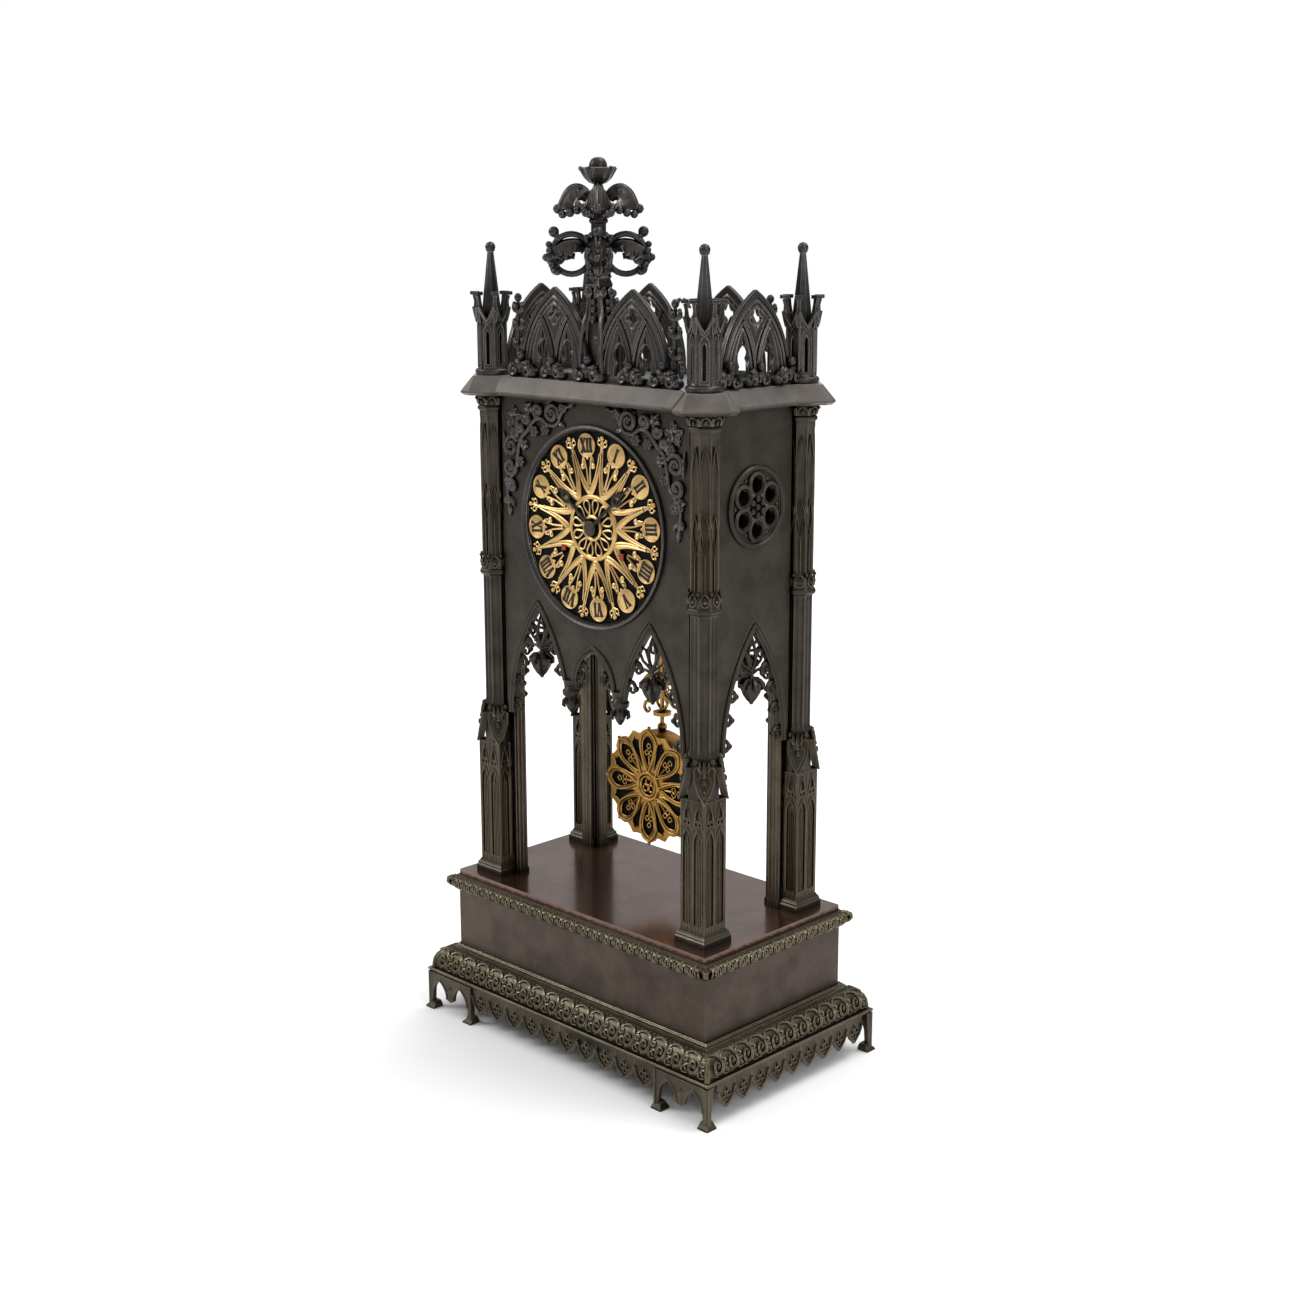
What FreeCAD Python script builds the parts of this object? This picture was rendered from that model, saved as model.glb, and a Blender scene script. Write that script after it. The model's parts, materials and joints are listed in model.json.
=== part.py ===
"""Gothic revival mantel clock: a patinated bronze portico on four corner columns, with a round
eight-day movement, a gilt openwork dial and a gilt pendulum.

Millimetres. X runs to the right, Y to the back and Z up. The origin is the middle of the footprint
on the table. Every size is a cell of the sheet "Dims"; pieces are sketched from those values and
their heights and places are bound to the cells.
"""
import FreeCAD, Part
import math
import os
import re
from FreeCAD import Placement, Rotation, Vector

# ---------------------------------------------------------------------------------------------
# Driving dimensions
# ---------------------------------------------------------------------------------------------
DIMS = {
    # fits
    "seat_gap": 0.05,               # play between pieces that are slipped together
    "pivot_play": 0.05,             # radial play of a turning arbor in its hole
    "hanging_gap": 0.3,             # gap of a piece that moves past its seat
    # feet, rail and skirt
    "foot_height": 24.2,
    "foot_half_x": 121.6,
    "foot_half_y": 74.3,
    "foot_pad_side": 8.8,
    "foot_pad_height": 2.4,
    "foot_leg_width": 3.8,
    "foot_leg_pitch": 37.5,
    "foot_plate": 3.0,
    "foot_pendant_top": 13.0,
    "foot_arch_top": 20.5,
    "rail_half_x": 120.4,
    "rail_half_y": 72.8,
    "rail_height": 2.6,
    "rail_width": 12.0,
    "skirt_thickness": 2.0,
    "skirt_depth": 15.5,
    "skirt_margin": 5.2,
    "front_lobes": 10,
    "side_lobes": 9,
    # plinth
    "scroll_moulding_height": 15.5,
    "scroll_moulding_half_x": 118.5,
    "scroll_moulding_half_y": 71.0,
    "plinth_half_x": 104.7,
    "plinth_half_y": 58.2,
    "plinth_wall": 4.0,
    "leaf_moulding_bottom": 79.5,
    "leaf_moulding_reach": 6.4,
    "platform_bottom": 88.5,
    "platform_top": 92.1,
    "platform_half_x": 104.3,
    "platform_half_y": 57.9,
    # columns and posts
    "column_x": 85.25,
    "column_y": 39.3,
    "block_half": 11.3,
    "block_height": 6.6,
    "pier_half": 8.9,
    "pier_top": 176.0,
    "flute_width": 2.6,
    "flute_depth": 0.7,
    "flute_top": 158.0,
    "shield_half": 5.8,
    "shield_top": 202.0,
    "shield_reach": 13.4,
    "shaft_half": 7.6,
    "ring_height": 282.0,
    "ring_half": 9.4,
    "crown_height": 10.0,
    "neck_height": 379.5,
    "neck_half": 8.9,
    "capital_half": 10.4,
    "post_reach": 14.75,
    "post_side_reach": 11.8,
    "post_depth": 6.2,
    # case panels and arches
    "panel_face": 1.7,              # how far the panels stand outside the column axes
    "panel_thickness": 3.5,
    "panel_gap": 0.35,              # between a panel's edge and the ring on the column
    "arch_spring": 196.0,
    "arch_x": 46.0,
    "arch_radius": 107.2,
    "arch_centre_shift": 83.0,      # from an arch's axis to the centre of its opposite curve
    "pendant_top": 223.5,
    "pendant_bottom": 207.5,
    "middle_arch_half": 15.0,
    "middle_arch_rise": 21.0,
    "stem_width": 2.2,
    "boss_top": 236.5,
    "boss_height": 13.0,
    "boss_half": 6.9,
    "rosette_height": 333.5,
    "rosette_radius": 23.0,
    "rosette_rim": 2.4,
    "rosette_relief": 1.5,
    "rosette_hole_radius": 5.0,
    "rosette_hole_circle": 12.6,
    # slab
    "slab_bottom": 387.4,
    "slab_fillet": 2.6,
    "slab_top": 398.4,
    "slab_half_x": 95.7,
    "slab_half_y": 49.8,
    "abacus_half": 21.6,
    "abacus_flat": 6.8,
    "bevel_width": 6.8,
    "fillet_width": 0.8,
    # turrets
    "turret_x": 84.6,
    "turret_y": 39.4,
    "turret_ring_half": 9.9,
    "turret_ring_height": 3.6,
    "drum_half": 7.6,
    "lancet_width": 3.0,
    "lancet_depth": 1.6,
    "lancet_top": 426.0,
    "crown_bottom": 430.0,
    "crown_top": 438.5,
    "crown_half": 10.0,
    "stub_side": 3.0,
    "stub_top": 446.5,
    "stub_circle": 9.6,
    "gable_drop": 5.0,
    "spire_half": 4.9,
    "spire_neck_half": 1.7,
    "spire_neck": 468.9,
    "turret_ball_half": 2.9,
    "turret_top": 474.6,
    # cresting
    "crest_front": 39.6,            # distance of the front cresting's face from the middle
    "crest_side": 86.2,
    "crest_thickness": 2.6,
    "crest_foot_height": 4.0,
    "crest_arch_x": 31.0,
    "crest_arch_half": 28.0,
    "crest_arch_top": 450.2,
    "crest_lancet_half": 6.2,
    "crest_lancet_shift": 9.6,
    "crest_lancet_spring": 411.0,
    "crest_lancet_rise": 13.0,
    "crest_eye_height": 433.0,
    "crest_eye_radius": 4.6,
    "crest_post_x": 62.5,
    "crest_post_side": 2.6,
    "crest_post_top": 446.0,
    # finial
    "finial_y": 33.85,
    "finial_pier_half": 8.0,
    "finial_waist_half": 4.6,
    "finial_waist_height": 440.0,
    "finial_stem_half": 4.2,
    "finial_stem_top": 488.0,
    "scroll_centre_height": 468.6,
    "scroll_reach": 29.2,
    "scroll_radius": 12.4,
    "scroll_wire": 3.2,
    "scroll_hub_half": 6.0,
    "canopy_height": 505.4,
    "canopy_rim_height": 488.8,
    "canopy_radius": 23.8,
    "bud_radius": 9.9,
    "finial_top": 520.0,
    # dial
    "dial_height": 316.7,
    "dial_turn": 5.3,               # degrees by which the dial sits turned in its bezel
    "bezel_radius": 58.3,
    "bezel_width": 3.4,
    "bezel_relief": 2.1,
    "bezel_tube": 0.6,
    "bezel_tube_length": 4.0,
    "dial_plate_face": 39.5,
    "dial_plate_thickness": 1.0,
    "gilt_thickness": 1.3,
    "chapter_radius": 46.8,
    "cartouche_radius": 7.0,
    "gilt_ring_radius": 18.6,
    "gilt_ring_width": 3.6,
    "gilt_hub_radius": 6.6,
    "gilt_spoke_width": 2.2,
    "gilt_point_reach": 51.5,
    "gilt_point_width": 3.2,
    "winding_x": 23.6,
    "winding_drop": 13.6,
    "winding_hole": 3.6,
    "winding_square": 3.4,
    "vine_thickness": 2.0,
    "vine_reach_x": 70.0,
    "vine_inner_x": 20.0,
    "vine_top": 383.5,
    "vine_bottom": 322.0,
    "vine_circle": 61.5,
    # hands
    "minute_hand_length": 43.0,
    "minute_hand_angle": 50.0,      # clockwise from the top
    "minute_hand_plane": 42.5,
    "hour_hand_length": 33.0,
    "hour_hand_angle": -52.0,
    "hour_hand_plane": 41.6,
    "hand_thickness": 0.5,
    "hand_width": 1.3,
    "hand_eye_radius": 3.1,
    "hand_eye_hole": 1.9,
    "minute_eye_distance": 28.2,
    "hour_eye_distance": 26.2,
    "hand_collet_radius": 3.6,
    "hand_collet_depth": 1.6,
    # movement
    "plate_radius": 42.0,
    "plate_thickness": 2.5,
    "front_plate_face": 33.0,
    "back_plate_face": -1.0,        # distance of the back plate's front face before the middle
    "pillar_half": 2.6,
    "pillar_circle": 36.5,
    "arbor_radius": 0.75,
    "barrel_radius": 15.0,
    "barrel_front": 26.4,
    "barrel_length": 20.6,
    "barrel_arbor": 2.2,
    "great_teeth": 36,
    "great_module": 0.9,
    "second_teeth": 36,
    "second_module": 0.75,
    "centre_teeth": 60,
    "centre_module": 0.46,
    "third_teeth": 60,
    "third_module": 0.42,
    "leaves": 6,
    "escape_teeth": 40,
    "escape_radius": 8.0,
    "escape_height": 26.5,
    "anchor_height": 38.5,
    "wheel_thickness": 1.5,
    "pinion_length": 3.0,
    "cannon_teeth": 8,
    "minute_teeth": 24,
    "minute_module": 0.75,
    "hour_teeth": 32,
    "hour_module": 0.6,
    "motion_angle": 45.0,
    "cannon_radius": 1.75,
    "cannon_wall": 0.75,
    "pipe_wall": 0.9,
    # escapement, pendulum and strike
    "crutch_length": 30.0,
    "crutch_offset": 2.6,           # from the back plate's rear face, clear of the arbor ends
    "crutch_thickness": 1.3,
    "suspension_width": 1.6,
    "rod_radius": 1.3,
    "rod_plane": 16.0,
    "bob_height": 154.5,
    "bob_radius": 32.5,
    "bob_front": 5.2,
    "bob_back": 20.5,
    "rosette_bob_radius": 35.6,
    "rosette_bob_thickness": 2.0,
    "rosette_petals": 8,
    "fleuron_height": 213.0,
    "fleuron_eye": 7.6,
    "fleuron_shift": 8.2,
    "fleuron_thickness": 2.2,
    "bell_radius": 36.0,
    "bell_front": 21.0,
    "bell_back": 34.0,
    "bell_wall": 1.5,
    "hammer_x": 33.0,
    "hammer_drop": 19.0,
    "hammer_head_half": 3.6,
    # back of the case
    "rear_opening": 46.6,
    "rear_bezel_radius": 50.5,
    "rear_bezel_depth": 2.6,
    "strap_width": 8.0,
    "strap_thickness": 1.2,
    "strap_reach": 46.1,
    "door_radius": 44.5,
    "door_thickness": 1.2,
    "hinge_x": 52.4,
    "hinge_pin_radius": 1.1,
    "hinge_knuckle_radius": 2.3,
    "hinge_length": 18.0,
}

doc = FreeCAD.newDocument("MantelClock")
sheet = doc.addObject("Spreadsheet::Sheet", "Dims")
for row, (alias, number) in enumerate(DIMS.items(), start=1):
    sheet.set("A%d" % row, alias)
    sheet.set("B%d" % row, str(number))
    sheet.setAlias("B%d" % row, alias)
doc.recompute()


class Sizes:
    """The sheet's values by name, for outlines that are worked out in code."""

    def __getattr__(self, alias):
        return float(sheet.get(alias))


d = Sizes()
nodes = {}
panel_y = d.column_y + d.panel_face
panel_x = d.column_x + d.panel_face


# ---------------------------------------------------------------------------------------------
# Helpers
# ---------------------------------------------------------------------------------------------
def formula(text):
    """Turns 'slab_top - slab_bottom' into an expression on the sheet's cells."""
    return re.sub(r"[a-z]+(?:_[a-z]+)*", lambda word: "Dims." + word.group(0), str(text))


def polygon(points):
    """Closed outline of straight edges."""
    ends = [Vector(x, y, 0) for x, y in points]
    return [Part.LineSegment(a, b) for a, b in zip(ends, ends[1:] + ends[:1])]


def polar(radius, degrees, centre=(0.0, 0.0)):
    turn = math.radians(degrees)
    return (centre[0] + radius * math.cos(turn), centre[1] + radius * math.sin(turn))


def regular(sides, radius, centre=(0.0, 0.0), turn=0.0):
    """Regular polygon through its corners."""
    return polygon([polar(radius, turn + 360.0 * i / sides, centre) for i in range(sides)])


def octagon(half, centre=(0.0, 0.0)):
    """Octagon with flats at the given distance, one of them facing each axis."""
    return regular(8, half / math.cos(math.radians(22.5)), centre, 22.5)


def rectangle(low_x, low_y, high_x, high_y):
    return polygon([(low_x, low_y), (high_x, low_y), (high_x, high_y), (low_x, high_y)])


def lancet(centre_x, spring, half, rise, foot):
    """Pointed arch: straight sides from the foot to the springing, then two arcs to the point."""
    radius = (rise * rise + half * half) / (2.0 * half)
    shift = radius - half
    middle = math.asin(rise / radius) / 2.0
    across = radius * math.cos(middle) - shift
    up = radius * math.sin(middle)
    left = Vector(centre_x - half, spring, 0)
    right = Vector(centre_x + half, spring, 0)
    top = Vector(centre_x, spring + rise, 0)
    return [
        Part.LineSegment(Vector(centre_x - half, foot, 0), Vector(centre_x + half, foot, 0)),
        Part.LineSegment(Vector(centre_x + half, foot, 0), right),
        Part.Arc(right, Vector(centre_x + across, spring + up, 0), top),
        Part.Arc(top, Vector(centre_x - across, spring + up, 0), left),
        Part.LineSegment(left, Vector(centre_x - half, foot, 0)),
    ]


def window(centre_x, spring, half, rise, foot):
    """Small pointed opening with each curve drawn as two chords."""
    shoulder = (0.72 * half, spring + 0.58 * rise)
    points = [(-half, foot), (half, foot), (half, spring), shoulder, (0.0, spring + rise),
              (-shoulder[0], shoulder[1]), (-half, spring)]
    return polygon([(centre_x + x, z) for x, z in points])


PLANES = {"x": "YZ_Plane", "y": "XZ_Plane", "z": "XY_Plane"}
AXES = {"x": "X_Axis", "y": "Y_Axis", "z": "Z_Axis"}


def origin_part(body, role):
    return next(part for part in body.Origin.OriginFeatures if part.Role == role)


def new_body(label, x="0", y="0", z="0", turn=0.0):
    """A piece with its own origin, placed by expressions and turned about Z."""
    body = doc.addObject("PartDesign::Body", label)
    body.Label = label
    body.Placement = Placement(Vector(), Rotation(Vector(0, 0, 1), turn))
    for axis, text in zip("xyz", (x, y, z)):
        body.setExpression("Placement.Base." + axis, formula(text))
    nodes[label] = body
    return body


def sketch(body, axis, loops, offset="0", turn=0.0):
    """Sketch across the given axis. On "y" the outline is in x and z, on "x" in y and z.

    A turn swings the sketch plane and its offset about the body's Z axis.
    """
    drawing = body.newObject("Sketcher::SketchObject", body.Label + "_sketch")
    drawing.AttachmentSupport = (origin_part(body, PLANES[axis]), [""])
    drawing.MapMode = "FlatFace"
    drawing.AttachmentOffset = Placement(Vector(), Rotation(Vector(0, 1, 0), turn))
    across, along = math.sin(math.radians(turn)), math.cos(math.radians(turn))
    if turn:
        drawing.setExpression("AttachmentOffset.Base.x", formula("(%s) * %.9f" % (offset, across)))
        offset = "(%s) * %.9f" % (offset, along)
    drawing.setExpression("AttachmentOffset.Base.z", formula(offset))
    for loop in loops:
        drawing.addGeometry(loop, False)
    return drawing


def extrude(body, axis, loops, low, length, kind="PartDesign::Pad", turn=0.0):
    """Pads or pockets the outline between low and low + length along the axis."""
    offset = low
    if axis == "y":
        offset = "-(%s) - (%s)" % (low, length)
    drawing = sketch(body, axis, loops, offset, turn)
    feature = body.newObject(kind, body.Label + "_" + kind.split("::")[1].lower())
    feature.Profile = drawing
    feature.setExpression("Length", formula(length))
    if kind == "PartDesign::Pocket":
        feature.Reversed = True
    return feature


def cut(body, axis, loops, low, length, turn=0.0):
    return extrude(body, axis, loops, low, length, "PartDesign::Pocket", turn)


def loft(body, axis, sections):
    """Ruled loft through (offset, loop) sections; on "y" the offset runs to the front."""
    drawings = [sketch(body, axis, [loop], offset) for offset, loop in sections]
    feature = body.newObject("PartDesign::AdditiveLoft", body.Label + "_loft")
    feature.Profile = drawings[0]
    feature.Sections = drawings[1:]
    feature.Ruled = True
    return feature


def repeat(body, feature, axis, count, angle=360.0):
    """Repeats one feature about the body's own axis."""
    pattern = body.newObject("PartDesign::PolarPattern", body.Label + "_pattern")
    pattern.Originals = [feature]
    pattern.Axis = (origin_part(body, AXES[axis]), [""])
    pattern.Angle = angle
    pattern.Occurrences = int(count)
    body.Tip = pattern
    return pattern


# Tooth shape: heights in modules, half widths as a share of half the tooth pitch.
WHEEL_ADDENDUM = 0.6
WHEEL_DEDENDUM = 1.0
WHEEL_TIP = 0.12
LEAF_ADDENDUM = 0.5
LEAF_DEDENDUM = 0.9
LEAF_ROOT = 0.55
LEAF_TIP = 0.10


def gear(teeth, module, phase=0.0):
    """Wheel outline with straight flanks and pointed roots, a tooth standing at the phase angle."""
    pitch = module * teeth / 2.0
    step = 180.0 / teeth
    points = []
    for tooth in range(int(teeth)):
        middle = phase + 2.0 * step * tooth
        points.append(polar(pitch + WHEEL_ADDENDUM * module, middle - WHEEL_TIP * step))
        points.append(polar(pitch + WHEEL_ADDENDUM * module, middle + WHEEL_TIP * step))
        points.append(polar(pitch - WHEEL_DEDENDUM * module, middle + step))
    return polygon(points)


def leaves(teeth, module, phase=0.0):
    """Pinion outline: thin leaves with a narrow flat at the root."""
    pitch = module * teeth / 2.0
    step = 180.0 / teeth
    points = []
    for leaf in range(int(teeth)):
        middle = phase + 2.0 * step * leaf
        points.append(polar(pitch - LEAF_DEDENDUM * module, middle - LEAF_ROOT * step))
        points.append(polar(pitch + LEAF_ADDENDUM * module, middle - LEAF_TIP * step))
        points.append(polar(pitch + LEAF_ADDENDUM * module, middle + LEAF_TIP * step))
        points.append(polar(pitch - LEAF_DEDENDUM * module, middle + LEAF_ROOT * step))
    return polygon(points)


def signs():
    """The four corners: name, sign of x, sign of y and the turn that carries ++ there."""
    return [("back_right", 1, 1, 0.0), ("back_left", -1, 1, 90.0),
            ("front_left", -1, -1, 180.0), ("front_right", 1, -1, 270.0)]


# ---------------------------------------------------------------------------------------------
# Base
# ---------------------------------------------------------------------------------------------
def make_feet():
    """Each bracket foot has two legs under a pair of pointed arches with a hanging drop."""
    for name, sx, sy, _ in signs():
        body = new_body("foot_" + name)
        outer = d.foot_half_x - 1.4
        inner = outer - d.foot_leg_pitch - d.foot_leg_width
        leg = d.foot_leg_width
        middle = (outer + inner) / 2.0
        pad = d.foot_pad_height
        spring = pad + 4.5
        points = [(outer, pad), (outer, d.foot_height), (inner, d.foot_height), (inner, pad)]
        points += [(inner + leg, pad), (inner + leg, spring)]
        points += [(inner + 0.33 * (middle - inner) + leg / 2.0, d.foot_arch_top - 3.5)]
        points += [((inner + leg + middle) / 2.0, d.foot_arch_top)]
        points += [(middle - 3.0, d.foot_pendant_top + 1.5), (middle, d.foot_pendant_top - 4.5)]
        points += [(middle + 3.0, d.foot_pendant_top + 1.5)]
        points += [((outer - leg + middle) / 2.0, d.foot_arch_top)]
        points += [(outer - 0.33 * (outer - middle) - leg / 2.0, d.foot_arch_top - 3.5)]
        points += [(outer - leg, spring), (outer - leg, pad)]
        face = sy * (d.foot_half_y - 1.4)
        low = face if sy < 0 else face - d.foot_plate
        extrude(body, "y", [polygon([(sx * x, z) for x, z in points])], low, "foot_plate")
        corner = outer - leg if sx > 0 else -outer
        low = face if sy < 0 else face - leg - 1.4
        side_leg = rectangle(corner, pad, corner + leg, d.foot_height)
        extrude(body, "y", [side_leg], low, "foot_leg_width + 1.4")
        half = d.foot_pad_side / 2.0
        for x in (d.foot_half_x - half, inner + leg / 2.0 + 0.6):
            y = d.foot_half_y - half
            square = rectangle(sx * x - half, sy * y - half, sx * x + half, sy * y + half)
            extrude(body, "z", [square], "0", "foot_pad_height")


def make_rail():
    """Flat rail on the feet, with a skirt of pointed lobes hanging on all four sides."""
    body = new_body("base_rail")
    outer = rectangle(-d.rail_half_x, -d.rail_half_y, d.rail_half_x, d.rail_half_y)
    inner_x = d.rail_half_x - d.rail_width
    inner_y = d.rail_half_y - d.rail_width
    inner = rectangle(-inner_x, -inner_y, inner_x, inner_y)
    extrude(body, "z", [outer, inner], "foot_height", "rail_height")
    leg_x = d.foot_half_x - 1.4 - d.foot_leg_pitch - d.foot_leg_width - d.seat_gap
    leg_y = d.rail_half_y - d.skirt_margin - d.foot_leg_width - d.hanging_gap
    thick = d.skirt_thickness
    for side in (-1, 1):
        face = side * (d.rail_half_y - 1.2)
        low = face if side < 0 else face - thick
        extrude(body, "y", skirt(leg_x, int(d.front_lobes)), low, "skirt_thickness")
        face = side * (d.rail_half_x - 1.2)
        low = face - thick if side > 0 else face
        extrude(body, "x", skirt(leg_y, int(d.side_lobes)), low, "skirt_thickness")


def skirt(reach, count):
    """Outline of a hanging skirt with a pierced lozenge in every lobe."""
    top = d.foot_height
    pitch = 2.0 * reach / count
    points = [(reach, top), (-reach, top)]
    holes = []
    for lobe in range(count):
        left = -reach + lobe * pitch
        middle = left + pitch / 2.0
        notch = top - 0.35 * d.skirt_depth
        points.append((left + 0.02 * pitch, notch))
        points.append((left + 0.12 * pitch, top - 0.66 * d.skirt_depth))
        points.append((middle, top - d.skirt_depth))
        points.append((left + 0.88 * pitch, top - 0.66 * d.skirt_depth))
        centre = top - 0.5 * d.skirt_depth
        high = 0.27 * d.skirt_depth
        wide = 0.24 * pitch
        holes.append(polygon([(middle - wide, centre), (middle, centre - high),
                              (middle + wide, centre), (middle, centre + high)]))
    points.append((reach - 0.02 * pitch, top - 0.35 * d.skirt_depth))
    return [polygon(points)] + holes


def frame_sections(sections):
    """Rectangular sections (offset, half x, half y) for a mitred moulding."""
    return [(offset, rectangle(-x, -y, x, y)) for offset, x, y in sections]


def make_plinth():
    """Scroll moulding, plain box, leaf moulding and the polished platform."""
    body = new_body("scroll_moulding")
    out_x, out_y = d.scroll_moulding_half_x, d.scroll_moulding_half_y
    inset = out_x - d.plinth_half_x - 1.6
    profile = [(0.0, 0.6), (0.22, 0.0), (0.52, 0.16), (0.80, 0.55), (0.90, 0.86), (1.0, 1.0)]
    sections = []
    for share, in_share in profile:
        offset = "foot_height + rail_height + scroll_moulding_height * %g" % share
        pull = in_share * inset if share else in_share
        sections.append((offset, out_x - pull, out_y - pull))
    loft(body, "z", frame_sections(sections))
    wall_x = d.plinth_half_x - d.plinth_wall
    wall_y = d.plinth_half_y - d.plinth_wall
    opening = rectangle(-wall_x, -wall_y, wall_x, wall_y)
    cut(body, "z", [opening], "foot_height + rail_height", "scroll_moulding_height")

    body = new_body("plinth_box")
    outer = rectangle(-d.plinth_half_x, -d.plinth_half_y, d.plinth_half_x, d.plinth_half_y)
    start = "foot_height + rail_height + scroll_moulding_height"
    extrude(body, "z", [outer, opening], start, "platform_bottom - (%s)" % start)

    body = new_body("leaf_moulding")
    reach = d.leaf_moulding_reach
    sections = []
    for share, out in [(0.0, 0.12), (0.28, 1.0), (0.72, 0.75), (1.0, 0.12)]:
        offset = "leaf_moulding_bottom + %g * (platform_bottom - leaf_moulding_bottom)" % share
        sections.append((offset, d.plinth_half_x + out * reach, d.plinth_half_y + out * reach))
    loft(body, "z", frame_sections(sections))
    room_x = d.plinth_half_x + d.seat_gap
    room_y = d.plinth_half_y + d.seat_gap
    room = rectangle(-room_x, -room_y, room_x, room_y)
    cut(body, "z", [room], "leaf_moulding_bottom", "platform_bottom - leaf_moulding_bottom")

    body = new_body("platform")
    top = rectangle(-d.platform_half_x, -d.platform_half_y, d.platform_half_x, d.platform_half_y)
    extrude(body, "z", [top], "platform_bottom", "platform_top - platform_bottom")


# ---------------------------------------------------------------------------------------------
# Columns, posts and panels
# ---------------------------------------------------------------------------------------------
def make_columns():
    """Square fluted pier on a block, three shields, and an eight-sided shaft with ring and capital.

    The block and the mouldings of the shaft are cut away at the back, where the post stands.
    """
    post = d.panel_thickness - d.panel_face
    room = d.pier_half + d.seat_gap
    for name, sx, sy, turn in signs():
        body = new_body("column_" + name, "%d * column_x" % sx, "%d * column_y" % sy, "0", turn)
        b, p = d.block_half, d.pier_half
        notched = [(b, b), (-b, b), (-b, -post), (-p, -post), (-p, -p), (-post, -p), (-post, -b),
                   (b, -b)]
        extrude(body, "z", [polygon(notched)], "platform_top", "block_height")
        pier_height = "pier_top - platform_top - block_height"
        extrude(body, "z", [rectangle(-p, -p, p, p)], "platform_top + block_height", pier_height)
        flutes = []
        for shift in (-0.5, 0.5):
            along = shift * p
            low, high = along - d.flute_width / 2.0, along + d.flute_width / 2.0
            flutes.append(rectangle(low, p - d.flute_depth, high, p + 1.0))
            flutes.append(rectangle(p - d.flute_depth, low, p + 1.0, high))
        low = "platform_top + block_height + 3"
        cut(body, "z", flutes, low, "flute_top - platform_top - block_height")
        s, r, n, c = d.shaft_half, d.ring_half, d.neck_half, d.capital_half
        sections = [("pier_top", s + 0.9), ("shield_top", s + 0.9), ("shield_top + 2", s),
                    ("ring_height - 1.9", s), ("ring_height - 1.2", r), ("ring_height + 1.2", r),
                    ("ring_height + 1.9", s + 0.6), ("ring_height + crown_height", s + 1.7),
                    ("ring_height + crown_height + 1.6", s + 0.3), ("neck_height - 1.3", s + 0.1),
                    ("neck_height - 0.8", n), ("neck_height + 0.8", n),
                    ("neck_height + 1.6", s + 0.2), ("slab_bottom", c)]
        loft(body, "z", [(offset, octagon(half)) for offset, half in sections])
        top, half = d.shield_top - 1.0, d.shield_half
        shoulder = top - 13.0
        shield = [(-half, top), (-half, shoulder), (0.0, d.pier_top - 1.0), (half, shoulder),
                  (half, top), (0.0, top - 2.0)]
        reach = "shield_reach - shaft_half"
        pad = extrude(body, "y", [polygon(shield)], "shaft_half", reach, turn=225.0)
        repeat(body, pad, "z", 3, 180.0)
        corner = [(-b, -post), (-room, -post), (-room, -room), (-post, -room), (-post, -b), (-b, -b)]
        cut(body, "z", [polygon(corner)], "shield_top + 1", "slab_bottom - shield_top - 1")


def make_posts():
    """L-shaped posts behind the columns, from the platform up to the slab."""
    for name, sx, sy, _ in signs():
        body = new_body("post_" + name, "%d * column_x" % sx, "%d * column_y" % sy)
        face = d.panel_thickness - d.panel_face
        pier = d.pier_half + d.seat_gap
        back = face + d.post_depth
        points = [(-d.post_reach, -face), (-pier, -face), (-pier, -pier), (-face, -pier),
                  (-face, -d.post_side_reach), (-back - 1.8, -d.post_side_reach), (-back - 1.8, -back),
                  (-d.post_reach, -back)]
        outline = polygon([(sx * x, sy * y) for x, y in points])
        extrude(body, "z", [outline], "platform_top", "slab_bottom - platform_top")


def arch_point(axis, height, side):
    """Point of a case arch at a height; side +1 is right of the arch's axis."""
    rise = height - d.arch_spring
    return (axis + side * (math.sqrt(d.arch_radius ** 2 - rise ** 2) - d.arch_centre_shift), height)


def arch_curve(axis, side, low, high):
    """Arc of a case arch between two heights, from low to high."""
    ends = [Vector(*arch_point(axis, height, side), 0) for height in (low, (low + high) / 2.0, high)]
    return Part.Arc(*ends)


def arch_top():
    return d.arch_spring + math.sqrt(d.arch_radius ** 2 - d.arch_centre_shift ** 2)


def line(start, end):
    return Part.LineSegment(Vector(*start, 0), Vector(*end, 0))


def front_outline():
    """Outline of the front and back panels: two tall arches beside a low one, with two pendants."""
    half = d.column_x - d.ring_half - d.panel_gap
    spring, top = d.arch_spring, d.slab_bottom
    pendant, drop = d.pendant_top, d.pendant_bottom
    low_half, rise = d.middle_arch_half, d.middle_arch_rise
    radius = (rise ** 2 + low_half ** 2) / (2.0 * low_half)
    edges = []
    for side in (-1, 1):
        axis = side * d.arch_x
        outer = arch_point(axis, spring, side)
        inner = arch_point(axis, pendant, -side)
        apex = (axis, arch_top())
        edges.append(line((side * half, top), (side * half, spring)))
        edges.append(line((side * half, spring), outer))
        edges.append(arch_curve(axis, side, spring, apex[1]))
        edges.append(arch_curve(axis, -side, pendant, apex[1]))
        tip = (side * (abs(inner[0]) + low_half) / 2.0, drop)
        edges.append(line(inner, (tip[0] + side * 3.2, drop + 7.0)))
        edges.append(line((tip[0] + side * 3.2, drop + 7.0), tip))
        edges.append(line(tip, (tip[0] - side * 3.2, drop + 7.0)))
        edges.append(line((tip[0] - side * 3.2, drop + 7.0), (side * low_half, pendant)))
        bend = math.asin(rise / radius) / 2.0
        middle = (side * (radius * math.cos(bend) - radius + low_half), pendant + radius * math.sin(bend))
        edges.append(Part.Arc(Vector(side * low_half, pendant, 0), Vector(*middle, 0),
                              Vector(0, pendant + rise, 0)))
    edges.append(line((-half, top), (half, top)))
    return edges


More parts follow.
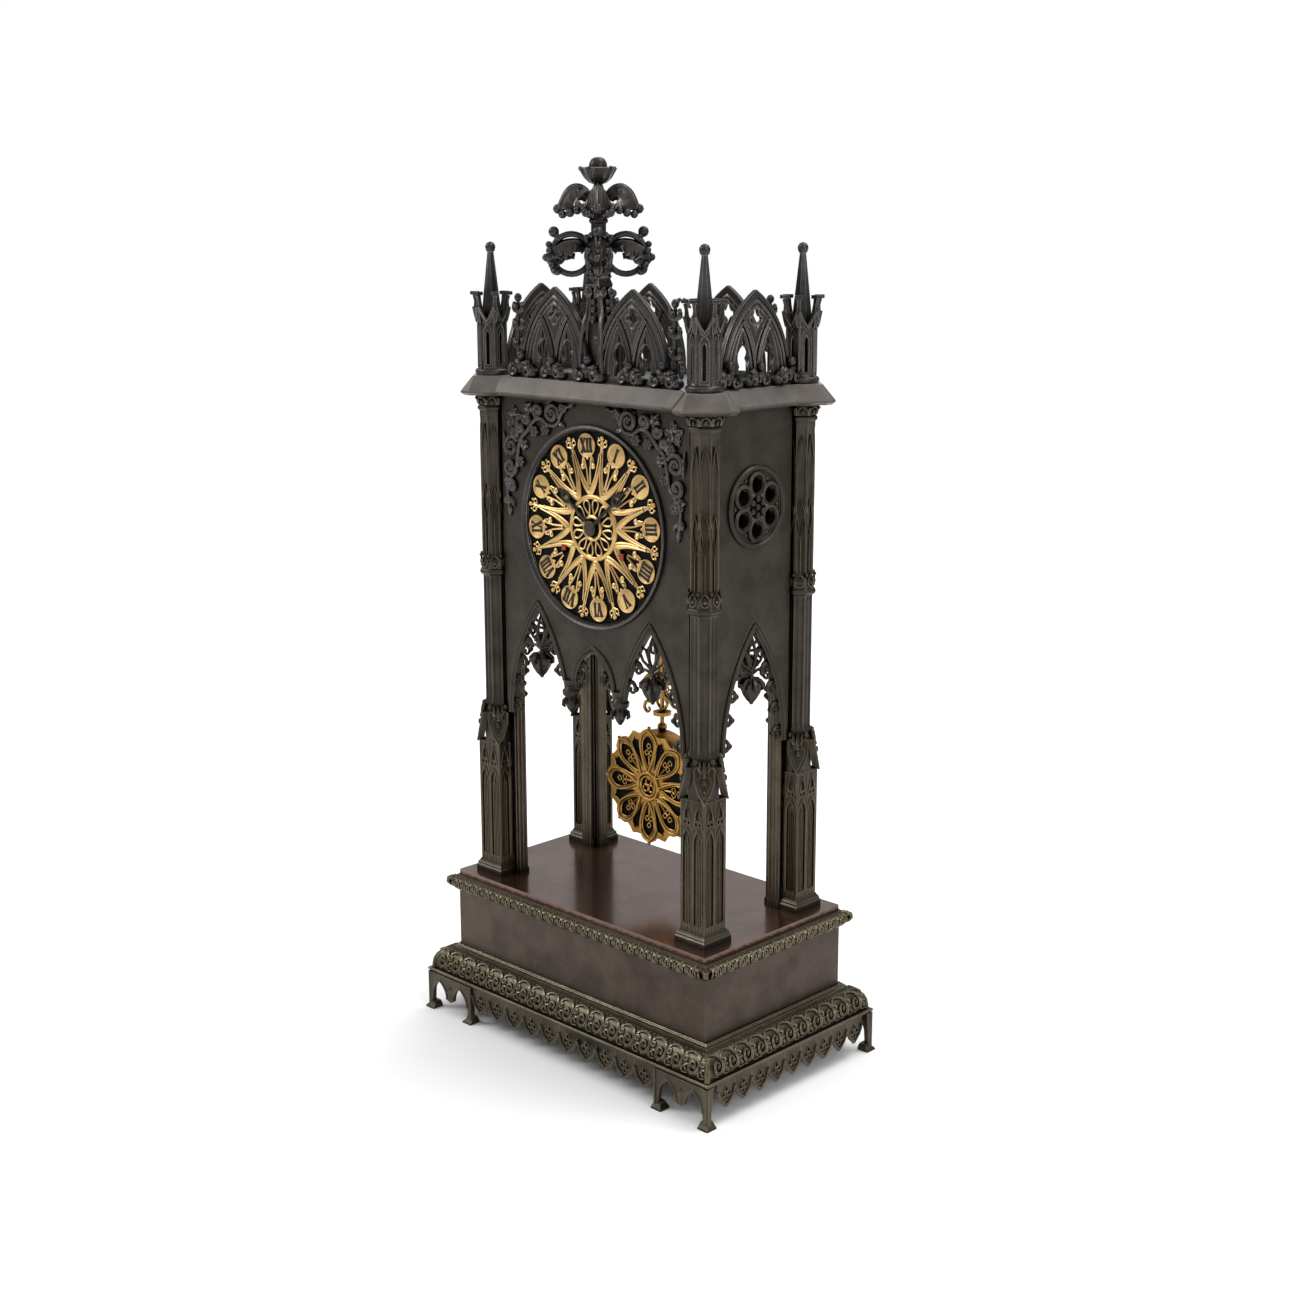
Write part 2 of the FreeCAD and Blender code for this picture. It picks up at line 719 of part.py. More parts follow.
def side_outline():
    """Outline of a side panel: one tall arch."""
    half = d.column_y - d.ring_half - d.panel_gap
    spring, top = d.arch_spring, d.slab_bottom
    edges = [line((-half, top), (half, top))]
    for side in (-1, 1):
        foot = arch_point(0.0, spring, side)
        edges.append(line((side * half, top), (side * half, spring)))
        edges.append(line((side * half, spring), foot))
        edges.append(arch_curve(0.0, side, spring, arch_top()))
    return edges


def hanging_boss(body, axis, along, face):
    """Stem from the arch's point down to a carved boss. Face is the panel's outer plane."""
    stem = rectangle(along - d.stem_width / 2.0, d.boss_top - 1.0, along + d.stem_width / 2.0, arch_top() + 1.0)
    extrude(body, axis, [stem], face, "panel_thickness")
    middle = face + d.panel_thickness / 2.0
    centre = (along, middle) if axis == "y" else (middle, along)
    profile = [(0.0, 0.35), (-0.18, 0.9), (-0.45, 1.0), (-0.75, 0.7), (-1.0, 0.15)]
    sections = []
    for share, width in profile:
        offset = "boss_top + %g * boss_height" % share
        sections.append((offset, regular(6, width * d.boss_half, centre, 30.0 if axis == "x" else 0.0)))
    loft(body, "z", sections)


def make_panels():
    """Front and back panels with three arches, side panels with one and a pierced rosette."""
    hole = regular(48, d.bezel_radius - d.bezel_width, (0.0, d.dial_height))
    body = new_body("front_panel")
    extrude(body, "y", [front_outline(), hole], -panel_y, "panel_thickness")
    for axis in (-d.arch_x, d.arch_x):
        hanging_boss(body, "y", axis, -panel_y)

    hole = regular(48, d.rear_opening, (0.0, d.dial_height))
    body = new_body("back_panel")
    extrude(body, "y", [front_outline(), hole], panel_y - d.panel_thickness, "panel_thickness")
    for axis in (-d.arch_x, d.arch_x):
        hanging_boss(body, "y", axis, panel_y - d.panel_thickness)

    for name, side in (("left", -1), ("right", 1)):
        body = new_body(name + "_panel")
        low = panel_x - d.panel_thickness if side > 0 else -panel_x
        centre = (0.0, d.rosette_height)
        lights = [regular(8, d.rosette_hole_radius, polar(d.rosette_hole_circle, 60.0 * i + 90.0, centre))
                  for i in range(6)]
        extrude(body, "x", [side_outline()] + lights, low, "panel_thickness")
        rim = [regular(24, d.rosette_radius, centre), regular(24, d.rosette_radius - d.rosette_rim, centre)]
        low = panel_x if side > 0 else -panel_x - d.rosette_relief
        extrude(body, "x", rim, low, "rosette_relief")
        low = panel_x - d.panel_thickness if side > 0 else -panel_x
        hanging_boss(body, "x", 0.0, low)


# ---------------------------------------------------------------------------------------------
# Slab, turrets, cresting and finial
# ---------------------------------------------------------------------------------------------
def slab_outline(inset):
    """Straight sides between four projecting corners, each an octagon on its column's axis."""
    side_x, side_y = d.slab_half_x - inset, d.slab_half_y - inset
    tip = math.tan(math.radians(22.5))
    flat = d.abacus_flat / 2.0 - inset * tip
    out = d.abacus_half - inset
    points = []
    for sx, sy in ((1, 1), (-1, 1), (-1, -1), (1, -1)):
        cx, cy = d.column_x, d.column_y
        front = cy + out
        side = cx + out
        back = front - side_y
        corner = [(side_x, cy - flat - (side - side_x)), (side, cy - flat), (side, cy + flat),
                  (cx + flat, front), (cx - flat, front), (cx - flat - back, side_y)]
        corner = [(sx * x, sy * y) for x, y in corner]
        if sx * sy < 0:
            corner.reverse()
        points += corner
    return polygon(points)


def make_slab():
    body = new_body("top_slab")
    width = d.fillet_width
    loft(body, "z", [("slab_bottom", slab_outline(2.4 * width)), ("slab_bottom + 1", slab_outline(width)),
                     ("slab_bottom + 1.4", slab_outline(0.0)),
                     ("slab_bottom + slab_fillet", slab_outline(0.0)),
                     ("slab_top", slab_outline(d.bevel_width))])


TURRET_TURNS = {"front_left": 30.0, "front_right": 43.0, "back_right": 0.0, "back_left": 0.0}


def make_turrets():
    """Six-sided turrets: ring, drum with lancets, gabled crown with stubs, spire and ball."""
    for name, sx, sy, _ in signs():
        body = new_body("turret_" + name, "%d * turret_x" % sx, "%d * turret_y" % sy, "0",
                        TURRET_TURNS[name])
        ring, drum, crown = d.turret_ring_half, d.drum_half, d.crown_half
        corner = 1.0 / math.cos(math.radians(30.0))
        sections = [("slab_top", 12, ring - 0.9), ("slab_top + 0.3 * turret_ring_height", 12, ring),
                    ("slab_top + 0.7 * turret_ring_height", 12, ring),
                    ("slab_top + turret_ring_height", 12, ring - 0.9)]
        loft(body, "z", [(offset, regular(sides, half, turn=15.0)) for offset, sides, half in sections])
        sections = [("slab_top + turret_ring_height", drum), ("crown_bottom", drum),
                    ("crown_bottom + 4", crown), ("crown_top", crown * 0.93), ("crown_top + 1", drum * 0.7)]
        loft(body, "z", [(offset, regular(6, half * corner)) for offset, half in sections])
        low = d.slab_top + d.turret_ring_height + 2.0
        light = [window(0.0, d.lancet_top - 4.0, d.lancet_width / 2.0, 4.0, low)]
        light = cut(body, "y", light, "drum_half - lancet_depth", "lancet_depth + 1")
        repeat(body, light, "z", 6)
        corner_to_corner = d.stub_side / math.sqrt(2.0)
        stubs = [regular(4, corner_to_corner, polar(d.stub_circle, angle), angle + 45.0)
                 for angle in range(0, 360, 60)]
        extrude(body, "z", stubs, "crown_bottom + 6", "stub_top - crown_bottom - 6")
        reach = 0.5 * crown
        gable = polygon([(-reach, d.crown_bottom + 7.0), (0.0, d.crown_bottom - d.gable_drop + 4.0),
                         (reach, d.crown_bottom + 7.0), (0.0, d.crown_bottom + 3.0)])
        tooth = extrude(body, "y", [gable], "drum_half - 1", "crown_half - drum_half + 1.4")
        repeat(body, tooth, "z", 6)
        neck, ball = d.spire_neck_half, d.turret_ball_half
        middle = "(turret_top + spire_neck) / 2"
        sections = [("crown_top - 1", d.spire_half), ("spire_neck", neck), (middle + " - 1.1", ball),
                    (middle + " + 1.1", ball), ("turret_top", 0.45 * ball)]
        loft(body, "z", [(offset, octagon(half)) for offset, half in sections])


def crest_arch(centre):
    """Outline of one crest arch with its two lancets and the eye above them."""
    foot, half = d.slab_top, d.crest_arch_half
    rise = d.crest_arch_top - foot
    outer = lancet(centre, foot + d.crest_foot_height, half, rise - d.crest_foot_height, foot)
    holes = []
    for side in (-1, 1):
        holes.append(window(centre + side * d.crest_lancet_shift, d.crest_lancet_spring,
                            d.crest_lancet_half, d.crest_lancet_rise, foot + d.crest_foot_height))
    holes.append(regular(8, d.crest_eye_radius, (centre, d.crest_eye_height), 22.5))
    return outer, holes


def make_cresting():
    """Pierced cresting: two arches and two small posts on the front and back, one arch on the sides."""
    for name, side in (("front", -1), ("back", 1)):
        body = new_body("cresting_" + name)
        low = -d.crest_front if side < 0 else d.crest_front - d.crest_thickness
        for centre in (-d.crest_arch_x, d.crest_arch_x):
            outer, holes = crest_arch(centre)
            extrude(body, "y", [outer] + holes, low, "crest_thickness")
        for centre in (-d.crest_post_x, d.crest_post_x):
            half = d.crest_post_side / 2.0
            post = rectangle(centre - half, d.slab_top, centre + half, d.crest_post_top)
            extrude(body, "y", [post], low, "crest_thickness")
        reach = d.crest_post_x + d.crest_post_side / 2.0
        bar = rectangle(-reach, d.slab_top, reach, d.slab_top + d.crest_foot_height)
        extrude(body, "y", [bar], low, "crest_thickness")
    for name, side in (("left", -1), ("right", 1)):
        body = new_body("cresting_" + name)
        low = -d.crest_side if side < 0 else d.crest_side - d.crest_thickness
        outer, holes = crest_arch(0.0)
        extrude(body, "x", [outer] + holes, low, "crest_thickness")


def make_finial():
    """Tall finial behind the middle of the front cresting: pier and stem, scrolls, leaf canopy and bud."""
    body = new_body("finial_stem", "0", "-finial_y")
    half, waist, stem = d.finial_pier_half, d.finial_waist_half, d.finial_stem_half
    depth = d.crest_front - d.crest_thickness - d.finial_y - d.seat_gap
    sections = [("slab_top", half), ("slab_top + 5", half), ("slab_top + 8", 0.72 * half),
                ("finial_waist_height", waist), ("finial_stem_top", stem)]
    drawn = []
    for offset, reach in sections:
        front = min(reach, depth)
        drawn.append((offset, rectangle(-reach, -front, reach, reach)))
    loft(body, "z", drawn[:4])
    column = regular(8, min(stem, depth + 1.0), turn=22.5)
    extrude(body, "z", [column], "finial_waist_height", "finial_stem_top - finial_waist_height")

    body = new_body("finial_scrolls", "0", "-finial_y")
    hub = d.scroll_hub_half
    bore = min(stem, depth + 1.0)
    low = "scroll_centre_height - 0.9 * scroll_radius"
    extrude(body, "z", [octagon(hub)], low, "1.8 * scroll_radius")
    centre = (d.scroll_reach - d.scroll_radius - 1.8, d.scroll_centre_height)
    ring = [regular(12, d.scroll_radius, centre, 15.0), regular(12, d.scroll_radius - d.scroll_wire, centre, 15.0)]
    loop = extrude(body, "y", ring, "-scroll_wire / 2", "scroll_wire", turn=45.0)
    repeat(body, loop, "z", 4)
    cut(body, "z", [regular(8, bore, turn=22.5)], low, "1.8 * scroll_radius")

    body = new_body("finial_crown", "0", "-finial_y")
    rim, bud = d.canopy_radius, d.bud_radius
    low, high = d.canopy_rim_height, d.canopy_height
    deep = high - low
    leaf = polygon([(0.0, high), (0.45 * rim, high - 0.06 * deep), (0.8 * rim, high - 0.32 * deep),
                    (rim, high - 0.62 * deep), (0.93 * rim, high - 0.95 * deep), (0.7 * rim, low),
                    (0.62 * rim, high - 0.62 * deep), (0.3 * rim, high - 0.4 * deep), (0.0, high - 0.36 * deep)])
    blade = extrude(body, "y", [leaf], "-0.21 * canopy_radius", "0.42 * canopy_radius", turn=45.0)
    repeat(body, blade, "z", 4)
    sections = [("finial_stem_top", stem), ("canopy_height - 4", stem), ("canopy_height + 1", 0.42 * bud),
                ("canopy_height + 6", bud), ("canopy_height + 7.5", 0.62 * bud),
                ("canopy_height + 11", 0.52 * bud), ("finial_top", 0.16 * bud)]
    loft(body, "z", [(offset, octagon(width * 0.92)) for offset, width in sections])


# ---------------------------------------------------------------------------------------------
# Dial, bezel and hands
# ---------------------------------------------------------------------------------------------
def pipe_inside():
    """Bore of the hour wheel's pipe, which turns on the cannon pinion."""
    return (d.cannon_radius + d.pivot_play) / math.cos(math.radians(15.0))


def pipe_outside():
    return pipe_inside() + d.pipe_wall


def winding_points():
    return [(-d.winding_x, -d.winding_drop), (d.winding_x, -d.winding_drop)]


def make_dial():
    """Bezel, black back plate on four feet, and the gilt openwork dial."""
    rim = d.bezel_radius - d.bezel_width
    body = new_body("bezel", "0", "0", "dial_height")
    flange = [regular(48, d.bezel_radius), regular(48, rim - d.bezel_tube)]
    extrude(body, "y", flange, "-column_y - panel_face - bezel_relief", "bezel_relief")
    tube = [regular(48, rim), regular(48, rim - d.bezel_tube)]
    extrude(body, "y", tube, "-column_y - panel_face", "bezel_tube_length")

    body = new_body("dial_plate", "0", "0", "dial_height")
    disc = regular(48, rim - d.bezel_tube)
    holes = [regular(8, d.winding_hole, centre) for centre in winding_points()]
    holes.append(regular(12, pipe_outside() + d.cannon_wall))
    extrude(body, "y", [disc] + holes, "-dial_plate_face", "dial_plate_thickness")
    feet = [regular(6, d.pillar_half, polar(d.pillar_circle, angle)) for angle in (15, 105, 195, 285)]
    start = "-dial_plate_face + dial_plate_thickness"
    extrude(body, "y", feet, start, "dial_plate_face - dial_plate_thickness - front_plate_face")

    body = new_body("gilt_dial", "0", "0", "dial_height")
    low = "-dial_plate_face - gilt_thickness"
    hub = regular(12, pipe_outside() + d.cannon_wall)
    loops = [gilt_outline(), hub] + gilt_petals()
    extrude(body, "y", loops, low, "gilt_thickness")
    eyes = [regular(12, d.winding_hole + 1.6, centre) for centre in winding_points()]
    extrude(body, "y", eyes, low, "gilt_thickness")
    holes = [regular(8, d.winding_hole, centre) for centre in winding_points()]
    cut(body, "y", holes, low, "gilt_thickness")


def gilt_outline():
    """Outer outline of the gilt dial: twelve numeral discs on arms, a pointed ray between each two."""
    points = []
    ring = d.gilt_ring_radius
    arm = math.degrees(math.asin(d.gilt_spoke_width / 2.0 / ring))
    ray = math.degrees(math.asin(d.gilt_point_width / 2.0 / ring))
    for hour in range(12):
        angle = 90.0 + d.dial_turn + 30.0 * hour
        centre = polar(d.chapter_radius, angle)
        points.append(polar(ring, angle - arm))
        for step in range(11):
            points.append(polar(d.cartouche_radius, angle - 162.0 + 32.4 * step, centre))
        points.append(polar(ring, angle + arm))
        points.append(polar(ring, angle + 15.0 - ray))
        points.append(polar(d.gilt_point_reach, angle + 14.5))
        points.append(polar(d.gilt_point_reach, angle + 15.5))
        points.append(polar(ring, angle + 15.0 + ray))
    return polygon(points)


def gilt_petals():
    """Twelve openings between the hub and the ring of the gilt dial."""
    inside = d.gilt_ring_radius - d.gilt_ring_width
    loops = []
    for hour in range(12):
        angle = 90.0 + d.dial_turn + 30.0 * hour
        loops.append(polygon([polar(d.gilt_hub_radius, angle + 6.0), polar(inside, angle + 3.0),
                              polar(inside, angle + 15.0), polar(inside, angle + 27.0),
                              polar(d.gilt_hub_radius, angle + 24.0)]))
    return loops


def rotated(loop, degrees, centre=(0.0, 0.0)):
    """The straight-edged outline turned about a point."""
    turn = math.radians(degrees)
    points = []
    for edge in loop:
        x, y = edge.StartPoint.x - centre[0], edge.StartPoint.y - centre[1]
        points.append((centre[0] + x * math.cos(turn) - y * math.sin(turn),
                       centre[1] + x * math.sin(turn) + y * math.cos(turn)))
    return polygon(points)


def hand_parts(length, eye, clockwise):
    """Blade and open eye of a hand that points clockwise degrees from the top."""
    half = d.hand_width / 2.0
    lower = polygon([(-half, 0.0), (half, 0.0), (half * 0.8, eye - d.hand_eye_hole - 0.4),
                     (-half * 0.8, eye - d.hand_eye_hole - 0.4)])
    tip = polygon([(-half, eye + d.hand_eye_hole + 0.4), (half, eye + d.hand_eye_hole + 0.4),
                   (half * 0.4, length), (-half * 0.4, length)])
    centre = polar(eye, 90.0 - clockwise)
    ring = [regular(12, d.hand_eye_radius, centre), regular(12, d.hand_eye_hole, centre)]
    return [[rotated(lower, -clockwise)], ring, [rotated(tip, -clockwise)]]


def make_hands():
    """Minute hand on the cannon pinion, hour hand on the hour wheel's pipe."""
    body = new_body("minute_hand", "0", "0", "dial_height")
    low = "-minute_hand_plane - hand_thickness"
    extrude(body, "y", [regular(12, d.hand_collet_radius)], "-minute_hand_plane - hand_collet_depth",
            "hand_collet_depth")
    for loops in hand_parts(d.minute_hand_length, d.minute_eye_distance, d.minute_hand_angle):
        extrude(body, "y", loops, low, "hand_thickness")
    cut(body, "y", [regular(12, d.cannon_radius)], "-minute_hand_plane - 1", "1 + seat_gap")

    body = new_body("hour_hand", "0", "0", "dial_height")
    low = "-hour_hand_plane - hand_thickness"
    extrude(body, "y", [regular(12, pipe_outside() + 1.3)], low, "hand_thickness")
    for loops in hand_parts(d.hour_hand_length, d.hour_eye_distance, d.hour_hand_angle):
        extrude(body, "y", loops, low, "hand_thickness")
    cut(body, "y", [regular(12, pipe_outside())], low, "hand_thickness")


# ---------------------------------------------------------------------------------------------
# Motion work and going train
# ---------------------------------------------------------------------------------------------
def mesh_phase(angle, driver_phase, driver_teeth, teeth):
    """Phase of a wheel whose gap meets the driver's tooth; angle points from driver to wheel."""
    lead = driver_phase - angle
    return angle + 180.0 + 180.0 / teeth - lead * driver_teeth / teeth


def make_motion_work():
    """Cannon pinion, minute wheel and hour wheel: three to one, then four to one."""
    reach = d.minute_module * (d.cannon_teeth + d.minute_teeth) / 2.0
    angle = d.motion_angle
    body = new_body("cannon_pinion", "0", "0", "dial_height")
    bore = d.cannon_radius - d.cannon_wall
    tube = [regular(12, d.cannon_radius), regular(12, bore)]
    extrude(body, "y", tube, "-minute_hand_plane - 1",
            "minute_hand_plane + 1 - front_plate_face - pivot_play")
    toothed = [leaves(d.cannon_teeth, d.minute_module, angle), regular(12, bore)]
    extrude(body, "y", toothed, "-front_plate_face - 2.4", "2.1")

    phase = mesh_phase(angle, angle, d.cannon_teeth, d.minute_teeth)
    x, z = polar(reach, angle)
    place = "dial_height + %g" % z
    body = new_body("minute_wheel", "%g" % x, "0", place)
    stud = d.arbor_radius + d.pivot_play + 0.1
    wheel = [gear(d.minute_teeth, d.minute_module, phase), regular(8, stud)]
    extrude(body, "y", wheel, "-front_plate_face - 1.9", "1.1")
    pinion = [leaves(d.cannon_teeth, d.hour_module, angle + 180.0), regular(8, stud)]
    extrude(body, "y", pinion, "-front_plate_face - 5", "3.1")

    body = new_body("hour_wheel", "0", "0", "dial_height")
    phase = mesh_phase(angle + 180.0, angle + 180.0, d.cannon_teeth, d.hour_teeth)
    wheel = [gear(d.hour_teeth, d.hour_module, phase), regular(12, pipe_inside())]
    extrude(body, "y", wheel, "-front_plate_face - 4.6", "1.1")
    pipe = [regular(12, pipe_outside()), regular(12, pipe_inside())]
    extrude(body, "y", pipe, "-hour_hand_plane - hand_thickness",
            "hour_hand_plane + hand_thickness - front_plate_face - 4.4")
    return x, z


def train_points():
    """Arbor places about the middle of the plates, found from the wheels' centre distances."""
    pitch = {
        "great": d.great_module * (d.great_teeth + d.leaves) / 2.0,
        "second": d.second_module * (d.second_teeth + d.leaves) / 2.0,
        "centre": d.centre_module * (d.centre_teeth + d.leaves) / 2.0,
        "third": d.third_module * (d.third_teeth + d.leaves) / 2.0,
    }
    places = {"centre": (0.0, 0.0), "barrel": (d.winding_x, -d.winding_drop)}
    places["second"] = meet(places["centre"], places["barrel"], pitch["second"], pitch["great"], 1)
    places["escape"] = (0.0, d.escape_height)
    places["third"] = meet(places["centre"], places["escape"], pitch["centre"], pitch["third"], 1)
    places["anchor"] = (0.0, d.anchor_height)
    return places


def meet(first, second, reach_first, reach_second, side):
    """Point at the two given distances from two points, left of the line between them."""
    dx, dy = second[0] - first[0], second[1] - first[1]
    span = math.hypot(dx, dy)
    along = (reach_first ** 2 - reach_second ** 2 + span ** 2) / (2.0 * span)
    off = side * math.sqrt(reach_first ** 2 - along ** 2)
    return (first[0] + (along * dx - off * dy) / span, first[1] + (along * dy + off * dx) / span)


def heading(start, end):
    return math.degrees(math.atan2(end[1] - start[1], end[0] - start[0]))


def arbor_body(name, place, low, length):
    """Body on its own arbor axis, with the arbor running between the plates."""
    body = new_body(name, "%g" % place[0], "0", "dial_height + %g" % place[1])
    extrude(body, "y", [regular(8, d.arbor_radius)], low, length)
    return body


def spokes(body, rim_inside, hub, low, length, count=4):
    """Openings that leave crossed arms in a wheel."""
    share = 360.0 / count
    near, far = hub + 1.2, rim_inside
    if far - near < 1.5:
        return
    gap = 14.0
    window = polygon([polar(near, gap), polar(far, gap * 0.6), polar(far, share / 2.0),
                      polar(far, share - gap * 0.6), polar(near, share - gap)])
    repeat(body, cut(body, "y", [window], low, length), "y", count)


def make_train():
    """Going train: barrel, second, centre, third and escape wheels between the plates."""
    places = train_points()
    through = "front_plate_face - back_plate_face + 2 * plate_thickness"
    start = "-front_plate_face"
    barrel_rear = "-barrel_front + barrel_length"
    phases = {"great": heading(places["barrel"], places["second"])}
    for name, x in (("going_barrel", d.winding_x), ("strike_barrel", -d.winding_x)):
        body = new_body(name, "%g" % x, "0", "dial_height - winding_drop")
        extrude(body, "y", [regular(36, d.barrel_radius)], "-barrel_front", "barrel_length")
        toothed = gear(d.great_teeth, d.great_module, phases["great"])
        extrude(body, "y", [toothed], barrel_rear, "wheel_thickness + 0.5")
        extrude(body, "y", [regular(8, d.barrel_arbor)], start, through)
        square = regular(4, d.winding_square / math.sqrt(2.0), turn=45.0)
        reach = "dial_plate_face + 1.2 - front_plate_face"
        extrude(body, "y", [square], "-dial_plate_face - 1.2", reach)

    body = arbor_body("second_wheel", places["second"], start, through)
    phase = mesh_phase(phases["great"], phases["great"], d.great_teeth, d.leaves)
    pinion = leaves(d.leaves, d.great_module, phase)
    extrude(body, "y", [pinion], barrel_rear + " - 0.4", "pinion_length - 0.1")
    phases["second"] = heading(places["second"], places["centre"])
    low = "-front_plate_face + plate_thickness + 1.1"
    wheel = gear(d.second_teeth, d.second_module, phases["second"])
    extrude(body, "y", [wheel], low, "wheel_thickness")
    spokes(body, 0.36 * d.second_module * d.second_teeth, d.arbor_radius, low, "wheel_thickness")

    body = arbor_body("centre_wheel", places["centre"], start, through)
    phase = mesh_phase(phases["second"], phases["second"], d.second_teeth, d.leaves)
    low = "-front_plate_face + plate_thickness + 0.6"
    extrude(body, "y", [leaves(d.leaves, d.second_module, phase)], low, "pinion_length - 0.4")
    phases["centre"] = heading(places["centre"], places["third"])
    rear = "-back_plate_face - 3.6"
    wheel = gear(d.centre_teeth, d.centre_module, phases["centre"])
    extrude(body, "y", [wheel], rear, "wheel_thickness")
    spokes(body, 0.4 * d.centre_module * d.centre_teeth, d.arbor_radius, rear, "wheel_thickness")
    nose = regular(8, d.cannon_radius - d.cannon_wall - d.pivot_play - 0.04)
    extrude(body, "y", [nose], "-minute_hand_plane + 1", "minute_hand_plane - 1 - front_plate_face")

    body = arbor_body("third_wheel", places["third"], start, through)
    phase = mesh_phase(phases["centre"], phases["centre"], d.centre_teeth, d.leaves)
    pinion = leaves(d.leaves, d.centre_module, phase)
    extrude(body, "y", [pinion], rear + " - 0.4", "pinion_length - 0.6")
    phases["third"] = heading(places["third"], places["escape"])
    middle = "-front_plate_face + 11"
    wheel = gear(d.third_teeth, d.third_module, phases["third"])
    extrude(body, "y", [wheel], middle, "wheel_thickness - 0.3")
    spokes(body, 0.4 * d.third_module * d.third_teeth, d.arbor_radius, middle, "wheel_thickness - 0.3")

    body = arbor_body("escape_wheel", places["escape"], start, through)
    phase = mesh_phase(phases["third"], phases["third"], d.third_teeth, d.leaves)
    pinion = leaves(d.leaves, d.third_module, phase)
    extrude(body, "y", [pinion], middle + " - 0.4", "pinion_length - 0.8")
    points = []
    for tooth in range(int(d.escape_teeth)):
        angle = 360.0 * tooth / d.escape_teeth
        points.append(polar(d.escape_radius, angle))
        points.append(polar(d.escape_radius - 1.5, angle + 4.0))
    low = "-front_plate_face + 19"
    extrude(body, "y", [polygon(points)], low, "0.8")
    spokes(body, 0.66 * d.escape_radius, d.arbor_radius, low, "0.8")
    return places


# ---------------------------------------------------------------------------------------------
# Plates, escapement, pendulum and strike
# ---------------------------------------------------------------------------------------------
def make_plates(places, minute_stud):
    """Round plates on four pillars, with a hole for every arbor."""
    hole = d.arbor_radius + 2.2 * d.pivot_play
    small = [regular(8, hole, places[name]) for name in ("centre", "second", "third", "escape")]
    large = [regular(8, d.barrel_arbor + 4.0 * d.pivot_play, centre) for centre in winding_points()]
    anchor = [regular(8, hole, places["anchor"])]
    body = new_body("front_plate", "0", "0", "dial_height")
    disc = regular(36, d.plate_radius)
    extrude(body, "y", [disc] + small + large + anchor, "-front_plate_face", "plate_thickness")
    extrude(body, "y", [regular(8, d.arbor_radius, minute_stud)], "-front_plate_face - 5", "5")

    body = new_body("back_plate", "0", "0", "dial_height")
    slot = [rectangle(-2.2, d.anchor_height - 3.0, 2.2, d.anchor_height + 1.6)]
    striker = [regular(8, hole, (d.hammer_x, -d.hammer_drop))]
    extrude(body, "y", [disc] + small + large + slot + striker, "-back_plate_face", "plate_thickness")

    body = new_body("movement_pillars", "0", "0", "dial_height")
    posts = [regular(6, d.pillar_half, polar(d.pillar_circle, angle)) for angle in (40, 140, 256, 284)]
    inside = "front_plate_face - plate_thickness - back_plate_face"
    extrude(body, "y", posts, "-front_plate_face + plate_thickness", inside)


def make_escapement(places):
    """Anchor with its crutch, and the back cock that carries the anchor and the pendulum."""
    top = "dial_height + anchor_height"
    body = new_body("anchor", "0", "0", top)
    reach = "front_plate_face - back_plate_face + plate_thickness + 6"
    extrude(body, "y", [regular(8, d.arbor_radius)], "-front_plate_face", reach)
    drop = d.anchor_height - d.escape_height
    span = d.escape_radius + 1.8
    pallets = polygon([(-span - 1.2, -drop + 1.5), (-span + 0.6, -drop + 3.0), (-4.0, -2.2), (4.0, -2.2),
                       (span - 0.6, -drop + 3.0), (span + 1.2, -drop + 1.5), (span + 1.0, -drop + 4.5),
                       (3.5, 2.2), (-3.5, 2.2), (-span - 1.0, -drop + 4.5)])
    extrude(body, "y", [pallets], "-front_plate_face + 18", "2.6")
    crutch = rectangle(-0.9, -d.crutch_length, 0.9, 1.4)
    plane = "-back_plate_face + plate_thickness + crutch_offset"
    extrude(body, "y", [crutch], plane, "crutch_thickness")
    gap = d.rod_radius + 0.3
    for side in (-1, 1):
        low_x = gap if side > 0 else -gap - 1.0
        prong = rectangle(low_x, -d.crutch_length, low_x + 1.0, -d.crutch_length + 2.2)
        extrude(body, "y", [prong], plane, "rod_plane + rod_radius - (%s)" % plane)
    foot = rectangle(-gap - 1.0, -d.crutch_length, gap + 1.0, -d.crutch_length + 2.2)
    extrude(body, "y", [foot], plane, "crutch_thickness")

    body = new_body("back_cock", "0", "0", top)
    rear = "-back_plate_face + plate_thickness"
    for side in (-1, 1):
        low_x = 7.0 if side > 0 else -12.0
        foot = rectangle(low_x, -5.5, low_x + 5.0, 2.4)
        extrude(body, "y", [foot], rear, "rod_plane + back_plate_face - plate_thickness + 3")
    hole = regular(8, d.arbor_radius + 2.2 * d.pivot_play)
    bridge = rectangle(-12.0, -2.6, 12.0, 2.4)
    extrude(body, "y", [bridge, hole], rear + " + 4.2", "2.2")
    beam = rectangle(-12.0, 2.4, 12.0, 6.4)
    extrude(body, "y", [beam], rear, "rod_plane + back_plate_face - plate_thickness + 3")
    cheek = rectangle(-12.0, -2.6, 12.0, 2.6)
    extrude(body, "y", [cheek], "rod_plane + suspension_width + hanging_gap", "1.1")
    pin = regular(8, d.arbor_radius)
    extrude(body, "y", [pin], "rod_plane - suspension_width", "2 * suspension_width + 1")


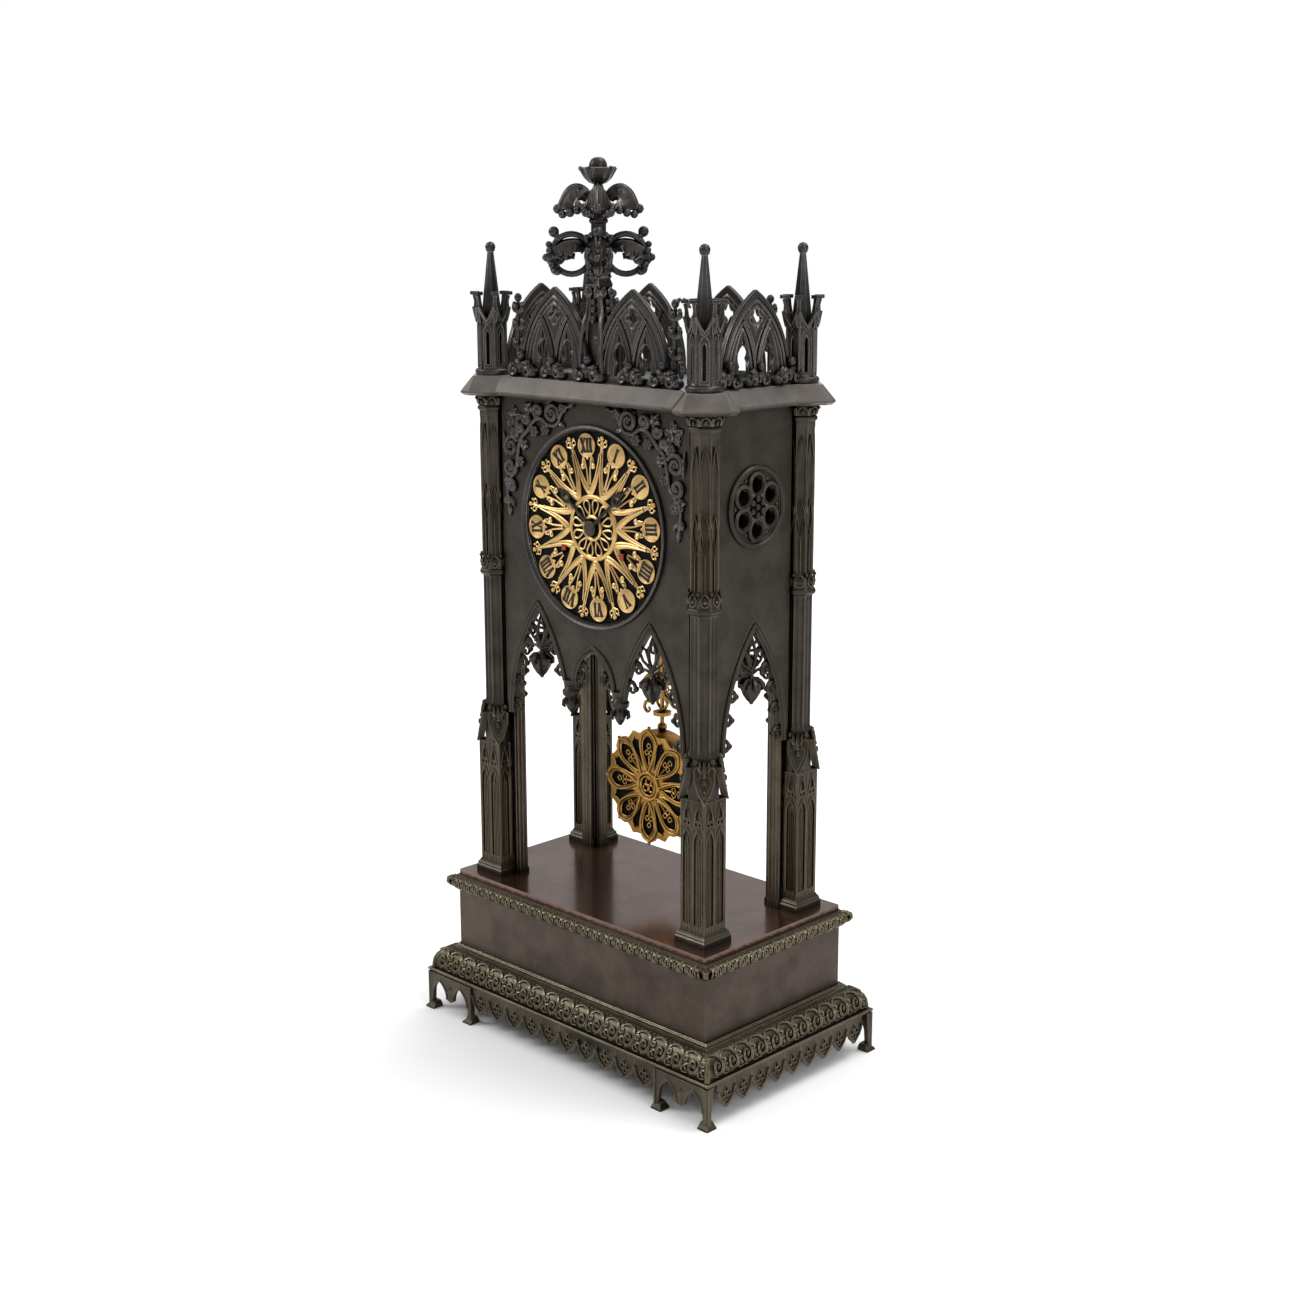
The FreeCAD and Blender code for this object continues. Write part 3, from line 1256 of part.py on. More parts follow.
def make_pendulum():
    """Suspension spring, rod, fleuron and the round bob with its pierced rosette front."""
    hang = "dial_height + anchor_height"
    length = d.dial_height + d.anchor_height
    body = new_body("pendulum_rod", "0", "0", hang)
    eye = [regular(8, 2.1), regular(8, d.arbor_radius + 1.2 * d.pivot_play)]
    extrude(body, "y", eye, "rod_plane - suspension_width", "2 * suspension_width")
    spring = rectangle(-0.3 * d.suspension_width, -9.0, 0.3 * d.suspension_width, -1.8)
    extrude(body, "y", [spring], "rod_plane - suspension_width", "2 * suspension_width")
    low = d.bob_height - length + d.bob_radius - 1.2
    rod = regular(8, d.rod_radius, (0.0, d.rod_plane), 22.5)
    span = "dial_height + anchor_height - 8 - bob_height - bob_radius + 1.2"
    extrude(body, "z", [rod], "%g" % low, span)
    eye = d.fleuron_height - length
    loops = []
    outer = polygon([(-d.fleuron_shift - d.fleuron_eye, eye), (-d.fleuron_shift, eye - d.fleuron_eye),
                     (0.0, eye - d.fleuron_eye - 4.0), (d.fleuron_shift, eye - d.fleuron_eye),
                     (d.fleuron_shift + d.fleuron_eye, eye), (d.fleuron_shift, eye + d.fleuron_eye),
                     (0.0, eye + d.fleuron_eye + 5.0), (-d.fleuron_shift, eye + d.fleuron_eye)])
    loops.append(outer)
    for side in (-1, 1):
        loops.append(regular(8, d.fleuron_eye - 2.6, (side * d.fleuron_shift, eye), 22.5))
    extrude(body, "y", loops, "rod_plane - fleuron_thickness / 2", "fleuron_thickness")

    body = new_body("pendulum_bob", "0", "0", "bob_height")
    extrude(body, "y", [regular(40, d.bob_radius)], "bob_front", "bob_back - bob_front")
    count = int(d.rosette_petals)
    scallops = []
    for i in range(count * 2):
        reach = d.rosette_bob_radius if i % 2 == 0 else d.rosette_bob_radius * 0.93
        angle = 360.0 * i / (count * 2) + 90.0
        scallops.append(polar(reach, angle - 5.0))
        scallops.append(polar(reach, angle + 5.0))
    extrude(body, "y", [polygon(scallops)], "bob_front - rosette_bob_thickness", "rosette_bob_thickness")
    petal = polygon([polar(11.0, 90.0), polar(20.0, 77.0), polar(28.0, 78.5), polar(31.5, 90.0),
                     polar(28.0, 101.5), polar(20.0, 103.0)])
    hollow = cut(body, "y", [petal], "bob_front - rosette_bob_thickness", "rosette_bob_thickness")
    repeat(body, hollow, "y", count)
    pocket = regular(8, d.rod_radius + d.seat_gap, (0.0, d.rod_plane), 22.5)
    cut(body, "z", [pocket], "bob_radius - 1.25", "2")


def make_strike():
    """Bell on its stand behind the back plate, and the hammer beside its rim."""
    body = new_body("bell", "0", "0", "dial_height")
    radius, wall = d.bell_radius, d.bell_wall
    profile = [(0.0, 1.0), (0.35, 0.97), (0.7, 0.84), (0.92, 0.62), (1.0, 0.34)]
    outer = []
    inner = []
    for share, width in profile:
        outer.append(("-bell_front - %g * (bell_back - bell_front)" % share, regular(24, radius * width)))
    for share, width in profile[:-1]:
        inner.append(("-bell_front - %g * (bell_back - bell_front - bell_wall)" % share,
                      regular(24, radius * width - wall)))
    inner.append(("-bell_back + bell_wall", regular(24, radius * 0.36 - wall)))
    loft(body, "y", outer)
    drawings = [sketch(body, "y", [loop], offset) for offset, loop in inner]
    hollow = body.newObject("PartDesign::SubtractiveLoft", "bell_hollow")
    hollow.Profile = drawings[0]
    hollow.Sections = drawings[1:]
    hollow.Ruled = True
    cut(body, "y", [regular(8, 2.0)], "bell_back - bell_wall - 1", "bell_wall + 2")

    body = new_body("bell_stand", "0", "0", "dial_height")
    rear = "-back_plate_face + plate_thickness"
    post = rectangle(13.0, -16.0, 18.0, -11.0)
    extrude(body, "y", [post], rear, "bell_front + 5 + back_plate_face - plate_thickness")
    arm = polygon([(18.0, -16.0), (18.0, -11.0), (3.0, 3.0), (-3.0, 3.0), (-3.0, -3.0), (13.0, -16.0)])
    extrude(body, "y", [arm], "bell_front + 2", "3")
    extrude(body, "y", [regular(8, 2.0)], "bell_front + 5", "bell_back - bell_front - 3.8")

    body = new_body("hammer", "hammer_x", "0", "dial_height - hammer_drop")
    start = "-back_plate_face"
    reach = "bell_front + 3 + back_plate_face"
    extrude(body, "y", [regular(8, d.arbor_radius)], start, reach)
    size = d.hammer_head_half
    strike = d.bell_radius + size + 0.6
    angle = -62.0
    head = polar(strike, angle, (-d.hammer_x, d.hammer_drop))
    side = 1.2
    normal = heading((0.0, 0.0), head) + 90.0
    arm = polygon([polar(side, normal), polar(side, normal, head), polar(side, normal + 180.0, head),
                   polar(side, normal + 180.0)])
    extrude(body, "y", [arm], "bell_front + 1", "2")
    extrude(body, "y", [regular(8, size, head, 22.5)], "bell_front - 0.5", "5")


def make_back():
    """Rear bezel with the two straps that hold the movement, and the hinged sound door."""
    body = new_body("rear_bezel", "0", "0", "dial_height")
    ring = [regular(48, d.rear_bezel_radius), regular(48, d.door_radius + d.hanging_gap + 0.3)]
    extrude(body, "y", ring, "column_y + panel_face", "rear_bezel_depth")
    half = d.strap_width / 2.0
    for side in (-1, 1):
        low_x = d.strap_reach - d.strap_thickness if side > 0 else -d.strap_reach
        strap = rectangle(low_x, -half, low_x + d.strap_thickness, half)
        extrude(body, "y", [strap], "-dial_plate_face + dial_plate_thickness",
                "dial_plate_face - dial_plate_thickness + column_y + panel_face")
    knuckle = d.hinge_knuckle_radius
    third = d.hinge_length / 6.0
    axis = (-d.hinge_x, panel_y + d.rear_bezel_depth + knuckle - 0.4)
    for low in (-3.0 * third, third + d.seat_gap):
        high = low + 2.0 * third - d.seat_gap
        extrude(body, "z", [regular(12, knuckle, axis)], low, "hinge_length / 3 - seat_gap")
        leaf = rectangle(axis[0] - knuckle, low, 1.0 - d.rear_bezel_radius, high)
        extrude(body, "y", [leaf], "column_y + panel_face + rear_bezel_depth - 1", "1")
    extrude(body, "z", [regular(8, d.hinge_pin_radius, axis)], "-hinge_length / 2", "hinge_length")

    body = new_body("rear_door", "0", "0", "dial_height")
    low = "column_y + panel_face + rear_bezel_depth - door_thickness + 2 * seat_gap"
    sound = [regular(6, 2.0, polar(circle, 360.0 * i / count))
             for circle, count in ((14.0, 6), (26.0, 12)) for i in range(count)]
    extrude(body, "y", [regular(48, d.door_radius)] + sound, low, "door_thickness")
    reach = third - d.seat_gap
    bore = (d.hinge_pin_radius + d.pivot_play) / math.cos(math.radians(15.0))
    eye = [regular(12, knuckle, axis), regular(12, bore, axis)]
    extrude(body, "z", eye, -reach, "hinge_length / 3 - 2 * seat_gap")
    tongue = rectangle(axis[0] + bore + 0.2, -reach, 4.0 - d.door_radius, reach)
    extrude(body, "y", [tongue], low + " + door_thickness", "door_thickness")
    knob = regular(8, 2.6, (d.door_radius - 6.0, 0.0))
    extrude(body, "y", [knob], low, "door_thickness + 5")


def make_vines():
    """Pair of cast vine mounts in the upper corners of the front."""
    body = new_body("vine_mounts")
    for side in (-1, 1):
        rim = d.vine_circle
        start = math.degrees(math.acos(d.vine_inner_x / rim))
        drop = d.dial_height - d.vine_bottom
        end = math.degrees(math.asin(-drop / rim))
        steps = 7
        curve = [polar(rim, end + (start - end) * i / steps, (0.0, d.dial_height)) for i in range(steps + 1)]
        points = curve + [(d.vine_inner_x, d.vine_top - 3.0), (d.vine_inner_x + 6.0, d.vine_top),
                          (d.vine_reach_x, d.vine_top), (d.vine_reach_x, d.vine_bottom)]
        outline = polygon([(side * x, z) for x, z in points])
        extrude(body, "y", [outline], "-column_y - panel_face - vine_thickness", "vine_thickness")


# ---------------------------------------------------------------------------------------------
# Build, check and write
# ---------------------------------------------------------------------------------------------
def with_plane_faces(shape):
    """The same solids with the flat faces of the lofts rebuilt as planes, which keeps files light."""
    faces = []
    for face in shape.Faces:
        if isinstance(face.Surface, Part.BSplineSurface) and face.findPlane(0.001):
            loops = []
            for wire in face.Wires:
                corners = [vertex.Point for vertex in wire.OrderedVertexes]
                loops.append(Part.makePolygon(corners + corners[:1]))
            face = Part.Face(loops)
        faces.append(face)
    shell = Part.makeShell(faces)
    shell.sewShape()
    solid = Part.makeSolid(shell)
    if not solid.isValid() or abs(solid.Volume - shape.Volume) > 1e-6 * shape.Volume:
        raise RuntimeError("a piece changed when its flat faces were rebuilt")
    return solid


def main():
    make_feet()
    make_rail()
    make_plinth()
    make_columns()
    make_posts()
    make_panels()
    make_slab()
    make_turrets()
    make_cresting()
    make_finial()
    make_dial()
    make_hands()
    minute_stud = make_motion_work()
    places = make_train()
    make_plates(places, minute_stud)
    make_escapement(places)
    make_pendulum()
    make_strike()
    make_back()
    make_vines()
    doc.recompute()
    for item in doc.Objects:
        if "Invalid" in item.State or "Error" in item.State:
            raise RuntimeError("%s did not build" % item.Label)
    os.makedirs("parts", exist_ok=True)
    for name, piece in nodes.items():
        if piece.Shape.isNull() or not piece.Shape.isValid():
            raise RuntimeError("%s has no valid shape" % name)
        solids = piece.Shape
        if any(isinstance(face.Surface, Part.BSplineSurface) for face in solids.Faces):
            solids = with_plane_faces(solids)
        solids.exportStep("parts/%s.step" % name)
    print("%d pieces written" % len(nodes))


main()
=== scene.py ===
# %% [markdown]
# # A Gothic revival mantel clock
#
# The clock is a small chapel of dark patinated bronze on four corner columns. A gilt openwork dial
# sits in its front, and a gilt pendulum swings below it. The solid model gives every size and every
# moving part. This lesson dresses that model: cast mouldings, tracery, leaves, scrolls, numerals,
# and the colours of old bronze and fire gilding.
#
# Lengths in this file are written in millimetres, because a clockmaker measures in them, and each
# finished piece is scaled to metres as it becomes a mesh.

# %% Load the solid model
import json
from math import asin, atan2, cos, degrees, pi, radians, sin, sqrt, tan

import bmesh
import bpy
from mathutils import Matrix, Vector
from mathutils.geometry import tessellate_polygon

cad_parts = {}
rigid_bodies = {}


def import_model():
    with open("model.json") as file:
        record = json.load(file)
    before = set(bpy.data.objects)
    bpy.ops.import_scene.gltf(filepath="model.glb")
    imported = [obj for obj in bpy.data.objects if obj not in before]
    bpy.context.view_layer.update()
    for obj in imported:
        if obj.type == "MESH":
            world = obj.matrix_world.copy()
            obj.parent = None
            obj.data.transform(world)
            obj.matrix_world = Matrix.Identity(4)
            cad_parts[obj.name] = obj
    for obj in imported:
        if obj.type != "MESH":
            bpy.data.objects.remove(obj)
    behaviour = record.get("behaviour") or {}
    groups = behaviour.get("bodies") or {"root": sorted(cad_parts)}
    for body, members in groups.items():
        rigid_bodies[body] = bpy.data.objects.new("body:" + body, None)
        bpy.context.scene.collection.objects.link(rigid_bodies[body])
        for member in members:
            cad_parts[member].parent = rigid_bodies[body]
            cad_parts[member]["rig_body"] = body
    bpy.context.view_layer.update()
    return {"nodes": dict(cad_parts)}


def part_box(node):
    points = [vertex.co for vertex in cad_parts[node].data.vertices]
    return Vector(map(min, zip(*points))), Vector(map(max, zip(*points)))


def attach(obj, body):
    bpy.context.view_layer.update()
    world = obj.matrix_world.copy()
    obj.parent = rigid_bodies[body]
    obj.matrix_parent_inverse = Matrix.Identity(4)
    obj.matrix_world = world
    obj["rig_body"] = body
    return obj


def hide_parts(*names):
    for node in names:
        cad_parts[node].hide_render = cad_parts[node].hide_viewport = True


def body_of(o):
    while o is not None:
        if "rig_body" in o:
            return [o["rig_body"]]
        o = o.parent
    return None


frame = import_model()
nodes = frame["nodes"]
MM = 0.001
print("pieces in the solid model:", len(nodes))

# %% [markdown]
# ## Places taken from the solid model
#
# A detail must sit exactly on what carries it, so the places are read from the boxes of the solid
# pieces instead of being typed in again.


# %% Read the main places
def box_mm(node):
    """Lowest and highest corner of a solid piece, in millimetres."""
    low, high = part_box(node)
    return [value * 1000 for value in low], [value * 1000 for value in high]


def middle(node):
    low, high = box_mm(node)
    return [(a + b) / 2 for a, b in zip(low, high)]


DIAL_Z = middle("bezel")[2]
DIAL_FACE = -box_mm("dial_plate")[0][1]
PANEL_SIDE = 86.95          # outer face of a side panel
COLUMN_X, COLUMN_Y = 85.25, 39.3
DIAL_TURN = 5.3             # the dial sits a little anticlockwise, as in the picture
CORNERS = {"front_left": (-1, -1), "front_right": (1, -1), "back_left": (-1, 1), "back_right": (1, 1)}
print("dial centre height", round(DIAL_Z, 1), "dial plate's face", round(DIAL_FACE, 1))

# %% [markdown]
# ## The camera first
#
# The picture was taken from the front right corner, a little above the slab, with a lens of normal
# length. The numbers came from lining up the clock's edges, and the camera is set before anything
# else so that every later step can be compared with the picture.

# %% Set the camera
camera_data = bpy.data.cameras.new("studio_camera")
camera_data.sensor_width = 36
camera_data.sensor_fit = "HORIZONTAL"
camera_data.lens = 1866.8 / 1290 * 36
camera_data.clip_start = 0.05
camera_data.clip_end = 50
camera = bpy.data.objects.new("studio_camera", camera_data)
bpy.context.scene.collection.objects.link(camera)
turn = Matrix.Rotation(radians(44.682), 4, "Z")
tilt = Matrix.Rotation(radians(90 - 12.884), 4, "X")
roll = Matrix.Rotation(radians(-0.163), 4, "Z")
camera.matrix_world = Matrix.Translation((0.754993, -0.762004, 0.487600)) @ turn @ tilt @ roll
bpy.context.scene.camera = camera
print("lens", round(camera_data.lens, 1), "mm")

# %% [markdown]
# ## A bench of small modelling helpers
#
# Cast bronze ornament is mostly three things: wires that run along a curve and taper, turned forms,
# and flat plates with openings. A "casting" gathers the points and faces of such forms until the
# piece is complete. It could be done with one Blender object for each scroll, but hundreds of
# objects are slow to handle, and one mesh for each real piece is what the founder made too.


# %% Curves in the plane
def arc(centre, radius, start, end, steps):
    """Points along a circle's arc, with angles in degrees, counted from the right towards the top."""
    points = []
    for i in range(steps + 1):
        angle = radians(start + (end - start) * i / steps)
        points.append((centre[0] + radius * cos(angle), centre[1] + radius * sin(angle)))
    return points


def circle(centre, radius, steps=24, turn=0):
    return arc(centre, radius, turn, turn + 360, steps)[:-1]


def spiral(centre, outer, inner, start, turns, steps=18):
    """A volute that winds in from the outer to the inner radius."""
    points = []
    for i in range(steps + 1):
        share = i / steps
        angle = radians(start + 360 * turns * share)
        radius = outer + (inner - outer) * share ** 0.8
        points.append((centre[0] + radius * cos(angle), centre[1] + radius * sin(angle)))
    return points


def smooth(points, steps=4):
    """A soft curve through the points."""
    ends = [points[0]] + list(points) + [points[-1]]
    curve = []
    for a, b, c, e in zip(ends, ends[1:], ends[2:], ends[3:]):
        for i in range(steps):
            t = i / steps
            curve.append(tuple(
                0.5 * (2 * q + (r - p) * t + (2 * p - 5 * q + 4 * r - s) * t * t
                       + (3 * q - p - 3 * r + s) * t ** 3)
                for p, q, r, s in zip(a, b, c, e)))
    curve.append(tuple(points[-1]))
    return curve


def mirrored(points, side, axis=0):
    """The points on the given side, 1 or -1, of a vertical line."""
    return [(axis + side * a, b) for a, b in points]


def pointed(centre, half, rise, steps=8, narrow=0):
    """One curve of a pointed arch from its right springing to its point and down to the left."""
    half, rise = half - narrow, rise - 1.25 * narrow
    radius = (rise * rise + half * half) / (2 * half)
    bend = degrees(asin(min(1, rise / radius)))
    right = arc((centre[0] + half - radius, centre[1]), radius, 0, bend, steps)
    left = [(2 * centre[0] - x, z) for x, z in reversed(right)]
    return right + left[1:]


def lancet(axis, half, foot, spring, rise, steps=6):
    """A closed pointed opening about a vertical line, from its foot to its point."""
    return [(axis + half, foot)] + pointed((axis, spring), half, rise, steps) + [(axis - half, foot)]


# %% Places on a face
def on_face(turn=0, centre=(0, 0)):
    """Maps (across, height, out) of a standing face into space. A turn of 0 faces the front."""
    angle = radians(turn)
    right = (cos(angle), sin(angle))
    out = (sin(angle), -cos(angle))

    def place(across, height, depth):
        return (centre[0] + right[0] * across + out[0] * depth,
                centre[1] + right[1] * across + out[1] * depth, height)

    place.out = Vector((out[0], out[1], 0))
    place.right = Vector((right[0], right[1], 0))
    return place


def on_dial(clockwise, face):
    """Maps (across, outward, depth) at a clock angle of the dial into space."""
    angle = radians(clockwise)

    def place(across, radius, depth):
        x = radius * sin(angle) + across * cos(angle)
        z = radius * cos(angle) - across * sin(angle)
        return (x, -face - depth, DIAL_Z + z)

    place.out = Vector((0, -1, 0))
    return place


# %% [markdown]
# The bench grows in three cells: first wires and balls, then standing and turned forms, and last the
# plates and leaves. Each class adds its forms to the one before, and a Casting has them all.


# %% Wires and balls
class Wires:
    """Gathers the points and faces of one piece, in millimetres."""

    def __init__(self):
        self.points = []
        self.faces = []

    def add(self, points, faces):
        first = len(self.points)
        self.points.extend(tuple(point) for point in points)
        self.faces.extend(tuple(first + corner for corner in face) for face in faces)
        return self

    def wire(self, path, radius, up=(0, -1, 0), sides=6, closed=False, flat=1):
        """A wire along a path in space. Up is square to the path, and flat is height over width."""
        path = [Vector(point) for point in path]
        up = Vector(up)
        count = len(path)
        radii = radius if isinstance(radius, (list, tuple)) else [radius] * count
        points, faces = [], []
        for i, point in enumerate(path):
            before = path[i - 1] if i or closed else path[i]
            after = path[(i + 1) % count] if i < count - 1 or closed else path[i]
            run = (after - before).normalized()
            side = run.cross(up)
            side = side.normalized() if side.length > 1e-4 else run.orthogonal().normalized()
            top = side.cross(run).normalized()
            for k in range(sides):
                angle = 2 * pi * (k + 0.5) / sides
                points.append(point + side * cos(angle) * radii[i]
                              + top * sin(angle) * radii[i] * flat)
        for i in range(count if closed else count - 1):
            for k in range(sides):
                a, b = i * sides + k, i * sides + (k + 1) % sides
                c, e = ((i + 1) % count) * sides + k, ((i + 1) % count) * sides + (k + 1) % sides
                faces.append((a, b, e, c))
        if not closed:
            faces.append(tuple(reversed(range(sides))))
            faces.append(tuple(range((count - 1) * sides, count * sides)))
        return self.add(points, faces)

    def flat_wire(self, place, curve, height, radius, **facts):
        """A wire along a plane curve that lies on a face at the given height above it."""
        return self.wire([place(a, b, height) for a, b in curve], radius, up=place.out, **facts)

    def ball(self, centre, radius, stretch=(1, 1, 1), rings=5, sides=8):
        """A closed ball, stretched along X, Y and Z."""
        points = [(centre[0], centre[1], centre[2] - radius * stretch[2])]
        faces = []
        for i in range(1, rings):
            low = pi * i / rings
            for k in range(sides):
                angle = 2 * pi * k / sides
                points.append((centre[0] + radius * stretch[0] * sin(low) * cos(angle),
                               centre[1] + radius * stretch[1] * sin(low) * sin(angle),
                               centre[2] - radius * stretch[2] * cos(low)))
        points.append((centre[0], centre[1], centre[2] + radius * stretch[2]))
        last = len(points) - 1
        for k in range(sides):
            faces.append((0, 1 + (k + 1) % sides, 1 + k))
            faces.append((last, last - sides + k, last - sides + (k + 1) % sides))
        for i in range(rings - 2):
            for k in range(sides):
                a, b = 1 + i * sides + k, 1 + i * sides + (k + 1) % sides
                faces.append((a, b, b + sides, a + sides))
        return self.add(points, faces)


# %% Standing and turned forms
class Forms(Wires):
    def stack(self, rings):
        """Joins closed rings of equally many points and caps both ends."""
        count = len(rings[0])
        points = [point for ring in rings for point in ring]
        faces = []
        for i in range(len(rings) - 1):
            for k in range(count):
                a, b = i * count + k, i * count + (k + 1) % count
                faces.append((a, b, b + count, a + count))
        faces.append(tuple(reversed(range(count))))
        faces.append(tuple(range((len(rings) - 1) * count, len(rings) * count)))
        return self.add(points, faces)

    def tower(self, centre, profile, sides=8, turn=22.5, ripple=0, waves=8):
        """A standing many-sided form. The profile lists (half width, height)."""
        flat = 1 / cos(pi / sides) if sides <= 12 else 1
        rings = []
        for half, height in profile:
            ring = []
            for k in range(sides):
                angle = 360 * k / sides + turn
                radius = half * flat * (1 + ripple * cos(radians(angle * waves)))
                ring.append((centre[0] + radius * cos(radians(angle)),
                             centre[1] + radius * sin(radians(angle)), height))
            rings.append(ring)
        return self.stack(rings)

    def ring_frame(self, profile):
        """A mitred moulding with a closed section, open in its middle."""
        points = [point for x, y, z in profile for point in ((-x, -y, z), (x, -y, z), (x, y, z),
                                                             (-x, y, z))]
        count = len(profile)
        faces = [(4 * i + k, 4 * i + (k + 1) % 4, 4 * ((i + 1) % count) + (k + 1) % 4,
                  4 * ((i + 1) % count) + k) for i in range(count) for k in range(4)]
        return self.add(points, faces)

    def turned(self, centre, profile, sides=64):
        """A ring turned about a front-to-back axis. The closed profile lists (radius, y)."""
        points, faces = [], []
        count = len(profile)
        for k in range(sides):
            angle = 2 * pi * k / sides
            for radius, y in profile:
                points.append((centre[0] + radius * cos(angle), y,
                               centre[1] + radius * sin(angle)))
        for k in range(sides):
            for i in range(count):
                a, b = k * count + i, k * count + (i + 1) % count
                c, e = ((k + 1) % sides) * count + i, ((k + 1) % sides) * count + (i + 1) % count
                faces.append((a, b, e, c))
        return self.add(points, faces)


# %% Plates and leaves
class Casting(Forms):
    def plate(self, place, outline, holes, low, high):
        """A plate with openings on a face, between two depths."""
        loops = [list(outline)] + [list(hole) for hole in holes]
        flat = [point for loop in loops for point in loop]
        triangles = tessellate_polygon([[Vector((a, b, 0)) for a, b in loop] for loop in loops])
        count = len(flat)
        points = [place(a, b, high) for a, b in flat] + [place(a, b, low) for a, b in flat]
        faces = []
        for a, b, c in triangles:
            (ax, az), (bx, bz), (cx, cz) = flat[a], flat[b], flat[c]
            if (bx - ax) * (cz - az) - (bz - az) * (cx - ax) < 0:
                a, b, c = a, c, b
            faces.append((a, b, c))
            faces.append((a + count, c + count, b + count))
        first = 0
        for loop in loops:
            for i in range(len(loop)):
                a, b = first + i, first + (i + 1) % len(loop)
                faces.append((a, a + count, b + count, b))
            first += len(loop)
        return self.add(points, faces)

    def leaf(self, place, root, tip, width, height, lobes=5, curl=1):
        """A ribbed leaf from root to tip on a face, with a notched edge, rising in its middle."""
        root, tip = Vector(root), Vector(tip)
        run = tip - root
        side = Vector((-run.y, run.x)).normalized()
        steps = lobes * 2
        points, faces = [], []
        for i in range(steps + 1):
            share = i / steps
            swell = sin(pi * min(1, share * 0.93 + 0.07)) ** 0.7
            notch = 1 if i % 2 else 0.72
            half = width * 0.5 * swell * notch
            lift = height * (0.35 + 0.65 * sin(pi * min(1, share * 1.05))) + curl * share ** 3
            for across in (-1, -0.5, 0, 0.5, 1):
                flatness = 0.35 if abs(across) == 1 else 0.95 if abs(across) == 0.5 else 0.75
                at = root + run * share + side * half * across
                points.append(place(at.x, at.y, lift * flatness))
            for across in (1, -1):
                at = root + run * share + side * half * across * 0.8
                points.append(place(at.x, at.y, -0.15))
        row = 7
        for i in range(steps):
            for k in range(row):
                a, b = i * row + k, i * row + (k + 1) % row
                faces.append((a, a + row, b + row, b))
        faces.append(tuple(range(row)))
        faces.append(tuple(reversed(range(steps * row, (steps + 1) * row))))
        return self.add(points, faces)


print("bench ready")


# %% [markdown]
# ## From casting to mesh
#
# A casting becomes one mesh with shaded curves and crisp corners. Smooth shading alone would blur the edges
# of the plates, so edges sharper than 38 degrees stay sharp.


# %% Make a mesh from a casting
def finish_mesh(mesh, material, sharp=38):
    """Welds, turns the faces outwards, shades and gives the one material."""
    work = bmesh.new()
    work.from_mesh(mesh)
    bmesh.ops.remove_doubles(work, verts=work.verts, dist=0.000002)
    bmesh.ops.recalc_face_normals(work, faces=work.faces)
    work.to_mesh(mesh)
    work.free()
    mesh.materials.clear()
    mesh.materials.append(material)
    mesh.polygons.foreach_set("use_smooth", [True] * len(mesh.polygons))
    mesh.set_sharp_from_angle(angle=radians(sharp))
    return mesh


def mesh_of(cast, name, material, sharp=38):
    mesh = bpy.data.meshes.new(name)
    mesh.from_pydata([[value * MM for value in point] for point in cast.points], [], cast.faces)
    return finish_mesh(mesh, material, sharp)


def piece_of(cast, name, material, sharp=38):
    """A finished object at the origin."""
    piece = bpy.data.objects.new(name, mesh_of(cast, name, material, sharp))
    bpy.context.scene.collection.objects.link(piece)
    print(name, len(piece.data.polygons), "faces")
    return piece


def moved(cast, turned, x, y):
    """A copy of a casting turned about Z and shifted."""
    angle = radians(turned)
    cosine, sine = cos(angle), sin(angle)
    copy = Casting()
    copy.faces = list(cast.faces)
    copy.points = [(x + a * cosine - b * sine, y + a * sine + b * cosine, z) for a, b, z in cast.points]
    return copy


def stand_in(cast, name, material, *replaced):
    """A finished piece that takes the place of solid pieces and moves with their body."""
    piece = piece_of(cast, name, material)
    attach(piece, body_of(nodes[replaced[0]])[0])
    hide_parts(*replaced)
    return piece


# %% [markdown]
# ## Rows of a repeated cast
#
# The founder cast one tongue of a leaf moulding and repeated it. A small geometry node tree does the
# same along a line. Its inputs are named, so that each row only states its piece, count, start, step
# and turn. An Array modifier could make the row too, but not turn each piece to face outwards.


# %% A node tree for rows
def tree_with(name, inputs):
    tree = bpy.data.node_groups.new(name, "GeometryNodeTree")
    tree.interface.new_socket("Geometry", in_out="INPUT", socket_type="NodeSocketGeometry")
    for label, kind in inputs:
        tree.interface.new_socket(label, in_out="INPUT", socket_type="NodeSocket" + kind)
    tree.interface.new_socket("Geometry", in_out="OUTPUT", socket_type="NodeSocketGeometry")
    entry = tree.nodes.new("NodeGroupInput")
    leave = tree.nodes.new("NodeGroupOutput")
    entry.location, leave.location = (-800, 0), (700, 0)
    return tree, entry, leave


def fill(made, inputs):
    """Sets the constant inputs of a node."""
    for label, value in inputs.items():
        made.inputs[label].default_value = value


def node(tree, kind, x, y, inputs=None, **settings):
    made = tree.nodes.new(kind)
    made.location = (x, y)
    for key, value in settings.items():
        setattr(made, key, value)
    fill(made, inputs or {})
    return made


def join(tree, *links):
    """Each link is (node, its output, next node, its input)."""
    for source, output, target, entry in links:
        tree.links.new(source.outputs[output], target.inputs[entry])


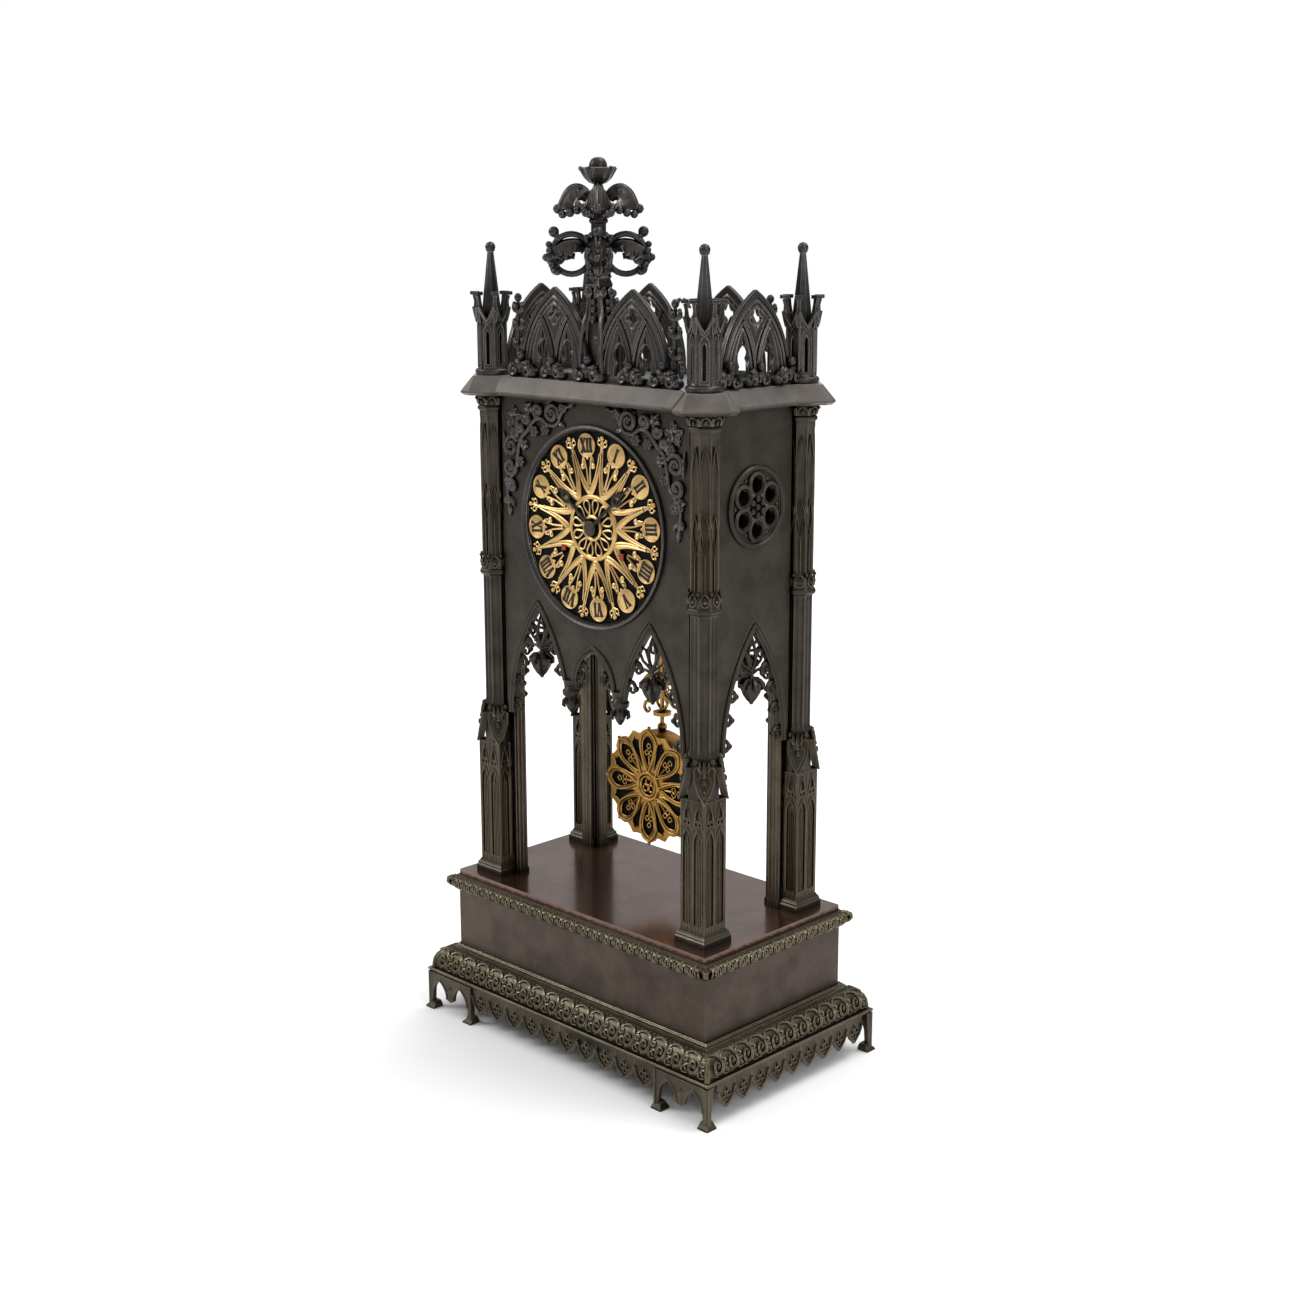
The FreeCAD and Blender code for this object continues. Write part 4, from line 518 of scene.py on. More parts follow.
# %% The row tree
row_tree, entry, leave = tree_with("row_of", [
    ("Piece", "Object"), ("Count", "Int"), ("Start", "Vector"), ("Step", "Vector"), ("Turn", "Float"),
    ("Material", "Material")])
line = node(row_tree, "GeometryNodeMeshLine", -400, 120, mode="OFFSET")
info = node(row_tree, "GeometryNodeObjectInfo", -400, -160)
spin = node(row_tree, "ShaderNodeCombineXYZ", -400, -340)
copies = node(row_tree, "GeometryNodeInstanceOnPoints", -120, 60)
solid = node(row_tree, "GeometryNodeRealizeInstances", 120, 60)
paint = node(row_tree, "GeometryNodeSetMaterial", 380, 60)
join(row_tree, (entry, "Count", line, "Count"), (entry, "Start", line, "Start Location"),
     (entry, "Step", line, "Offset"), (entry, "Piece", info, "Object"), (entry, "Turn", spin, "Z"),
     (line, "Mesh", copies, "Points"), (info, "Geometry", copies, "Instance"),
     (spin, "Vector", copies, "Rotation"), (copies, "Instances", solid, "Geometry"),
     (solid, "Geometry", paint, "Geometry"), (entry, "Material", paint, "Material"),
     (paint, "Geometry", leave, "Geometry"))
print("row tree:", len(row_tree.nodes), "nodes")


# %% Run a tree and keep its plain mesh
def repeat(cast, tree, material, **inputs):
    """Repeats a casting through a tree and returns (points in millimetres, faces)."""
    seed = bpy.data.objects.new("seed", mesh_of(cast, "seed", material))
    holder = bpy.data.objects.new("holder", bpy.data.meshes.new("holder"))
    for made in (seed, holder):
        bpy.context.scene.collection.objects.link(made)
    modifier = holder.modifiers.new("repeat", "NODES")
    modifier.node_group = tree
    sockets = {item.name: item.identifier for item in tree.interface.items_tree
               if item.item_type == "SOCKET" and item.in_out == "INPUT"}
    modifier[sockets["Piece"]] = seed
    modifier[sockets["Material"]] = material
    for label, value in inputs.items():
        modifier[sockets[label.capitalize()]] = value
    depsgraph = bpy.context.evaluated_depsgraph_get()
    result = bpy.data.meshes.new_from_object(holder.evaluated_get(depsgraph))
    points = [tuple(value * 1000 for value in vertex.co) for vertex in result.vertices]
    faces = [tuple(face.vertices) for face in result.polygons]
    for made in (holder, seed):
        bpy.data.objects.remove(made)
    return points, faces


def row(cast, material, count, start, step, turn=0):
    """A row of castings, with start and step in millimetres and the turn in degrees about Z."""
    return repeat(cast, row_tree, material, count=count, start=[v * MM for v in start],
                  step=[v * MM for v in step], turn=radians(turn))


# %% [markdown]
# ## The bronze skin
#
# Old patinated bronze is never one colour: its brown skin is cloudy. On top of that, the hollows are
# darkened with painted shade. The raised edges are lightened with a painted highlight, which also stands
# for metal rubbed back to gold by a century of dusting. One shader group makes all three masks: noise for
# the clouds, the Bevel node to find the edges for the painted highlight, and Ambient Occlusion to find the
# hollows for the painted shade. Every bronze of the clock uses the same group with its own colours.


# %% The patina group
def group_with(name, inputs, outputs):
    group = bpy.data.node_groups.new(name, "ShaderNodeTree")
    for label, kind in inputs:
        group.interface.new_socket(label, in_out="INPUT", socket_type="NodeSocket" + kind)
    for label, kind in outputs:
        group.interface.new_socket(label, in_out="OUTPUT", socket_type="NodeSocket" + kind)
    first = node(group, "NodeGroupInput", -1200, 0)
    last = node(group, "NodeGroupOutput", 900, 0)
    return group, first, last


patina, first, last = group_with(
    "Patina",
    [("Skin", "Color"), ("Cloud", "Color"), ("Wear And Highlight", "Color"), ("Hollow", "Color"),
     ("Edge Width", "Float"), ("Edge Highlight Amount", "Float"), ("Hollow Amount", "Float"),
     ("Roughness", "Float"), ("Grain Scale", "Float")],
    [("Color", "Color"), ("Roughness", "Float"), ("Height", "Float")])
print("patina group:", len(patina.interface.items_tree), "sockets")

# %% Its clouds, its painted edge highlights and its painted hollow shade
coords = node(patina, "ShaderNodeTexCoord", -1200, 400)
clouds = node(patina, "ShaderNodeTexNoise", -900, 500, {"Detail": 5, "Roughness": 0.62})
fine = node(patina, "ShaderNodeTexNoise", -900, 200, {"Scale": 900, "Detail": 4})
cloud_mask = node(patina, "ShaderNodeMapRange", -680, 500, {"From Min": 0.40, "From Max": 0.68})
skin_mix = node(patina, "ShaderNodeMix", -420, 360, data_type="RGBA")
# The Bevel node finds the raised edges, and the edge mask paints a highlight on them that also stands for
# rubbed metal.
bevel = node(patina, "ShaderNodeBevel", -900, -120, samples=6)
plain = node(patina, "ShaderNodeNewGeometry", -900, -320)
facing = node(patina, "ShaderNodeVectorMath", -700, -200, operation="DOT_PRODUCT")
edge = node(patina, "ShaderNodeMapRange", -500, -160, {"From Min": 0.995, "From Max": 0.90})
edge_noise = node(patina, "ShaderNodeMath", -320, -60, operation="MULTIPLY")
edge_highlight_gain = node(patina, "ShaderNodeMath", -140, -60, operation="MULTIPLY")
edge_highlight_mix = node(patina, "ShaderNodeMix", 80, 240, data_type="RGBA")
# Ambient Occlusion finds the hollows, and the hollow mask paints shade into them.
hollow = node(patina, "ShaderNodeAmbientOcclusion", -500, -460, {"Distance": 0.006}, samples=6)
hollow_shade_mask = node(patina, "ShaderNodeMapRange", -300, -460, {"From Min": 0.85, "From Max": 0.25})
hollow_shade_gain = node(patina, "ShaderNodeMath", -120, -420, operation="MULTIPLY")
hollow_shade_mix = node(patina, "ShaderNodeMix", 320, 120, data_type="RGBA")
rough_a = node(patina, "ShaderNodeMath", 320, -240, {1: 0.22}, operation="MULTIPLY_ADD")
rough_b = node(patina, "ShaderNodeMath", 520, -240, {1: -0.10}, operation="MULTIPLY_ADD")
height = node(patina, "ShaderNodeMath", 520, -420, {1: 0.5}, operation="MULTIPLY_ADD")

# %% Wire the group
join(patina, (coords, "Object", clouds, "Vector"), (coords, "Object", fine, "Vector"),
     (first, "Grain Scale", clouds, "Scale"), (clouds, "Fac", cloud_mask, "Value"),
     (cloud_mask, "Result", skin_mix, "Factor"), (first, "Skin", skin_mix, 6),
     (first, "Cloud", skin_mix, 7), (first, "Edge Width", bevel, "Radius"), (bevel, "Normal", facing, 0),
     (plain, "Normal", facing, 1))
join(patina, (facing, "Value", edge, "Value"), (edge, "Result", edge_noise, 0),
     (fine, "Fac", edge_noise, 1), (edge_noise, "Value", edge_highlight_gain, 0),
     (first, "Edge Highlight Amount", edge_highlight_gain, 1), (edge_highlight_gain, "Value", edge_highlight_mix, "Factor"),
     (skin_mix, 2, edge_highlight_mix, 6), (first, "Wear And Highlight", edge_highlight_mix, 7), (hollow, "AO", hollow_shade_mask, "Value"),
     (hollow_shade_mask, "Result", hollow_shade_gain, 0))
join(patina, (first, "Hollow Amount", hollow_shade_gain, 1), (hollow_shade_gain, "Value", hollow_shade_mix, "Factor"),
     (edge_highlight_mix, 2, hollow_shade_mix, 6), (first, "Hollow", hollow_shade_mix, 7), (hollow_shade_mix, 2, last, "Color"),
     (clouds, "Fac", rough_a, 0), (first, "Roughness", rough_a, 2), (edge_noise, "Value", rough_b, 0),
     (rough_a, "Value", rough_b, 2), (rough_b, "Value", last, "Roughness"))
join(patina, (clouds, "Fac", height, 0), (fine, "Fac", height, 2), (height, "Value", last, "Height"))
print("patina group:", len(patina.nodes), "nodes")

# %% [markdown]
# ## One material for each finish
#
# The same metal is left dark on the top and waxed to a satin on the flat panels. On the mouldings it gets
# the strongest painted edge highlights, which also stand for metal rubbed bright by hands. The sockets that
# stay constant are set on the shader itself, and only what varies over the surface is wired in.


# %% Build the bronzes
def colour(red, green, blue):
    """A linear colour from the 0-255 values that a picture shows."""
    return tuple(((v / 255 + 0.055) / 1.055) ** 2.4 if v > 10 else v / 255 / 12.92
                 for v in (red, green, blue)) + (1,)


def bronze(name, skin, cloud, wear_and_highlight, hollow_shade_colour, edge_highlight_amount, hollow_shade_amount, roughness,
           metallic=0.85, edge_width=0.0006, grain=60, bump=0.15, coat=0, gloss=0.5):
    material = bpy.data.materials.new(name)
    material.use_nodes = True
    tree = material.node_tree
    shader = tree.nodes["Principled BSDF"]
    fill(shader, {"Metallic": metallic, "Coat Weight": coat, "Coat Roughness": 0.12,
                  "Specular IOR Level": gloss})
    surface = node(tree, "ShaderNodeGroup", -400, 200, node_tree=patina)
    fill(surface, {"Skin": colour(*skin), "Cloud": colour(*cloud), "Wear And Highlight": colour(*wear_and_highlight),
                   "Hollow": colour(*hollow_shade_colour), "Edge Width": edge_width, "Edge Highlight Amount": edge_highlight_amount,
                   "Hollow Amount": hollow_shade_amount, "Roughness": roughness, "Grain Scale": grain})
    relief = node(tree, "ShaderNodeBump", -200, -200, {"Strength": bump, "Distance": 0.0004})
    join(tree, (surface, "Color", shader, "Base Color"), (surface, "Roughness", shader, "Roughness"),
         (surface, "Height", relief, "Height"), (relief, "Normal", shader, "Normal"))
    return material


# Each bronze lists its skin and cloud, then a painted edge highlight that also stands for wear, then the
# painted shade of its hollows, and then the strengths of that highlight and that shade.
HOLLOW_SHADE = (17, 15, 14)
dark_bronze = bronze("dark_bronze", (68, 65, 64), (50, 48, 47), (164, 159, 150), HOLLOW_SHADE, 1.1, 1.4, 0.27)
# The slab's skin is lighter than the other bronzes as a painted sheen of its polished chamfers.
slab_bronze = bronze("slab_bronze", (104, 99, 94), (84, 79, 75), (164, 159, 152), HOLLOW_SHADE, 0.7, 0.6, 0.20)
panel_bronze = bronze("panel_bronze", (60, 55, 49), (48, 44, 39), (104, 94, 78), HOLLOW_SHADE, 0.7, 0.9, 0.30)
column_bronze = bronze("column_bronze", (63, 58, 51), (47, 43, 38), (142, 128, 102), HOLLOW_SHADE, 1.1, 1.4, 0.28)
leaf_bronze = bronze("leaf_bronze", (76, 70, 57), (55, 50, 41), (196, 182, 148), HOLLOW_SHADE, 1.3, 1.35, 0.27)
base_bronze = bronze("base_bronze", (78, 71, 60), (58, 53, 45), (152, 139, 114), HOLLOW_SHADE, 1, 1.1, 0.30)
red_bronze = bronze("red_bronze", (78, 67, 60), (62, 52, 46), (112, 96, 84), HOLLOW_SHADE, 0.5, 0.5, 0.28)
table_bronze = bronze("table_bronze", (104, 74, 62), (82, 56, 46), (136, 108, 94), HOLLOW_SHADE, 0.5, 0.3, 0.12,
                      coat=0.6)
dial_gilt = bronze("dial_gilt", (207, 171, 110), (184, 148, 92), (240, 216, 166), (64, 42, 20), 0.9, 1.1,
                   0.28, metallic=0.95, grain=140)
bob_gilt = bronze("bob_gilt", (170, 127, 60), (136, 99, 44), (226, 190, 120), (26, 17, 8), 0.9, 1.5, 0.26,
                  metallic=0.95, grain=120)
brass = bronze("movement_brass", (206, 172, 96), (188, 152, 80), (226, 198, 128), (88, 66, 30), 0.6, 0.5,
               0.24, metallic=1, grain=90)
steel = bronze("blued_steel", (34, 33, 38), (26, 26, 30), (88, 86, 88), (8, 8, 8), 0.5, 0.3, 0.24,
               metallic=0.9, grain=120)
hand_black = bronze("hand_black", (15, 14, 15), (11, 10, 11), (40, 38, 38), (5, 5, 5), 0.4, 0.3, 0.36,
                    metallic=0.4, grain=120)
bell_metal = bronze("bell_metal", (150, 128, 92), (128, 106, 76), (186, 164, 122), (60, 48, 32), 0.5, 0.5,
                    0.30, metallic=1, grain=50)
rust = bronze("red_arbor", (150, 62, 32), (112, 44, 24), (190, 110, 66), (44, 20, 12), 0.6, 0.6, 0.40,
              metallic=0.6, grain=160)
boss_brown = bronze("boss_brown", (70, 56, 48), (44, 35, 31), (112, 94, 80), (18, 14, 12), 0.7, 0.8, 0.42,
                    metallic=0.6, grain=700, bump=0.6)
enamel = bronze("black_backing", (11, 10, 10), (15, 14, 13), (26, 24, 22), (5, 5, 5), 0.4, 0.4, 0.5,
                metallic=0, grain=80, gloss=0.08)

# The upper face of the slab gets a painted reflection: where the surface faces up, its colour turns light
# grey, standing in for the white studio mirrored in the polished top.
tree = slab_bronze.node_tree
shader = tree.nodes["Principled BSDF"]
lie = node(tree, "ShaderNodeNewGeometry", -900, 600)
axes = node(tree, "ShaderNodeSeparateXYZ", -700, 600)
level = node(tree, "ShaderNodeMapRange", -500, 600, {"From Min": 0.90, "From Max": 0.99})
top_reflection_paint = node(tree, "ShaderNodeMix", -160, 420, {7: colour(226, 226, 228)}, data_type="RGBA")
join(tree, (lie, "Normal", axes, "Vector"), (axes, "Z", level, "Value"),
     (level, "Result", top_reflection_paint, "Factor"), (tree.nodes["Group"], "Color", top_reflection_paint, 6),
     (top_reflection_paint, 2, shader, "Base Color"))
print("materials:", len(bpy.data.materials))


# %% [markdown]
# ## Feet and pierced skirt
#
# Each bracket foot is a small pierced screen: two pointed arches with raised ribs, a leafy drop
# between them, and flared pads under its two legs. Between the feet hangs a skirt of lobes, each with
# a double edge, four round lights and a ball at its tip. The lobes are all alike, so one is made
# and set in rows. The openings are really cut, because light passes under the clock.


# %% Foot brackets
def foot(name):
    """Two-arched bracket with ribs, drop and flared pads at one corner of the base."""
    sx, sy = CORNERS[name]
    mirror = -sx * sy
    front = on_face(0 if sy < 0 else 180)
    outer, inner, edge, top = 120.2, 78.9, 72.9, 24.2
    centre = (outer + inner) / 2
    cast = Casting()

    def at(x, z, out):
        return front(mirror * x, z, edge - 1.5 + out)

    at.out = front.out
    spans = [pointed((mid, 9.6), 7, 10.6, 7)
             for mid in ((outer + centre) / 2 - 0.6, (inner + centre) / 2 + 0.6)]
    shape = [(outer, 2.4), (outer, top), (inner, top), (inner, 2.4), (inner + 3.4, 2.4)]
    shape += spans[1][::-1]
    shape += [(centre - 1.9, 8.9), (centre, 8.5), (centre + 1.9, 8.9)]
    shape += spans[0][::-1] + [(outer - 3.4, 2.4)]
    cast.plate(at, shape, [], -1.4, 1.3)
    for span in spans:
        cast.flat_wire(at, span, 1.2, 0.8)
    for x in (inner + 1, outer - 1):
        cast.flat_wire(at, [(x, 3), (x, top - 0.8)], 1.3, 0.7)
    for side in (-1, 1):
        cast.leaf(at, (centre, 16.5), (centre + side * 3.2, 10.6), 3.4, 1.6, 3, 0.6)
    cast.leaf(at, (centre, 17), (centre, 8.6), 3.6, 2, 3, 0.4)
    cast.ball(at(centre, 8.9, 0.2), 1.1, rings=6, sides=10)
    cast.ball(at(centre, 17.6, 1.2), 1.3, rings=6, sides=10)

    side_face = on_face(90 * sx)

    def beside(y, z, out):
        return side_face(sx * sy * y, z, outer - 1.5 + out)

    beside.out = side_face.out
    strip = [(edge, 2.4), (edge, top), (edge - 5.2, top), (edge - 3.8, 9), (edge - 3.4, 2.4)]
    cast.plate(beside, strip, [], -1.6, 1.3)
    cast.flat_wire(beside, [(edge - 0.9, 3), (edge - 0.9, top - 0.8)], 1.2, 0.7)
    for x, limit in ((117.2, outer), (81.4, 84)):
        rings = []
        for reach, z in ((4.4, 0), (4.4, 0.7), (4, 1.3), (2.9, 2.6), (2.2, 4.4)):
            far_x, near_x = x + reach, x - min(reach, 3.1)
            far_y, near_y = 69.9 + reach, 69.9 - min(reach, 3.1)
            if z > 2:
                far_x, far_y = min(far_x, limit), min(far_y, edge)
            rings.append([(sx * a, sy * b, z) for a, b in
                          ((near_x, near_y), (far_x, near_y), (far_x, far_y), (near_x, far_y))])
        cast.stack(rings)
    return cast


for corner in CORNERS:
    stand_in(foot(corner), "bracket_" + corner, base_bronze, "foot_" + corner)


# %% The hanging skirt
def lobe(pitch):
    """One lobe of the skirt about its own axis: plate with four round lights, rim and tip ball."""
    cast = Casting()
    face = on_face()
    half = pitch / 2
    edge = [(half, 24.3), (half, 19.6), (half - 0.9, 16.6), (half - 2.6, 13.6), (1.6, 10.9), (0, 9.6)]
    rim = edge[1:] + [(-x, z) for x, z in reversed(edge[1:-1])]
    outline = [(-half, 24.3)] + [(-x, z) for x, z in edge[1:-1]] + [(0, 9.6)]
    outline += edge[1:-1][::-1] + [(half, 24.3)]
    eyes = [((0, 19.4), 1.25), ((2.3, 16.6), 1.2), ((-2.3, 16.6), 1.2), ((0, 13.9), 1.05)]
    cast.plate(face, outline, [circle(centre, radius, 10) for centre, radius in eyes], 0, 1.3)
    cast.flat_wire(face, rim, 1.4, 0.85)
    cast.flat_wire(face, [(x * 0.97, z + 0.3) for x, z in rim], 2.1, 0.35, sides=4)
    for centre, radius in eyes:
        cast.flat_wire(face, circle(centre, radius + 0.35, 10), 1.4, 0.4, sides=5, closed=True)
    cast.ball(face(0, 9.9, 0.8), 1.25, rings=6, sides=10)
    cast.ball(face(half, 20.4, 1.2), 0.8, rings=4, sides=6)
    return cast


skirt = Casting()
span_x, span_y = 157.6, 127
for count, span, faces in ((10, span_x, ((0, 71.6 - 1.3), (180, 71.6 - 1.3))),
                           (9, span_y, ((90, 119.2 - 1.3), (270, 119.2 - 1.3)))):
    pitch = span / count
    for turned, reach in faces:
        view = on_face(turned)
        start = view(-span / 2 + pitch / 2, 0, reach)
        step = view.right * pitch
        skirt.add(*row(lobe(pitch), base_bronze, count, start, step, turned))
half_x, half_y, _ = box_mm("base_rail")[1]
rail_low, rail_high = 24.2, 26.8
skirt.ring_frame([(half_x - 12, half_y - 12, rail_high), (half_x - 12, half_y - 12, rail_low),
                  (half_x - 1.4, half_y - 1.4, rail_low), (half_x - 1, half_y - 1, rail_low + 0.7),
                  (half_x, half_y, rail_low + 1.1), (half_x, half_y, rail_high - 0.5),
                  (half_x - 0.6, half_y - 0.6, rail_high)])
stand_in(skirt, "rail_and_skirt", base_bronze, "base_rail")

# %% [markdown]
# ## Two cast mouldings
#
# The lower moulding is a swelling band covered with running C scrolls and small flowers. The upper one
# is a row of overlapping tongues, each with two raised bands and a vein. Both run round the four sides
# and meet at each corner under a plain rib. A bump texture would keep the outline smooth, yet these edges
# are seen against the light, so the scrolls and tongues are solid.

# %% The scroll moulding
scrolls = Casting()
body_line = [(13.9, 26.8), (0.9, 26.8), (0.9, 30), (1.3, 33), (2.4, 35.4), (4.4, 37.7), (7, 39.3),
             (9.3, 39.8), (9.6, 40.9), (11.4, 41.2), (12.2, 42.3), (13.9, 42.3)]
scrolls.ring_frame([(118.5 - inset, 71 - inset, z) for inset, z in body_line])


def curved_band(height_share):
    """Outward inset and height of the swelling band at a share of its run."""
    table = [(0, 0.95, 27.3), (0.25, 1, 30.4), (0.45, 1.4, 33), (0.62, 2.5, 35.4),
             (0.80, 4.4, 37.6), (1, 7, 39.2)]
    for (a, inset_a, z_a), (b, inset_b, z_b) in zip(table, table[1:]):
        if height_share <= b:
            share = (height_share - a) / (b - a)
            return inset_a + (inset_b - inset_a) * share, z_a + (z_b - z_a) * share
    return table[-1][1:]


def scroll_unit(pitch):
    """A C scroll with its mate below and a flower between, drawn on the swelling band."""
    cast = Casting()
    view = on_face()

    def band(across, up, out):
        share = min(1, max(0, up / 13.5))
        inset, z = curved_band(share)
        lean = share * share * 0.9
        return view(across, z + out * lean, -inset + out * (1 - 0.5 * lean))

    band.out = view.out
    half = pitch / 2
    big = smooth([(-half - 1.6, 11.2), (-half + 1.6, 12.8), (0.8, 11.6), (3.1, 7.6), (1.2, 3.2), (-2.4, 3),
                  (-3.6, 6.2), (-1.6, 8.6), (0.6, 7.2), (-0.2, 5.6)], 3)
    cast.flat_wire(band, big, 0.6, [0.55 + 0.6 * sin(pi * i / 27) for i in range(28)])
    cast.ball(band(-0.9, 6.2, 0.7), 1.35)
    low = smooth([(half + 1.4, 1.2), (half - 2.2, 1), (half - 3, 3.8), (half - 0.6, 4.8),
                  (half + 0.2, 3.2)], 3)
    cast.flat_wire(band, low, 0.5, [0.4 + 0.045 * i for i in range(13)])
    small = spiral((half - 0.9, 9), 2.1, 0.7, 100, 1.2, 12)
    cast.flat_wire(band, small, 0.5, 0.6)
    cast.ball(band(half - 0.9, 9, 0.6), 0.8, rings=4, sides=6)
    cast.leaf(band, (half - 2.6, 5.8), (half + 1.4, 6.6), 2.4, 1.1, 3, 0.2)
    cast.leaf(band, (-half + 2.6, 1.2), (-0.2, 1.4), 2, 0.9, 3, 0.2)
    for k in range(4):
        cast.ball(band((k - 1.5) * pitch / 4, 13.4, 0.3), 0.6, rings=4, sides=6)
    return cast


for turned, reach, span, count in ((0, 71, 237, 18), (180, 71, 237, 18),
                                   (90, 118.5, 142, 11), (270, 118.5, 142, 11)):
    pitch = (span - 9) / count
    view = on_face(turned)
    start = view(-span / 2 + 4.5 + pitch / 2, 0, reach)
    scrolls.add(*row(scroll_unit(pitch), leaf_bronze, count, start, view.right * pitch, turned))
for name, (sx, sy) in CORNERS.items():
    diagonal = Vector((sx, sy, 0)).normalized()
    path, widths = [], []
    for share in (0, 0.2, 0.4, 0.6, 0.8, 0.95, 1.05):
        inset, z = curved_band(min(1, share))
        corner = Vector((sx * (118.5 - inset), sy * (71 - inset), z))
        path.append(corner - diagonal * 0.4)
        widths.append(1.7 - 0.9 * share)
    scrolls.wire(path, widths, up=diagonal, sides=8)
stand_in(scrolls, "running_scrolls", leaf_bronze, "scroll_moulding")

# %% The leaf moulding
leaves = Casting()
leaves.ring_frame([(104.75, 58.25, 79.5), (105.4, 58.9, 79.5), (105.9, 59.4, 80.4), (106.8, 60.3, 82),
                   (108.6, 62.1, 84.2), (109.3, 62.8, 85.6), (109.3, 62.8, 86.6), (106.4, 59.9, 87.4),
                   (106, 59.5, 88.5), (104.75, 58.25, 88.5)])


def tongue(pitch):
    """One overlapping tongue that rolls outwards and down, with two raised U bands and a vein."""
    cast = Casting()
    view = on_face()
    ridge = [(0.3, 87.4), (2.4, 87.6), (4.2, 87), (5.3, 85.4), (4.9, 83.4), (3.6, 81.6), (2, 80.4)]
    rings = []
    half = pitch / 2
    for i, (out, z) in enumerate(ridge):
        share = i / (len(ridge) - 1)
        wide = half * (0.88 if share < 0.5 else 0.88 * sqrt(max(0.04, 1 - ((share - 0.5) / 0.52) ** 2)))
        inner = max(0, out - 1.6)
        rings.append([view(wide * across, z + drop, out if drop == 0 else inner) for across, drop in
                      ((-1, 0), (-0.4, 0), (0, 0), (0.4, 0), (1, 0), (0.7, -1.6), (-0.7, -1.6))])
    cast.stack(rings)
    for narrow, radius, lift in ((0.84, 0.85, 0.3), (0.38, 0.6, 0.5)):
        loop = []
        for i in range(15):
            angle = radians(-25 + 230 * i / 14)
            run = (1 - sin(angle)) / 2 if narrow > 0.5 else 0.18 + 0.6 * (1 - sin(angle)) / 2
            place = min(len(ridge) - 1.001, max(0, (1 - run) * 5.6 + 0.4))
            first, share = int(place), place - int(place)
            (out_a, z_a), (out_b, z_b) = ridge[first], ridge[first + 1]
            loop.append(view(half * narrow * cos(angle), z_a + (z_b - z_a) * share,
                             out_a + (out_b - out_a) * share + lift))
        cast.wire(loop, radius, up=view.out)
    cast.wire([view(0, 87.6, 3.2), view(0, 86, 5.3), view(0, 83.8, 5.4)], [0.5, 0.8, 0.5],
              up=view.out)
    return cast


for turned, reach, half in ((0, 58.2, 104.7), (180, 58.2, 104.7), (90, 104.7, 58.2), (270, 104.7, 58.2)):
    count = 22 if half > 100 else 12
    pitch = 2 * (half + 0.6) / count
    view = on_face(turned)
    start = view(-half - 0.6 + pitch / 2, 0, reach)
    leaves.add(*row(tongue(pitch), leaf_bronze, count, start, view.right * pitch, turned))
for name, (sx, sy) in CORNERS.items():
    diagonal = Vector((sx, sy, 0)).normalized()
    corner = Vector((sx * 104.7, sy * 58.2, 0))
    path = [corner + diagonal * out + Vector((0, 0, z)) for out, z in
            ((1, 87), (4.4, 87), (6.8, 85.8), (7, 84.2), (5.4, 82.4), (2.4, 80.8))]
    leaves.wire(path, [1, 1.4, 1.5, 1.4, 1.1, 0.7], up=diagonal, sides=8)
stand_in(leaves, "overlapping_tongues", leaf_bronze, "leaf_moulding")


# %% [markdown]
# ## Corner columns
#
# Each column stacks four parts: a square pier with two traceried flutes on each face, three
# shields on its corners, an eight-sided fluted shaft with a ring and a leafy crown, and an upper shaft
# covered with tall pointed tracery under a leaf capital. One column is modelled with its outer corner
# at front right of its own frame and then turned into each place.


# %% One column, about its own axis
def octagon_ring(half, height, groove=0, bead=0):
    """Points round an octagon whose faces may carry two grooves beside a middle bead."""
    ring = []
    width = half * tan(radians(22.5))
    for face in range(8):
        angle = radians(45 * face)
        out = Vector((cos(angle), sin(angle), 0))
        side = Vector((-sin(angle), cos(angle), 0))
        for share, depth in ((-1, 0), (-0.74, 0), (-0.62, groove), (-0.38, groove), (-0.26, bead),
                             (0.26, bead), (0.38, groove), (0.62, groove), (0.74, 0)):
            ring.append(out * (half - depth) + side * width * share + Vector((0, 0, height)))
    return ring


